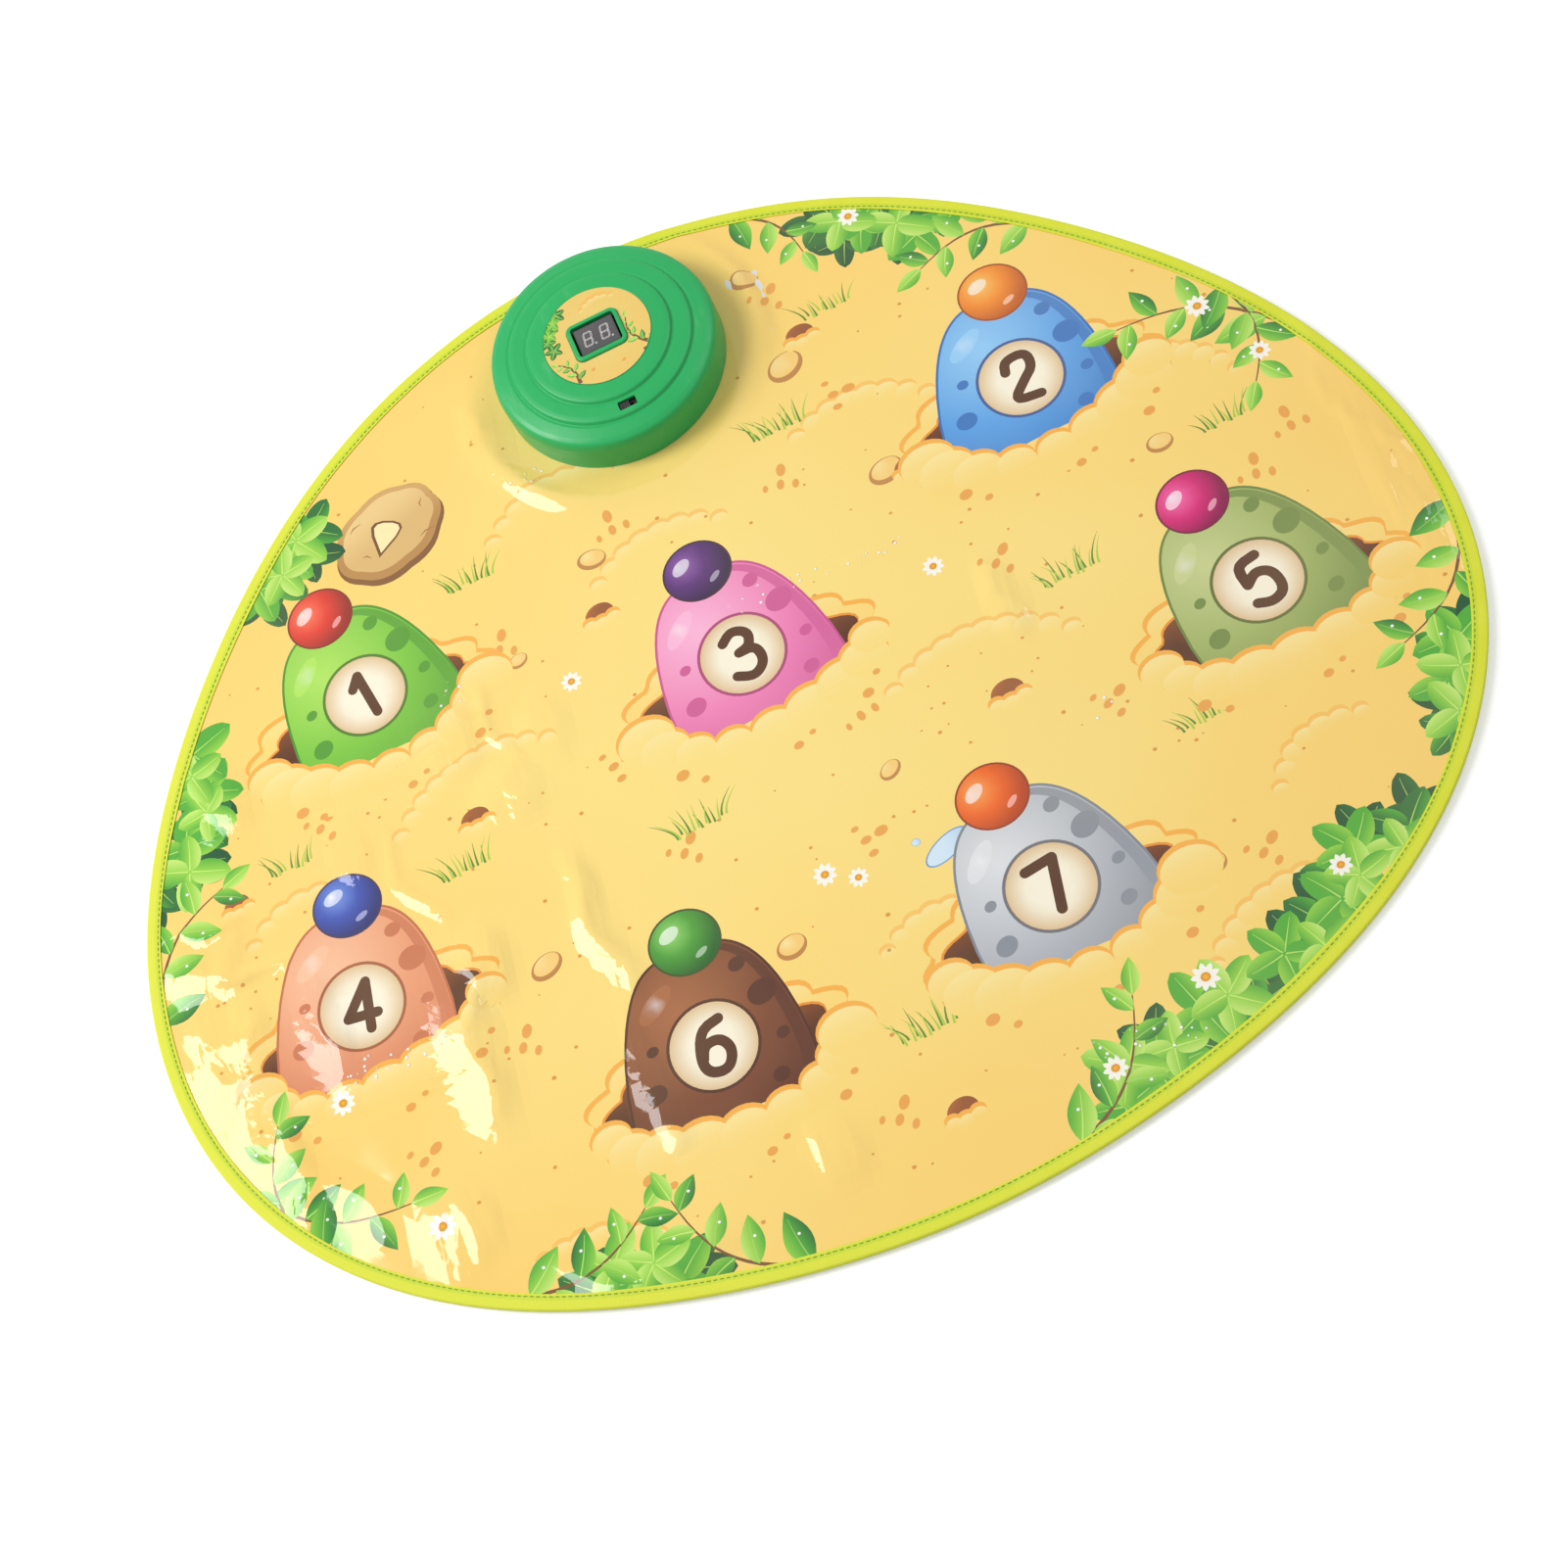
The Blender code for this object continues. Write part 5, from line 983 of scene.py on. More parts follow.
def draw_mat(rng, ground):
    """The mat's whole print, from the ground up."""
    drawing = Drawing(ground)
    for mound in MOUNDS:
        draw_mound(drawing, *mound)
    for _ in range(SPECKLES):
        x, y = rng.uniform(-385, 385), rng.uniform(-320, 320)
        size = rng.uniform(0.5, 1.3)
        drawing.add(oval(x, y, size * 1.2, size, steps=6), SPECKLE)
    for x, y, turn in SEEDS:
        for px, py, size in SEED_GROUP:
            place = turned([(px, py)], turn)[0] + (x, y)
            drawing.add(oval(*place, size, size * 0.68, turn + 30, steps=14), SEED)
    for x, y, across, along, turn in PUDDLES:
        drawing.add(oval(x, y, across, along, turn), WATER_LINE)
        drawing.add(oval(x, y, across * 0.93, along * 0.88, turn), WATER, WATER_LIGHT,
                    centre=(x + across, y), reach=(-2.0 * across, 0.0))
    for pebble in PEBBLES:
        draw_pebble(drawing, *pebble)
    for pit in PITS:
        draw_pit(drawing, *pit)
    for tuft in TUFTS:
        draw_tuft(drawing, *tuft, rng)
    for number, (spot, _) in enumerate(PAD_SPOTS[:-1], start=1):
        draw_skittle(drawing, number, spot / MM)
    draw_start(drawing, PAD_SPOTS[-1][0] / MM)
    for bush in BUSHES:
        draw_bush(drawing, *bush, rng)
    for bearing, side, *shape in SPRIGS:
        place, inward = edge_place(bearing, 3)
        draw_sprig(drawing, *place, inward + 50 * side, *shape, rng)
    for daisy in DAISIES:
        draw_daisy(drawing, *daisy)
    return drawing


# What stands on the label: sprigs as place, turn, length and curl, and rosettes as place and size
LABEL_SPRIGS = ((27, -20, 104, 24, 0.22), (22, -24, 40, 12, -0.2), (-20, -26, 118, 20, -0.2))
LABEL_ROSETTES = (
    (-24, 19, 6.4), (-29, 10, 6.4), (-18, 26, 6.4), (-27, 3, 6.4), (-26, 14, 5.4), (-21.5, 21.5, 5.4),
)


def draw_label(rng, ground):
    """The label's print: sand, leaves at both sides, speckles and seeds, from the unit's axis."""
    drawing = Drawing(ground)
    for _ in range(46):
        turn, reach = rng.uniform(0, TAU), rng.uniform(18, 32)
        drawing.add(oval(reach * math.cos(turn), reach * math.sin(turn), 0.28, 0.22, steps=6), SPECKLE)
    draw_mound(drawing, 7, 20.5, 10, 3.2, 6, 4)
    for sprig in LABEL_SPRIGS:
        draw_sprig(drawing, *sprig, 6, 6.6, rng)
    for k, (x, y, size) in enumerate(LABEL_ROSETTES):
        tone = (LEAF_MID, LEAF_DARK) if k < 4 else (LEAF_LIGHT, LEAF_MID)
        draw_rosette(drawing, x, y, size, rng.uniform(0, 360), 5, tone, rng)
    for x, y in ((-10, -21), (9, -24)):
        drawing.add(oval(x, y, 1.5, 1.0, 20, steps=14), SEED)
    return drawing


def cut_drawing(outline, holes, drawing, grid):
    """Points, triangles and each triangle's topmost region, counted from 0 for the ground.

    The outline, the holes and the drawing's loops go through one constrained triangulation.
    A triangle stays if it lies in the outline and in no hole.
    """
    loops = [outline, *holes, *drawing.loops]
    points = np.concatenate([*loops, grid])
    ends = np.cumsum([len(loop) for loop in loops])
    faces = [list(range(end - len(loop), end)) for loop, end in zip(loops, ends)]
    flat, _, triangles, _, _, holders = delaunay_2d_cdt([Vector(p) for p in points], [], faces, 1, CUT_DOUBLE)
    drawn = 1 + len(holes)
    kept = [
        (triangle, max(0, max(held) - drawn + 1))
        for triangle, held in zip(triangles, holders)
        if 0 in held and not any(0 < loop < drawn for loop in held)
    ]
    corner = np.array([triangle for triangle, _ in kept])
    region = np.array([topmost for _, topmost in kept])
    used, corner = np.unique(corner, return_inverse=True)
    return np.array([tuple(p) for p in flat])[used], corner.reshape(-1, 3), region


def rim_edges(corner):
    """The edges that only one triangle has, each in its triangle's direction."""
    edges = np.concatenate([corner[:, [0, 1]], corner[:, [1, 2]], corner[:, [2, 0]]])
    keyed = np.sort(edges, axis=1) @ (corner.max() + 1, 1)
    _, index, times = np.unique(keyed, return_index=True, return_counts=True)
    return edges[index[times == 1]]


def rim_loops(flat, rim, holes):
    """The rim's points as loops: each hole's, and the rest as the outline, each in order round its middle."""
    points = flat[np.unique(rim)]
    free = np.ones(len(points), bool)
    loops = []
    for hole in holes:
        middle = (hole.min(axis=0) + hole.max(axis=0)) / 2
        reach = np.linalg.norm(hole - middle, axis=1).max() + 0.01
        near = free & (np.linalg.norm(points - middle, axis=1) < reach)
        free &= ~near
        loops.append(in_order(points[near], middle))
    return in_order(points[free], flat.mean(axis=0)), loops


def in_order(points, middle):
    """Points anticlockwise round a middle."""
    return points[np.argsort(np.arctan2(points[:, 1] - middle[1], points[:, 0] - middle[0]))]


def sheet_shell(name, outline, holes, drawing, grid, coarse, base, top, height_of, ground=None):
    """A closed sheet between two heights, raised by height_of(x, y), its drawing in a colour attribute.

    outline, holes, drawing and the grids are in millimetres. The colour of each corner is that of its
    triangle's topmost region at that corner, so neighbours keep a crisp edge. The underside has the coarse
    grid.
    """
    flat, corner, region = cut_drawing(outline, holes, drawing, grid)
    rim = rim_edges(corner)
    outer, inner = rim_loops(flat, rim, holes)
    under, under_corner, _ = cut_drawing(outer, inner, Drawing(), coarse)
    start = len(flat)
    edge_ids = np.unique(rim)
    low_of = np.full(len(flat), -1)
    low_of[edge_ids] = start + len(under) + np.arange(len(edge_ids))
    levels = [(flat, top), (under, base), (flat[edge_ids], base)]
    points = np.concatenate([
        np.column_stack([p * MM, level + height_of(p[:, 0] * MM, p[:, 1] * MM)]) for p, level in levels
    ])
    skirt = np.stack([rim[:, 1], rim[:, 0], low_of[rim[:, 0]], low_of[rim[:, 1]]], axis=1)
    underside = under_corner[:, ::-1] + start
    mesh = new_mesh(name, points, [*corner.tolist(), *underside.tolist(), *skirt.tolist()])
    if ground is not None:
        px, py = flat[corner.ravel()].T
        shade = ground(px, py)
        drawn = np.repeat(region, 3)
        inked = drawn > 0
        shade[inked] = drawing.colours(drawn[inked] - 1, px[inked], py[inked])
        colours = np.ones((len(mesh.loops), 4), np.float32)
        colours[:, :3] = 0.8
        colours[: len(shade), :3] = shade
        layer = mesh.color_attributes.new("ink", "FLOAT_COLOR", "CORNER")
        layer.data.foreach_set("color", colours.ravel())
    for attribute, table in (("loose", LOOSE), ("bubbled", BEAD_GLINTS)):
        layer = mesh.attributes.new(attribute, "FLOAT", "POINT")
        layer.data.foreach_set("value", patches(*points[:, :2].T, table).astype(np.float32))
    join_doubles(mesh, SHEET_DOUBLE, outwards=False)
    return mesh


# The step over which a slope is measured, and the upward part of a normal below which a point is underneath
SLOPE_STEP = 0.0005
DOWNWARDS = -0.3


def follow_slope(mesh, height_of):
    """Give each point of a thin sheet the normal of its height's slope, downwards for the underside."""
    place, facing = (np.zeros(len(mesh.vertices) * 3, np.float32) for _ in range(2))
    mesh.vertices.foreach_get("co", place)
    mesh.vertices.foreach_get("normal", facing)
    x, y = place[0::3].astype(float), place[1::3].astype(float)
    step = SLOPE_STEP
    slope_x = (height_of(x + step, y) - height_of(x - step, y)) / (2 * step)
    slope_y = (height_of(x, y + step) - height_of(x, y - step)) / (2 * step)
    normal = np.stack([-slope_x, -slope_y, np.ones(len(x))], axis=1)
    normal /= np.linalg.norm(normal, axis=1)[:, None]
    normal *= np.where(facing[2::3] < DOWNWARDS, -1.0, 1.0)[:, None]
    mesh.normals_split_custom_set_from_vertices(normal.tolist())


def grid_points(outline, pitch):
    """Points of a slightly sheared square grid inside an outline, kept a third of a pitch from it."""
    low, high = outline.min(axis=0), outline.max(axis=0)
    x, y = np.meshgrid(np.arange(low[0], high[0], pitch), np.arange(low[1], high[1], pitch))
    points = np.stack([x.ravel() + 0.13 * y.ravel() % pitch, y.ravel()], axis=1)
    along = np.roll(outline, -1, axis=0) - outline
    inside = np.ones(len(points), bool)
    inward = np.stack([-along[:, 1], along[:, 0]], axis=1) / np.linalg.norm(along, axis=1)[:, None]
    for start, facing in zip(outline, inward):
        inside &= (points - start) @ facing > pitch / 3
    return points[inside]


# Shader networks


class Wire:
    """An output socket. Arithmetic on it adds Math nodes."""

    def __init__(self, net, socket):
        self.net = net
        self.socket = socket

    def maths(self, operation, *values):
        """A Math node of an operation on values or wires."""
        return self.net.node("ShaderNodeMath", {"operation": operation}, dict(enumerate(values)))

    def __add__(self, other):
        return self.maths("ADD", self, other)

    def __sub__(self, other):
        return self.maths("SUBTRACT", self, other)

    def __rsub__(self, other):
        return self.maths("SUBTRACT", other, self)

    def __mul__(self, other):
        return self.maths("MULTIPLY", self, other)

    __radd__ = __add__
    __rmul__ = __mul__

    def sine(self):
        """The wire's sine."""
        return self.maths("SINE", self)

    def size(self):
        """The wire without its sign."""
        return self.maths("ABSOLUTE", self)

    def larger(self, other):
        """The larger of two."""
        return self.maths("MAXIMUM", self, other)


class Net:
    """A material's or world's nodes: one method adds any node, and the others are short forms of it."""

    def __init__(self, name, world=False):
        self.holder = (bpy.data.worlds if world else bpy.data.materials).new(name)
        self.holder.use_nodes = True
        self.tree = self.holder.node_tree
        self.output = next(node for node in self.tree.nodes if "Surface" in node.inputs)
        self.shader = self.output.inputs["Surface"].links[0].from_node

    def node(self, kind, settings=None, values=None, output=0):
        """Add a node: its settings first, then the values or links of its sockets."""
        made = self.tree.nodes.new(kind)
        for name, value in (settings or {}).items():
            setattr(made, name, value)
        for name, value in (values or {}).items():
            self.feed(made.inputs[name], value)
        return Wire(self, made.outputs[output])

    def feed(self, socket, value):
        """Link a wire to a socket, or set the socket's own value."""
        if isinstance(value, Wire):
            self.tree.links.new(value.socket, socket)
        elif socket.type == "RGBA" and len(value) == 3:
            socket.default_value = (*value, 1.0)
        else:
            socket.default_value = value

    def place(self, scale=(1.0, 1.0, 1.0)):
        """Object coordinates, stretched."""
        here = self.node("ShaderNodeTexCoord", output="Object")
        return self.node("ShaderNodeMapping", None, {"Vector": here, "Scale": scale})

    def noise(self, scale, detail=2.0, vector=None, roughness=0.5, distortion=0.0):
        """Noise between 0 and 1."""
        values = {
            "Vector": vector or self.place(), "Scale": scale, "Detail": detail, "Roughness": roughness,
            "Distortion": distortion,
        }
        return self.node("ShaderNodeTexNoise", None, values)

    def cells(self, scale):
        """Distance to the nearest point of a scatter."""
        values = {"Vector": self.place(), "Scale": scale}
        return self.node("ShaderNodeTexVoronoi", {"feature": "F1"}, values, output="Distance")

    def remap(self, value, low, high, to_low=0.0, to_high=1.0):
        """A value's run between two limits, as a smooth run between two others."""
        values = {"Value": value, "From Min": low, "From Max": high, "To Min": to_low, "To Max": to_high}
        return self.node("ShaderNodeMapRange", {"interpolation_type": "SMOOTHSTEP"}, values, output="Result")

    def mix(self, share, first, second):
        """A colour between two, through the Mix node's sockets for colours."""
        return self.node("ShaderNodeMix", {"data_type": "RGBA"}, {0: share, 6: first, 7: second}, output=2)

    def bump(self, height, distance, normal=None):
        """A bump from a height, in metres of depth."""
        values = {"Height": height, "Distance": distance}
        if normal:
            values["Normal"] = normal
        return self.node("ShaderNodeBump", None, values, output="Normal")

    def attribute(self, name, output="Fac"):
        """An attribute of the mesh."""
        return self.node("ShaderNodeAttribute", {"attribute_name": name}, output=output)

    def seen_directly(self):
        """1 for what the camera sees itself, by reflection or through glass, and 0 for light."""
        rays = ("Is Camera Ray", "Is Glossy Ray", "Is Transmission Ray")
        camera, gloss, glass = (self.node("ShaderNodeLightPath", output=ray) for ray in rays)
        return camera.larger(gloss).larger(glass)

    def split(self, vector, axis):
        """One of a vector's three numbers."""
        return self.node("ShaderNodeSeparateXYZ", None, {"Vector": vector}, output=axis)

    def finish(self, **values):
        """Feed the shader's sockets, named with underscores for spaces, and hand back the material."""
        for name, value in values.items():
            self.feed(self.shader.inputs[name.replace("_", " ")], value)
        return self.holder

    def pass_into_white(self, kind, share):
        """Let the shader pass over by a share into plain white from another shader node."""
        own = Wire(self, self.shader.outputs[0])
        white = self.node(kind, None, {"Color": (1.0, 1.0, 1.0), "Strength": 1.0})
        whole = self.node("ShaderNodeMixShader", None, {0: share, 1: own, 2: white})
        self.feed(self.output.inputs["Surface"], whole)


def shaded(colour, share):
    """A colour made lighter or darker by a share."""
    return tuple(share * part for part in colour)


def film_over_print(name, wrinkled=True):
    """Printed vinyl under clear film: the print's colours, high gloss, wrinkles where it is loose, and beads
    with painted white glints.
    """
    net = Net(name)
    cloud = net.noise(9.0, 3.0)
    colour = net.mix(net.remap(cloud, 0.3, 0.7, 0.0, 0.05), net.attribute("ink", "Color"), (1.0, 0.80, 0.40))
    colour = net.mix(0.06, colour, (0.0, 0.0, 0.0))
    if not wrinkled:
        gloss = net.remap(net.noise(60.0, 3.0), 0.3, 0.7, 0.10, 0.18)
        grain = net.bump(net.noise(900.0, 2.0), 0.00001)
        return net.finish(Base_Color=colour, Roughness=gloss, Specular_IOR_Level=0.4, Normal=grain)
    loose = net.attribute("loose")
    bubbled = net.attribute("bubbled")
    smudge = net.remap(net.noise(26.0, 4.0), 0.35, 0.75, 0.03, 0.09)
    sheet = net.noise(7.0, 2.0, distortion=0.4)
    facet = net.noise(20.0, 1.4, net.place((1.0, 0.42, 1.0)), roughness=0.45, distortion=1.1)
    crinkle = net.noise(95.0, 2.0, net.place((1.0, 0.5, 1.0)), distortion=0.6)
    height = sheet * 0.18 + loose * (facet - 0.18) * 1.35 + loose * (crinkle - 0.5) * 0.14
    tilt = net.bump(height, 0.0060)
    # Painted highlights: each bead's white dot is painted into the base colour as a glint of the lamps, over
    # its small bump
    bead = net.remap(net.cells(210.0), 0.16, 0.24, 1.0, 0.0) * net.remap(bubbled, 0.25, 0.55)
    colour = net.mix(bead * 0.85, colour, (1.0, 0.99, 0.92))
    pearl = net.bump(bead, 0.0004, normal=tilt)
    return net.finish(Base_Color=colour, Roughness=smudge, IOR=1.5, Specular_IOR_Level=0.42, Normal=pearl)


def woven_tape(name, settings):
    """Satin tape: fine cross ribs and a greener stripe along its inner side, read from its own map."""
    net = Net(name)
    here = net.node("ShaderNodeUVMap", {"uv_map": "along"}, output="UV")
    across = net.split(here, "Y")
    along = net.split(here, "X")
    weave = (along * 9000.0).sine() * 0.5 + (across * 7000.0).sine() * 0.4
    stripe = net.remap(across, 0.0050, 0.0058) * net.remap(across, 0.0078, 0.0084, 1.0, 0.0)
    worn = net.noise(40.0, 4.0)
    colour = net.mix(stripe * 0.8, tuple(settings.tape), tuple(settings.tape_stripe))
    colour = net.mix(net.remap(worn, 0.35, 0.7, 0.0, 0.22), colour, ink(236, 240, 96))
    colour = net.mix(net.remap(weave, -0.9, 0.9, 0.16, 0.0), colour, ink(150, 170, 20))
    gloss, ribs = net.remap(worn, 0.3, 0.7, 0.42, 0.58), net.bump(weave, 0.00006)
    return net.finish(Base_Color=colour, Roughness=gloss, Normal=ribs, Specular_IOR_Level=0.3)


def moulded(name, colour, rough, grain, depth, scuff):
    """Moulded plastic: a fine mould grain, faint flow marks and slight scuffs."""
    net = Net(name)
    flow = net.noise(14.0, 3.0, distortion=0.5)
    marks = net.noise(120.0, 5.0, net.place((1.0, 0.2, 1.0)))
    lighter = tuple(min(1.0, part * 1.25 + 0.01) for part in colour)
    tint = net.mix(net.remap(flow, 0.3, 0.7, 0.0, 0.10), colour, lighter)
    tint = net.mix(net.remap(marks, 0.62, 0.78, 0.0, 0.08 * scuff), tint, (0.9, 0.9, 0.9))
    gloss = net.remap(marks, 0.3, 0.8, rough - 0.04, rough + 0.10)
    pores = net.bump(net.noise(grain, 2.0), depth)
    return net.finish(Base_Color=tint, Roughness=gloss, Specular_IOR_Level=0.4, Normal=pores)


def thread_finish(name, colour):
    """Twisted thread."""
    net = Net(name)
    values = {"Vector": net.place(), "Scale": 900.0, "Distortion": 1.0}
    twist = net.node("ShaderNodeTexWave", None, values, output="Fac")
    tint = net.mix(twist, shaded(colour, 0.6), tuple(colour))
    return net.finish(Base_Color=tint, Roughness=0.6, Normal=net.bump(twist, 0.00008))


def woven_cloth(name, colour):
    """Pressed non-slip cloth: small raised diamonds over a fibrous ground."""
    net = Net(name)
    u = net.split(net.place(), "X")
    v = net.split(net.place(), "Y")
    diamond = net.remap(((u + v) * 1600.0).sine() * ((u - v) * 1600.0).sine(), -0.2, 0.5)
    fibre = net.noise(700.0, 6.0, roughness=0.7)
    tint = net.mix(diamond, shaded(colour, 0.72), colour)
    tint = net.mix(net.remap(fibre, 0.3, 0.8, 0.0, 0.3), tint, (0.75, 0.76, 0.74))
    return net.finish(Base_Color=tint, Roughness=0.85, Normal=net.bump(diamond + fibre * 0.3, 0.00015))


def brushed_metal(name, colour):
    """Plated steel with fine scratches and dull spots."""
    net = Net(name)
    line = net.noise(500.0, 3.0, net.place((1.0, 0.05, 1.0)))
    spot = net.noise(60.0, 4.0)
    tint = net.mix(net.remap(spot, 0.4, 0.8, 0.0, 0.35), colour, shaded(colour, 0.55))
    gloss = net.remap(line, 0.3, 0.7, 0.22, 0.42)
    return net.finish(Base_Color=tint, Metallic=1.0, Roughness=gloss, Normal=net.bump(line, 0.00001))


def board_finish(name):
    """Circuit board: copper lines under green lacquer, round pads and a fine glass weave."""
    net = Net(name)
    here = net.place()
    values = {"Vector": here, "Scale": 90.0, "Mortar Size": 0.03}
    kink = net.node("ShaderNodeTexBrick", None, values, output="Fac")
    pads = net.remap(net.cells(260.0), 0.16, 0.22, 1.0, 0.0)
    weave = (net.split(here, "X") * 6000.0).sine() + (net.split(here, "Y") * 6000.0).sine()
    tint = net.mix(kink, ink(22, 104, 52), ink(52, 142, 70))
    tint = net.mix(pads, tint, ink(196, 186, 140))
    gloss = net.remap(pads, 0.0, 1.0, 0.30, 0.45)
    return net.finish(Base_Color=tint, Roughness=gloss, Normal=net.bump(weave, 0.00001))


def clear_film(name):
    """Milky polyester film with faint rub marks."""
    net = Net(name)
    rub = net.noise(80.0, 4.0, net.place((1.0, 0.2, 1.0)))
    tint = net.mix(net.remap(rub, 0.4, 0.7, 0.0, 0.3), ink(218, 226, 230), ink(240, 244, 246))
    gloss = net.remap(rub, 0.3, 0.7, 0.18, 0.34)
    return net.finish(Base_Color=tint, Roughness=gloss, Normal=net.bump(rub, 0.00002))


def two_toned(name, grain, run, dark, light, rough, depth):
    """A dull surface: its grain runs between two colours and stands out as a bump."""
    net = Net(name)
    height = grain(net)
    tint = net.mix(net.remap(height, *run), ink(*dark), ink(*light))
    return net.finish(Base_Color=tint, Roughness=rough, Normal=net.bump(height, depth))


def foam_pores(net):
    """Closed cells of foam."""
    return net.cells(1300.0)


def paper_fibre(net):
    """Fibres of pressed paper."""
    return net.noise(900.0, 6.0)


def mesh_mark(net):
    """The mark that a printing screen leaves: two crossed sines."""
    here = net.place()
    return (net.split(here, "X") * 5000.0).sine() * (net.split(here, "Y") * 5000.0).sine()


def cell_jacket(name):
    """A dry cell's printed jacket: a slate sleeve with a pale band at both ends, steel at both caps."""
    net = Net(name)
    away = net.split(net.place(), "X").size()
    grain = net.noise(300.0, 3.0)
    tint = net.mix(net.remap(away, 0.0150, 0.0152), ink(62, 92, 116), ink(214, 216, 208))
    tint = net.mix(net.remap(grain, 0.3, 0.8, 0.0, 0.12), tint, ink(150, 150, 156))
    tint = net.mix(net.remap(away, 0.0234, 0.0236), tint, ink(200, 200, 198))
    steel = net.remap(away, 0.0234, 0.0236, 0.1, 0.9)
    return net.finish(Base_Color=tint, Metallic=steel, Roughness=net.remap(grain, 0.3, 0.7, 0.26, 0.4))


# Moulded pieces, sleeves and wires: colour, roughness, scale and depth of the grain, scuffs
MOULDED = {
    "display_block": ((58, 56, 58), 0.4, 1400.0, 0.00002, 0.5),
    "chip_epoxy": ((20, 20, 22), 0.22, 600.0, 0.00004, 0.2),
    "capacitor_sleeve": ((24, 30, 62), 0.35, 500.0, 0.00003, 0.3),
    "black_plastic": ((38, 34, 32), 0.42, 1800.0, 0.00003, 0.5),
    "white_plastic": ((232, 230, 224), 0.4, 900.0, 0.00002, 0.4),
    "black_wire": ((26, 26, 28), 0.4, 1200.0, 0.00002, 0.3),
    "red_wire": ((190, 28, 24), 0.4, 1200.0, 0.00002, 0.3),
    "yellow_wire": ((232, 196, 44), 0.4, 1200.0, 0.00002, 0.3),
    "blue_wire": ((36, 78, 176), 0.4, 1200.0, 0.00002, 0.3),
}


def make_finishes(mat, unit):
    """Every finish by its name, which for all but the thread is the record's slot."""
    plans = {
        "printed_vinyl": (film_over_print,),
        "binding_tape": (woven_tape, mat),
        "binding_thread": (thread_finish, mat.thread),
        "backing_cloth": (woven_cloth, ink(150, 152, 148)),
        "clear_film": (clear_film,),
        "foam": (two_toned, foam_pores, (0.1, 0.6), (214, 214, 208), (244, 244, 240), 0.9, 0.0002),
        "carbon_print": (two_toned, mesh_mark, (-1.0, 1.0), (30, 30, 32), (52, 52, 55), 0.7, 0.00003),
        "green_plastic": (moulded, tuple(unit.casing), 0.34, 1400.0, 0.00002, 0.5),
        "label_print": (film_over_print, False),
        "display_face": (film_over_print, False),
        "circuit_board": (board_finish,),
        "cell_jacket": (cell_jacket,),
        "plated_steel": (brushed_metal, ink(206, 206, 202)),
        "speaker_paper": (two_toned, paper_fibre, (0.3, 0.8), (34, 34, 36), (66, 64, 62), 0.85, 0.00008),
    }
    for name, (shade, *values) in MOULDED.items():
        plans[name] = (moulded, ink(*shade), *values)
    return {name: make(name, *values) for name, (make, *values) in plans.items()}


def settings_of(context):
    """The three groups of settings."""
    return [getattr(context.scene, name) for name in GROUPS]


class PLAYMAT_OT_finishes(bpy.types.Operator):
    """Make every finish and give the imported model's own pieces theirs"""

    bl_idname = "playmat.finishes"
    bl_label = "Finishes"

    def execute(self, context):
        mat, unit, _ = settings_of(context)
        FINISHES.update(make_finishes(mat, unit))
        for node in frame["nodes"].values():
            for holder in node.material_slots:
                holder.material = FINISHES[holder.material.name.split(".")[0]]
        return {"FINISHED"}


class PLAYMAT_OT_sheets(bpy.types.Operator):
    """Build the mat's five bonded sheets, the printed cover on top"""

    bl_idname = "playmat.sheets"
    bl_label = "Mat Sheets"

    def execute(self, context):
        mat, _, _ = settings_of(context)
        outline = inset_loop(mat_outline(360), SHEET_INSET) / MM
        holes = [hub_opening() / MM, *[hole / MM for hole in punched_holes()]]
        windows = [ring_loop((radius + WINDOW_CLEARANCE) / MM, 40, spot / MM) for spot, radius in PAD_SPOTS]
        grid = grid_points(outline, mat.grid / MM)
        coarse = grid_points(outline, 1.6 * mat.grid / MM)

        def height_of(x, y):
            """The mat's lift with this panel's settings."""
            return lift(x, y, mat)

        def ground(x, y):
            """Sand that deepens towards the edge and drifts in soft patches."""
            out = np.hypot((x - SAND_MIDDLE[0]) / SAND_HALF[0], (y - SAND_MIDDLE[1]) / SAND_HALF[1])
            first, second, third = DRIFT_LENGTHS
            drift = np.sin(x / first + 1.3 * np.sin(y / second)) * np.cos(y / third + 0.8)
            return between(mat.sand_middle, mat.sand_edge, np.clip(0.85 * out**1.7 + 0.14 * drift, 0, 1))

        area = polygon_area(outline * MM)
        for name in SHEETS:
            low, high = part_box(name)
            cut = [*holes, *windows] if name == "spacer_foam" else holes
            if name == "printed_cover":
                label, drawing = "mat_cover", draw_mat(np.random.default_rng(MAT_SEED), ground)
                upper, shade = grid, ground
            else:
                label, drawing = name.replace("sheet", "cloth") + "_laid", Drawing()
                upper, shade = coarse, None
            top = high.z - MAT_RISE
            mesh = sheet_shell(label, outline, cut, drawing, upper, coarse, low.z, top, height_of, shade)
            material = frame["nodes"][name].material_slots[0].material
            finish = next(key for key, made in FINISHES.items() if made == material)
            made = place_piece(mesh, finish, (name,), sharp=0, outwards=False)
            follow_slope(mesh, height_of)
        return {"FINISHED"}


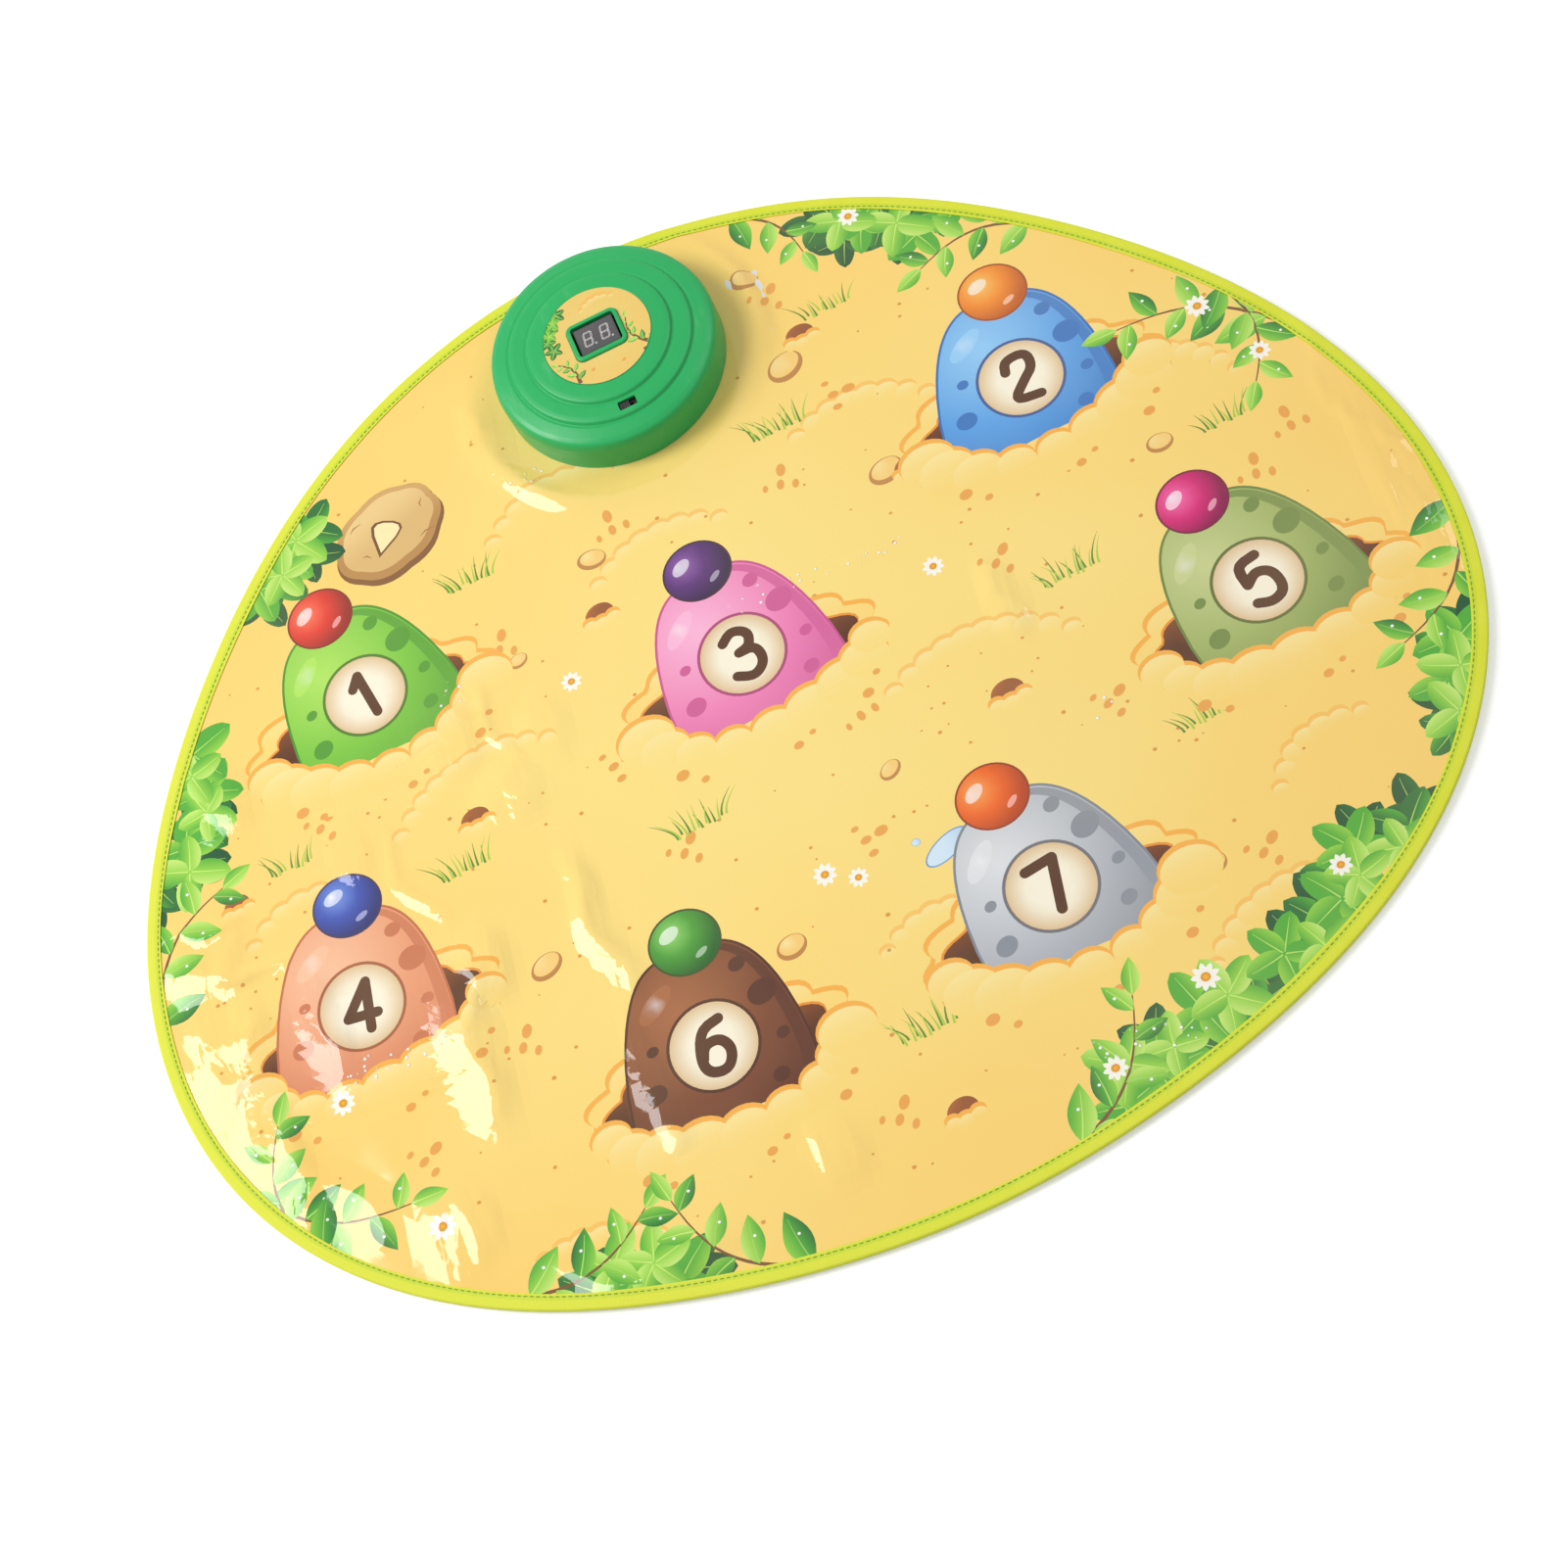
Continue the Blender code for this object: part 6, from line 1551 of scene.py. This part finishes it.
class PLAYMAT_OT_pads(bpy.types.Operator):
    """Build the contact pad under each hit spot, bent with the mat"""

    bl_idname = "playmat.pads"
    bl_label = "Contact Pads"

    def execute(self, context):
        mat, _, _ = settings_of(context)
        reach = np.linspace(0, 1, 9)[1:]
        turn = np.arange(48) * TAU / 48
        for pad in PADS:
            low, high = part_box(pad)
            centre, radius = (low + high) / 2, radius_of(pad)
            x = centre.x + radius * np.outer(reach, np.cos(turn))
            y = centre.y + radius * np.outer(reach, np.sin(turn))
            rings = np.stack([x, y, lift(x, y, mat)], axis=2)
            points, faces = closed_stack([*(rings + (0, 0, low.z)), *(rings + (0, 0, high.z))[::-1]])
            mesh = new_mesh(pad + "_disc", points, faces)
            place_piece(mesh, "carbon_print", (pad,), pad)
        return {"FINISHED"}


class PLAYMAT_OT_binding(bpy.types.Operator):
    """Build the tape folded over the mat's edge, and its row of stitches"""

    bl_idname = "playmat.binding"
    bl_label = "Edge Binding"

    def execute(self, context):
        mat, _, _ = settings_of(context)
        outline = mat_outline(TAPE_STATIONS)
        step = np.linalg.norm(np.roll(outline, -1, axis=0) - outline, axis=1)
        along = np.concatenate([[0.0], np.cumsum(step)])
        self.tape(mat, outline, along)
        self.stitch(mat, outline, along)
        return {"FINISHED"}

    @staticmethod
    def tape(mat, outline, along):
        """The tape: one section carried round the outline, raised with the mat.

        The section is flat under the mat, turns up and over in two quarter circles, and comes back inside at
        the tape's thickness. Its upper inner edge wanders on two sines and puckers between the stitches.
        """
        width, bow = mat.binding_width, mat.binding_round
        arc = np.linspace(0, math.pi / 2, 5)
        out = [
            *[(width * share, 0.0) for share in (1.0, 0.75, 0.5, 0.3)],
            *[(bow * (1 - math.sin(a)), bow * (1 - math.cos(a))) for a in arc],
            *[(bow * (1 - math.cos(a)), TAPE_TOP - bow * (1 - math.sin(a))) for a in arc],
            *[(width * share, TAPE_TOP) for share in (0.3, 0.5, 0.75, 1.0)],
        ]
        inner = [(width, TAPE_TOP - SKIN), (SKIN, TAPE_TOP - SKIN), (SKIN, SKIN), (width, SKIN)]
        profile = np.array(out + inner)
        turn = along[:-1] / along[-1] * TAU
        wander = TAPE_WANDER * (np.sin(7 * turn + 1.0) + 0.6 * np.sin(17 * turn))
        pucker = TAPE_PUCKER * (1 - np.cos(TAU * along[:-1] / (2 * mat.stitch_pitch)))
        rings = []
        for k, (inward, height) in enumerate(profile):
            near = inward / width
            loop = inset_loop(outline, inward + wander * near**2 * (inward > 0.5 * width))
            up = height + lift(*loop.T, mat)
            if near > 0.3 and k < len(out) and height > 0:
                up = up + pucker * math.sin(math.pi * near)
            rings.append(np.column_stack([loop, up]))
        faces = grid_quads(TAPE_STATIONS, len(profile))
        mesh = new_mesh("binding_tape", np.stack(rings, axis=1).reshape(-1, 3), faces)
        corners = np.zeros(len(mesh.loops), np.int32)
        mesh.loops.foreach_get("vertex_index", corners)
        station, place = corners // len(profile), corners % len(profile)
        face_station = np.repeat(faces[:, 0] // len(profile), 4)
        wrapped = (station == 0) & (face_station == TAPE_STATIONS - 1)
        u = np.where(wrapped, along[-1], along[station])
        chart = np.stack([u, profile[place, 0]], axis=1).astype(np.float32)
        mesh.uv_layers.new(name="along").data.foreach_set("uv", chart.ravel())
        place_piece(mesh, "binding_tape", ("edge_binding",))

    @staticmethod
    def stitch(mat, outline, along):
        """Stitches: flattened beads along a line inside the tape's inner edge, each turned to the line."""
        line = inset_loop(outline, mat.binding_width * STITCH_LINE_SHARE)
        count = int(along[-1] / mat.stitch_pitch)
        where = (np.arange(count) + 0.5) / count * along[-1]
        closed = np.concatenate([line, line[:1]])
        x, y = (np.interp(where, along, closed[:, axis]) for axis in (0, 1))
        ahead_x, ahead_y = (np.interp(where + MM, along, closed[:, axis]) for axis in (0, 1))
        heading = np.arctan2(ahead_y - y, ahead_x - x)[:, None]
        s, t = np.meshgrid(np.linspace(0, math.pi, 6)[1:-1], np.arange(6) * TAU / 6, indexing="ij")
        girth = np.sin(s) ** 0.6
        bead = np.stack([
            -np.cos(s) * mat.stitch_length / 2, girth * STITCH_HALF_WIDTH * np.cos(t),
            girth * STITCH_HALF_HEIGHT * np.sin(t),
        ], axis=2)
        long, wide, tall = bead.reshape(-1, 3).T[:, None]
        px = x[:, None] + long * np.cos(heading) - wide * np.sin(heading)
        py = y[:, None] + long * np.sin(heading) + wide * np.cos(heading)
        pz = (TAPE_TOP + lift(x, y, mat) + STITCH_LIFT)[:, None] + tall
        points = np.stack([px, py, pz], axis=2).reshape(-1, 3)
        _, faces = closed_stack(bead)
        whole = [[start * tall.size + i for i in face] for start in range(count) for face in faces]
        place_piece(new_mesh("binding_stitches", points, whole), "binding_thread", slot="")


def filleted(corners, steps=5):
    """A profile through (radius, height, fillet) corners, each corner rounded by an arc of its fillet."""
    corners = np.array(corners, float)
    made = [corners[0, :2]]
    for before, here, after in zip(corners[:-2], corners[1:-1], corners[2:]):
        back, ahead = before[:2] - here[:2], after[:2] - here[:2]
        back_length, ahead_length = np.linalg.norm(back), np.linalg.norm(ahead)
        back, ahead = back / back_length, ahead / ahead_length
        half = math.acos(float(np.clip(back @ ahead, -1, 1))) / 2
        reach = min(here[2] / math.tan(half), 0.48 * back_length, 0.48 * ahead_length)
        t = np.linspace(0, 1, steps + 1)[:, None]
        start, end = here[:2] + back * reach, here[:2] + ahead * reach
        made.extend((1 - t) ** 2 * start + 2 * t * (1 - t) * here[:2] + t**2 * end)
    made.append(corners[-1, :2])
    return np.array(made)


def turned_solid(profile, steps):
    """Points and faces of a solid that a closed profile of (radius, height) sweeps round the unit's axis."""
    turn = np.arange(steps) * TAU / steps
    radius, height = profile.T
    points = np.stack([
        HUB.x + np.outer(np.cos(turn), radius), HUB.y + np.outer(np.sin(turn), radius),
        np.tile(height, (steps, 1)),
    ], axis=2)
    return points.reshape(-1, 3), grid_quads(steps, len(profile)).tolist()


def carve(mesh, tools):
    """A mesh after Boolean steps with tools of (points, faces, operation)."""
    whole = new_object("carved", mesh)
    spent = [whole]
    for points, faces, operation in tools:
        tool = new_object("tool", new_mesh("tool", points, faces))
        join_doubles(tool.data)
        step = whole.modifiers.new(operation, "BOOLEAN")
        step.operation = operation
        step.object = tool
        step.solver = "EXACT"
        spent.append(tool)
    bpy.context.view_layer.update()
    graph = bpy.context.evaluated_depsgraph_get()
    result = bpy.data.meshes.new_from_object(whole.evaluated_get(graph))
    for helper in spent:
        bpy.data.objects.remove(helper, do_unlink=True)
    return result


class PLAYMAT_OT_casing(bpy.types.Operator):
    """Build the sound unit's upper casing, with its ring steps, bezel, slot, grille, bosses and posts"""

    bl_idname = "playmat.casing"
    bl_label = "Upper Casing"

    def execute(self, context):
        _, unit, _ = settings_of(context)
        label_low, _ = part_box("panel_label")
        seat, shoulder = label_low.z - LABEL_AIR, CASING_LOW.z + SHOULDER_HEIGHT
        reach = {
            "rim": HUB_RADIUS, "outer": unit.outer_ring, "inner": unit.inner_ring, "label": unit.label_radius,
            "axis": 0.0,
        }
        level = {"foot": CASING_LOW.z, "shoulder": shoulder, "seat": seat}
        outer = [(reach[a] + x * MM, level[b] + z * MM, fillet * MM) for a, b, x, z, fillet in OUTER_SECTION]
        inner = np.array([(reach[a] + x * MM, level[b] + z * MM) for a, b, x, z in INNER_SECTION])
        points, faces = turned_solid(np.concatenate([filleted(outer), inner]), CASING_STEPS)
        mesh = new_mesh("upper_casing_shell", points, faces)
        join_doubles(mesh)
        tools = [(shape, "UNION") for shape in self.joined(unit, seat, shoulder, inner)]
        tools += [(shape, "DIFFERENCE") for shape in self.cuts(unit, seat)]
        result = carve(mesh, [(p + (HUB.x, HUB.y, 0.0), faces, step) for (p, faces), step in tools])
        result.name = "upper_casing_shell"
        place_piece(result, "green_plastic", ("upper_casing",), sharp=32)
        return {"FINISHED"}

    @classmethod
    def joined(cls, unit, seat, shoulder, ceiling):
        """The solids joined to the turned one, from the unit's axis: bezel, plate, bosses and board posts."""
        levels = [(0.0, seat - WALL / 2)]
        for a in np.linspace(0, math.pi / 2, 5):
            inset = BEZEL_ROUND * (1 - math.cos(a))
            levels.append((inset, CASING_HIGH.z - BEZEL_ROUND * (1 - math.sin(a))))
        bezel = []
        for inset, z in levels:
            grown = 2 * (unit.bezel_border - inset)
            size = (unit.window_width + grown, unit.window_depth + grown)
            bezel.append((round_rectangle(*size, BEZEL_CORNER - inset), z))
        plate = round_rectangle(*SEAT_PLATE)
        made = [loop_stack(bezel), loop_stack([(plate, seat - WALL + BITE), (plate, seat - BITE / 2)])]
        for place in hole_places():
            made.append(cls.post(place, BOSS_RADIUS, BOSS_FOOT, shoulder + BOSS_TOP))
        _, board_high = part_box("main_board")
        for number in range(1, 5):
            place = middle_of(f"board_screw_{number}") - (HUB.x, HUB.y)
            top = float(np.interp(math.hypot(*place), *ceiling.T)) + BITE
            made.append(cls.post(place, POST_RADIUS, board_high.z, top))
        return made

    @staticmethod
    def cuts(unit, seat):
        """The solids cut out of it, from the unit's axis: window, switch slot and grille slits."""
        window = round_rectangle(unit.window_width, unit.window_depth, WINDOW_CORNER)
        slot = round_rectangle(*SLOT, 3) + (0.0, middle_of("switch_knob")[1] - HUB.y)
        made = [
            loop_stack([(window, seat - WALL - CUT_BEYOND), (window, CASING_HIGH.z + CUT_BEYOND)]),
            loop_stack([(slot, seat - SLOT_REACH), (slot, CASING_HIGH.z)]),
        ]
        speaker_low, speaker_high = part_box("speaker_frame")
        height = (speaker_low.z + speaker_high.z) / 2
        for k in range(SLITS):
            x = (k - SLITS // 2) * SLIT_PITCH
            slit = round_rectangle(SLIT_WIDTH, 2 * math.sqrt(GRILLE_RADIUS**2 - x**2), SLIT_CORNER, 4)
            across, up = slit.T + [[x], [height]]
            rings = [np.column_stack([across, np.full(len(slit), y), up]) for y in GRILLE_RUN]
            made.append(closed_stack(rings))
        return made

    @staticmethod
    def post(place, radius, low, high):
        """An upright round post."""
        loop = ring_loop(radius, 24, place)
        return loop_stack([(loop, low), (loop, high)])


class PLAYMAT_OT_label(bpy.types.Operator):
    """Build the printed label and the display's face with its two digits"""

    bl_idname = "playmat.label"
    bl_label = "Label and Display"

    def execute(self, context):
        mat, unit, _ = settings_of(context)
        border = 2 * (unit.bezel_border + LABEL_GAP)
        size = (unit.window_width + border, unit.window_depth + border)
        hole = round_rectangle(*size, LABEL_CORNER) / MM

        def sand(x, y):
            """Sand that deepens towards the label's edge."""
            deep = smooth_step(np.hypot(x, y) / LABEL_SAND_REACH) * 0.7
            return between(mat.sand_middle, mat.sand_edge, deep) * LABEL_SHADE_SHARE

        def face(x, _):
            """The display's even grey."""
            return np.tile(np.array(ink(92, 90, 92)), (len(x), 1))

        low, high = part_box("panel_label")
        outline = ring_loop(unit.label_radius / MM, 144)
        drawing = draw_label(np.random.default_rng(LABEL_SEED), sand)
        mesh = self.disc("label_disc", outline, [hole], drawing, LABEL_PITCH, low.z, high.z, sand)
        place_piece(mesh, "label_print", ("panel_label",), outwards=False)

        low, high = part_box("display_module")
        half = [side / 2 / MM - FACE_EDGE for side in (high.x - low.x, high.y - low.y)]
        outline = round_rectangle(2 * half[0], 2 * half[1], FACE_CORNER, 4)
        top = high.z + FACE_FILM
        mesh = self.disc("display_face", outline, [], self.digits(half), FACE_PITCH, high.z, top, face)
        place_piece(mesh, "display_face", slot="display_block", outwards=False)
        return {"FINISHED"}

    @staticmethod
    def disc(name, outline, holes, drawing, pitch, base, top, ground):
        """A flat printed sheet on the unit's axis."""
        grid = grid_points(outline, pitch)
        mesh = sheet_shell(name, outline, holes, drawing, grid, grid, base, top, lambda x, y: 0 * x, ground)
        mesh.transform(Matrix.Translation((HUB.x, HUB.y, 0.0)))
        return mesh

    @staticmethod
    def digits(half):
        """Two leaning seven-bar digits, each bar a pale outline round a dim middle, and a point after each."""
        drawing = Drawing()
        edge, dim, dark = ink(238, 236, 232), ink(112, 109, 110), ink(60, 58, 60)
        wide, deep = 2 * half[0], 2 * half[1]
        drawing.add(round_rectangle(wide - 0.5, deep - 0.5, 0.5, 4), dark)
        # Painted shade: the face's grey runs from lighter at its corner toward the softbox to darker at the
        # opposite corner
        drawing.add(round_rectangle(wide - 1.1, deep - 1.1, 0.4, 4), ink(94, 91, 93), ink(84, 82, 85),
                    centre=(-half[0], half[1]), reach=(wide, -deep))
        length, thick, slant = 4.7, 0.95, 0.13
        bars = [(0, y, 0) for y in (1, 0, -1)] + [(x, y, 90) for y in (0.5, -0.5) for x in (-0.5, 0.5)]
        for centre in (-5.6, 5.2):
            for x, y, turn in bars:
                for grow, colour in ((0.0, edge), (-0.44, dim)):
                    a, b = length / 2 - 0.12 + grow * 0.9, thick / 2 + grow / 2
                    bar = turned([(-a, 0), (-a + b, -b), (a - b, -b), (a, 0), (a - b, b), (-a + b, b)], turn)
                    bar = bar + (x * length, y * length)
                    bar[:, 0] += slant * bar[:, 1]
                    drawing.add(bar + (centre, 0), colour)
            for size, colour in ((0.62, edge), (0.34, dim)):
                drawing.add(oval(centre + 3.6, -4.9, size, size, steps=16), colour)
        return drawing


class PLAYMAT_OT_knob(bpy.types.Operator):
    """Build the slide switch's knob, with its ribbed grip"""

    bl_idname = "playmat.knob"
    bl_label = "Switch Knob"

    def execute(self, context):
        low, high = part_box("switch_knob")
        centre = (low + high) / 2
        wide, deep = high.x - low.x, high.y - low.y
        x = np.linspace(-0.5, 0.5, 41) * wide
        y = np.linspace(-0.5, 0.5, 17) * deep
        across, along = np.meshgrid(x, y, indexing="ij")

        # The top is flat, falls off in a quarter circle at its edges, and dips on a cosine between the ribs
        edge = np.minimum((wide / 2 - np.abs(across)), (deep / 2 - np.abs(along))) / KNOB_SOFTNESS
        rounded = np.sqrt(np.clip(1 - (1 - np.clip(edge, 0, 1)) ** 2, 0, 1))
        dip = 0.5 - 0.5 * np.cos(across / wide * TAU * KNOB_RIBS)
        height = high.z - KNOB_ROUND * (1 - rounded) - KNOB_GROOVE * rounded * dip
        under = np.full(height.shape, low.z + KNOB_UNDER)
        upper, lower = (np.stack([centre.x + across, centre.y + along, z], axis=2) for z in (height, under))
        quads = grid_quads(*across.shape, False, False)
        count = across.size
        index = np.arange(count).reshape(across.shape)
        rim = np.concatenate([index[:, 0], index[-1, 1:], index[-2::-1, -1], index[0, -2:0:-1]])
        ahead = np.roll(rim, -1)
        skirt = np.stack([rim, ahead, ahead + count, rim + count], axis=1)
        cap = np.concatenate([upper.reshape(-1, 3), lower.reshape(-1, 3)])
        cap_faces = np.concatenate([quads, quads[:, ::-1] + count, skirt]).tolist()
        stem = round_rectangle(*KNOB_STEM, 3) + (centre.x, centre.y)
        whole = join_shapes([(cap, cap_faces), loop_stack([(stem, low.z), (stem, low.z + STEM_TOP)])])
        place_piece(new_mesh("knob_grip", *whole), "black_plastic", ("switch_knob",), "switch_knob", sharp=50)
        return {"FINISHED"}


class PLAYMAT_OT_cells(bpy.types.Operator):
    """Build the three dry cells in the battery box, each turned about the one beside it"""

    bl_idname = "playmat.cells"
    bl_label = "Cells"

    def execute(self, context):
        quarter = np.linspace(0, 1, 5) * math.pi / 2
        corner, roll = CELL_ROLL * (1 - np.sin(quarter)), CELL_ROLL * (1 - np.cos(quarter))
        turn = np.arange(CELL_STEPS) * TAU / CELL_STEPS
        tip = CELL_TERMINAL_RADIUS
        for name, facing in (("cell_1", 1), ("cell_2", -1), ("cell_3", 1)):
            low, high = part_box(name)
            centre, length = (low + high) / 2, high.x - low.x
            radius, flat = (high.z - low.z) / 2, length - CELL_TERMINAL_HEIGHT

            # The section from the flat end up to the terminal: how far out, and how far along
            reach = [radius / 2, *(radius - corner), *(radius - corner[::-1]), tip * 1.5, tip, tip, tip * 0.85]
            bevel = (flat - CELL_BEVEL, flat - CELL_BEVEL, length - CELL_BEVEL)
            along = [0.0, *roll, *(flat - roll[::-1]), *bevel, length]
            rings = np.stack([
                np.tile((np.array(along) - length / 2)[:, None] * facing, (1, CELL_STEPS)) + centre.x,
                centre.y + np.outer(reach, np.cos(turn)), centre.z + np.outer(reach, np.sin(turn)),
            ], axis=2)
            mesh = new_mesh(f"{name}_jacket", *closed_stack(rings))
            place_piece(mesh, "cell_jacket", (name,))
        return {"FINISHED"}


class PLAYMAT_OT_stage(bpy.types.Operator):
    """Set up the floor, the lamps, the pale surroundings and the camera"""

    bl_idname = "playmat.stage"
    bl_label = "Stage"

    def execute(self, context):
        _, _, studio = settings_of(context)
        scene = context.scene
        scene.view_settings.view_transform = "Standard"
        self.floor()
        self.world(scene, studio.sky)
        for name, (setting, size, place) in LAMPS.items():
            self.lamp(name, getattr(studio, setting), size, place)
        self.camera(scene, studio)
        return {"FINISHED"}

    @staticmethod
    def floor():
        """A wide white disc. What the camera sees of it is a little brighter than what it returns as light.

        Away from the mat, what camera, gloss and glass see of it passes over into plain white.
        """
        loop = ring_loop(FLOOR_RADIUS, 96)
        points = np.column_stack([loop, np.full(len(loop), -FLOOR_DROP)])
        mesh = new_mesh("floor", points, [range(len(points))])
        net = Net("studio_floor")
        glow = net.node("ShaderNodeLightPath", output="Is Camera Ray") * 0.30
        net.finish(Base_Color=(0.86, 0.86, 0.86), Roughness=1.0, Specular_IOR_Level=0.0,
                   Emission_Color=(1.0, 1.0, 1.0), Emission_Strength=glow)
        away = net.node("ShaderNodeVectorMath", {"operation": "LENGTH"}, {0: net.place()}, output="Value")
        net.pass_into_white("ShaderNodeEmission", net.seen_directly() * net.remap(away, *FLOOR_FADE))
        mesh.materials.append(net.holder)
        new_object("floor", mesh)

    @staticmethod
    def world(scene, strength):
        """White where the camera, gloss or glass looks, and a softer grey as light."""
        net = Net("studio", world=True)
        scene.world = net.finish(Color=(0.97, 0.985, 1.0), Strength=strength)
        net.pass_into_white("ShaderNodeBackground", net.seen_directly())

    @staticmethod
    def lamp(name, power, size, place):
        """A rectangular softbox that faces the middle of the mat."""
        data = bpy.data.lights.new(name, "AREA")
        data.shape = "RECTANGLE"
        data.size, data.size_y = size
        data.energy = power
        made = new_object(name, data)
        made.location = place
        made.rotation_mode = "QUATERNION"
        made.rotation_quaternion = (-Vector(place)).to_track_quat("-Z", "Y")

    @staticmethod
    def camera(scene, studio):
        """The view: from an azimuth and elevation at a distance, rolled about its line of sight."""
        a, e, roll = studio.azimuth, studio.elevation, studio.roll
        back = Vector((math.sin(a) * math.cos(e), -math.cos(a) * math.cos(e), math.sin(e)))
        right = Vector((math.cos(a), math.sin(a), 0.0))
        up = back.cross(right)
        rolled_right = math.cos(roll) * right + math.sin(roll) * up
        rolled_up = math.cos(roll) * up - math.sin(roll) * right
        data = bpy.data.cameras.new("camera")
        data.sensor_fit = "HORIZONTAL"
        data.sensor_width = 36.0
        data.lens = studio.lens
        made = new_object("camera", data)
        turn = Matrix((rolled_right, rolled_up, back)).transposed()
        target = Vector((*VIEW_TARGET, 0.0))
        made.matrix_world = Matrix.Translation(target + back * studio.distance) @ turn.to_4x4()
        scene.camera = made


STEPS = ("finishes", "stage", "sheets", "pads", "binding", "casing", "label", "knob", "cells")


class PLAYMAT_PT_panel(bpy.types.Panel):
    """Settings and steps of the play mat"""

    bl_idname = "PLAYMAT_PT_panel"
    bl_label = "Play Mat"
    bl_space_type = "VIEW_3D"
    bl_region_type = "UI"
    bl_category = "Play Mat"

    def draw(self, context):
        layout = self.layout
        for group in settings_of(context):
            box = layout.box()
            for name in group.bl_rna.properties.keys():
                if name not in ("rna_type", "name"):
                    box.prop(group, name)
        for step in STEPS:
            layout.operator(f"playmat.{step}")


GROUPS = {"playmat_mat": MatSettings, "playmat_unit": UnitSettings, "playmat_studio": StudioSettings}
CLASSES = (
    *GROUPS.values(), PLAYMAT_OT_finishes, PLAYMAT_OT_stage, PLAYMAT_OT_sheets, PLAYMAT_OT_pads,
    PLAYMAT_OT_binding, PLAYMAT_OT_casing, PLAYMAT_OT_label, PLAYMAT_OT_knob, PLAYMAT_OT_cells,
    PLAYMAT_PT_panel,
)


def register():
    for made in CLASSES:
        bpy.utils.register_class(made)
    for name, group in GROUPS.items():
        setattr(bpy.types.Scene, name, bpy.props.PointerProperty(type=group))


def unregister():
    for name in GROUPS:
        delattr(bpy.types.Scene, name)
    for made in reversed(CLASSES):
        bpy.utils.unregister_class(made)


def main():
    """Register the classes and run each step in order."""
    register()
    for step in STEPS:
        getattr(bpy.ops.playmat, step)()


if __name__ == "__main__":
    main()
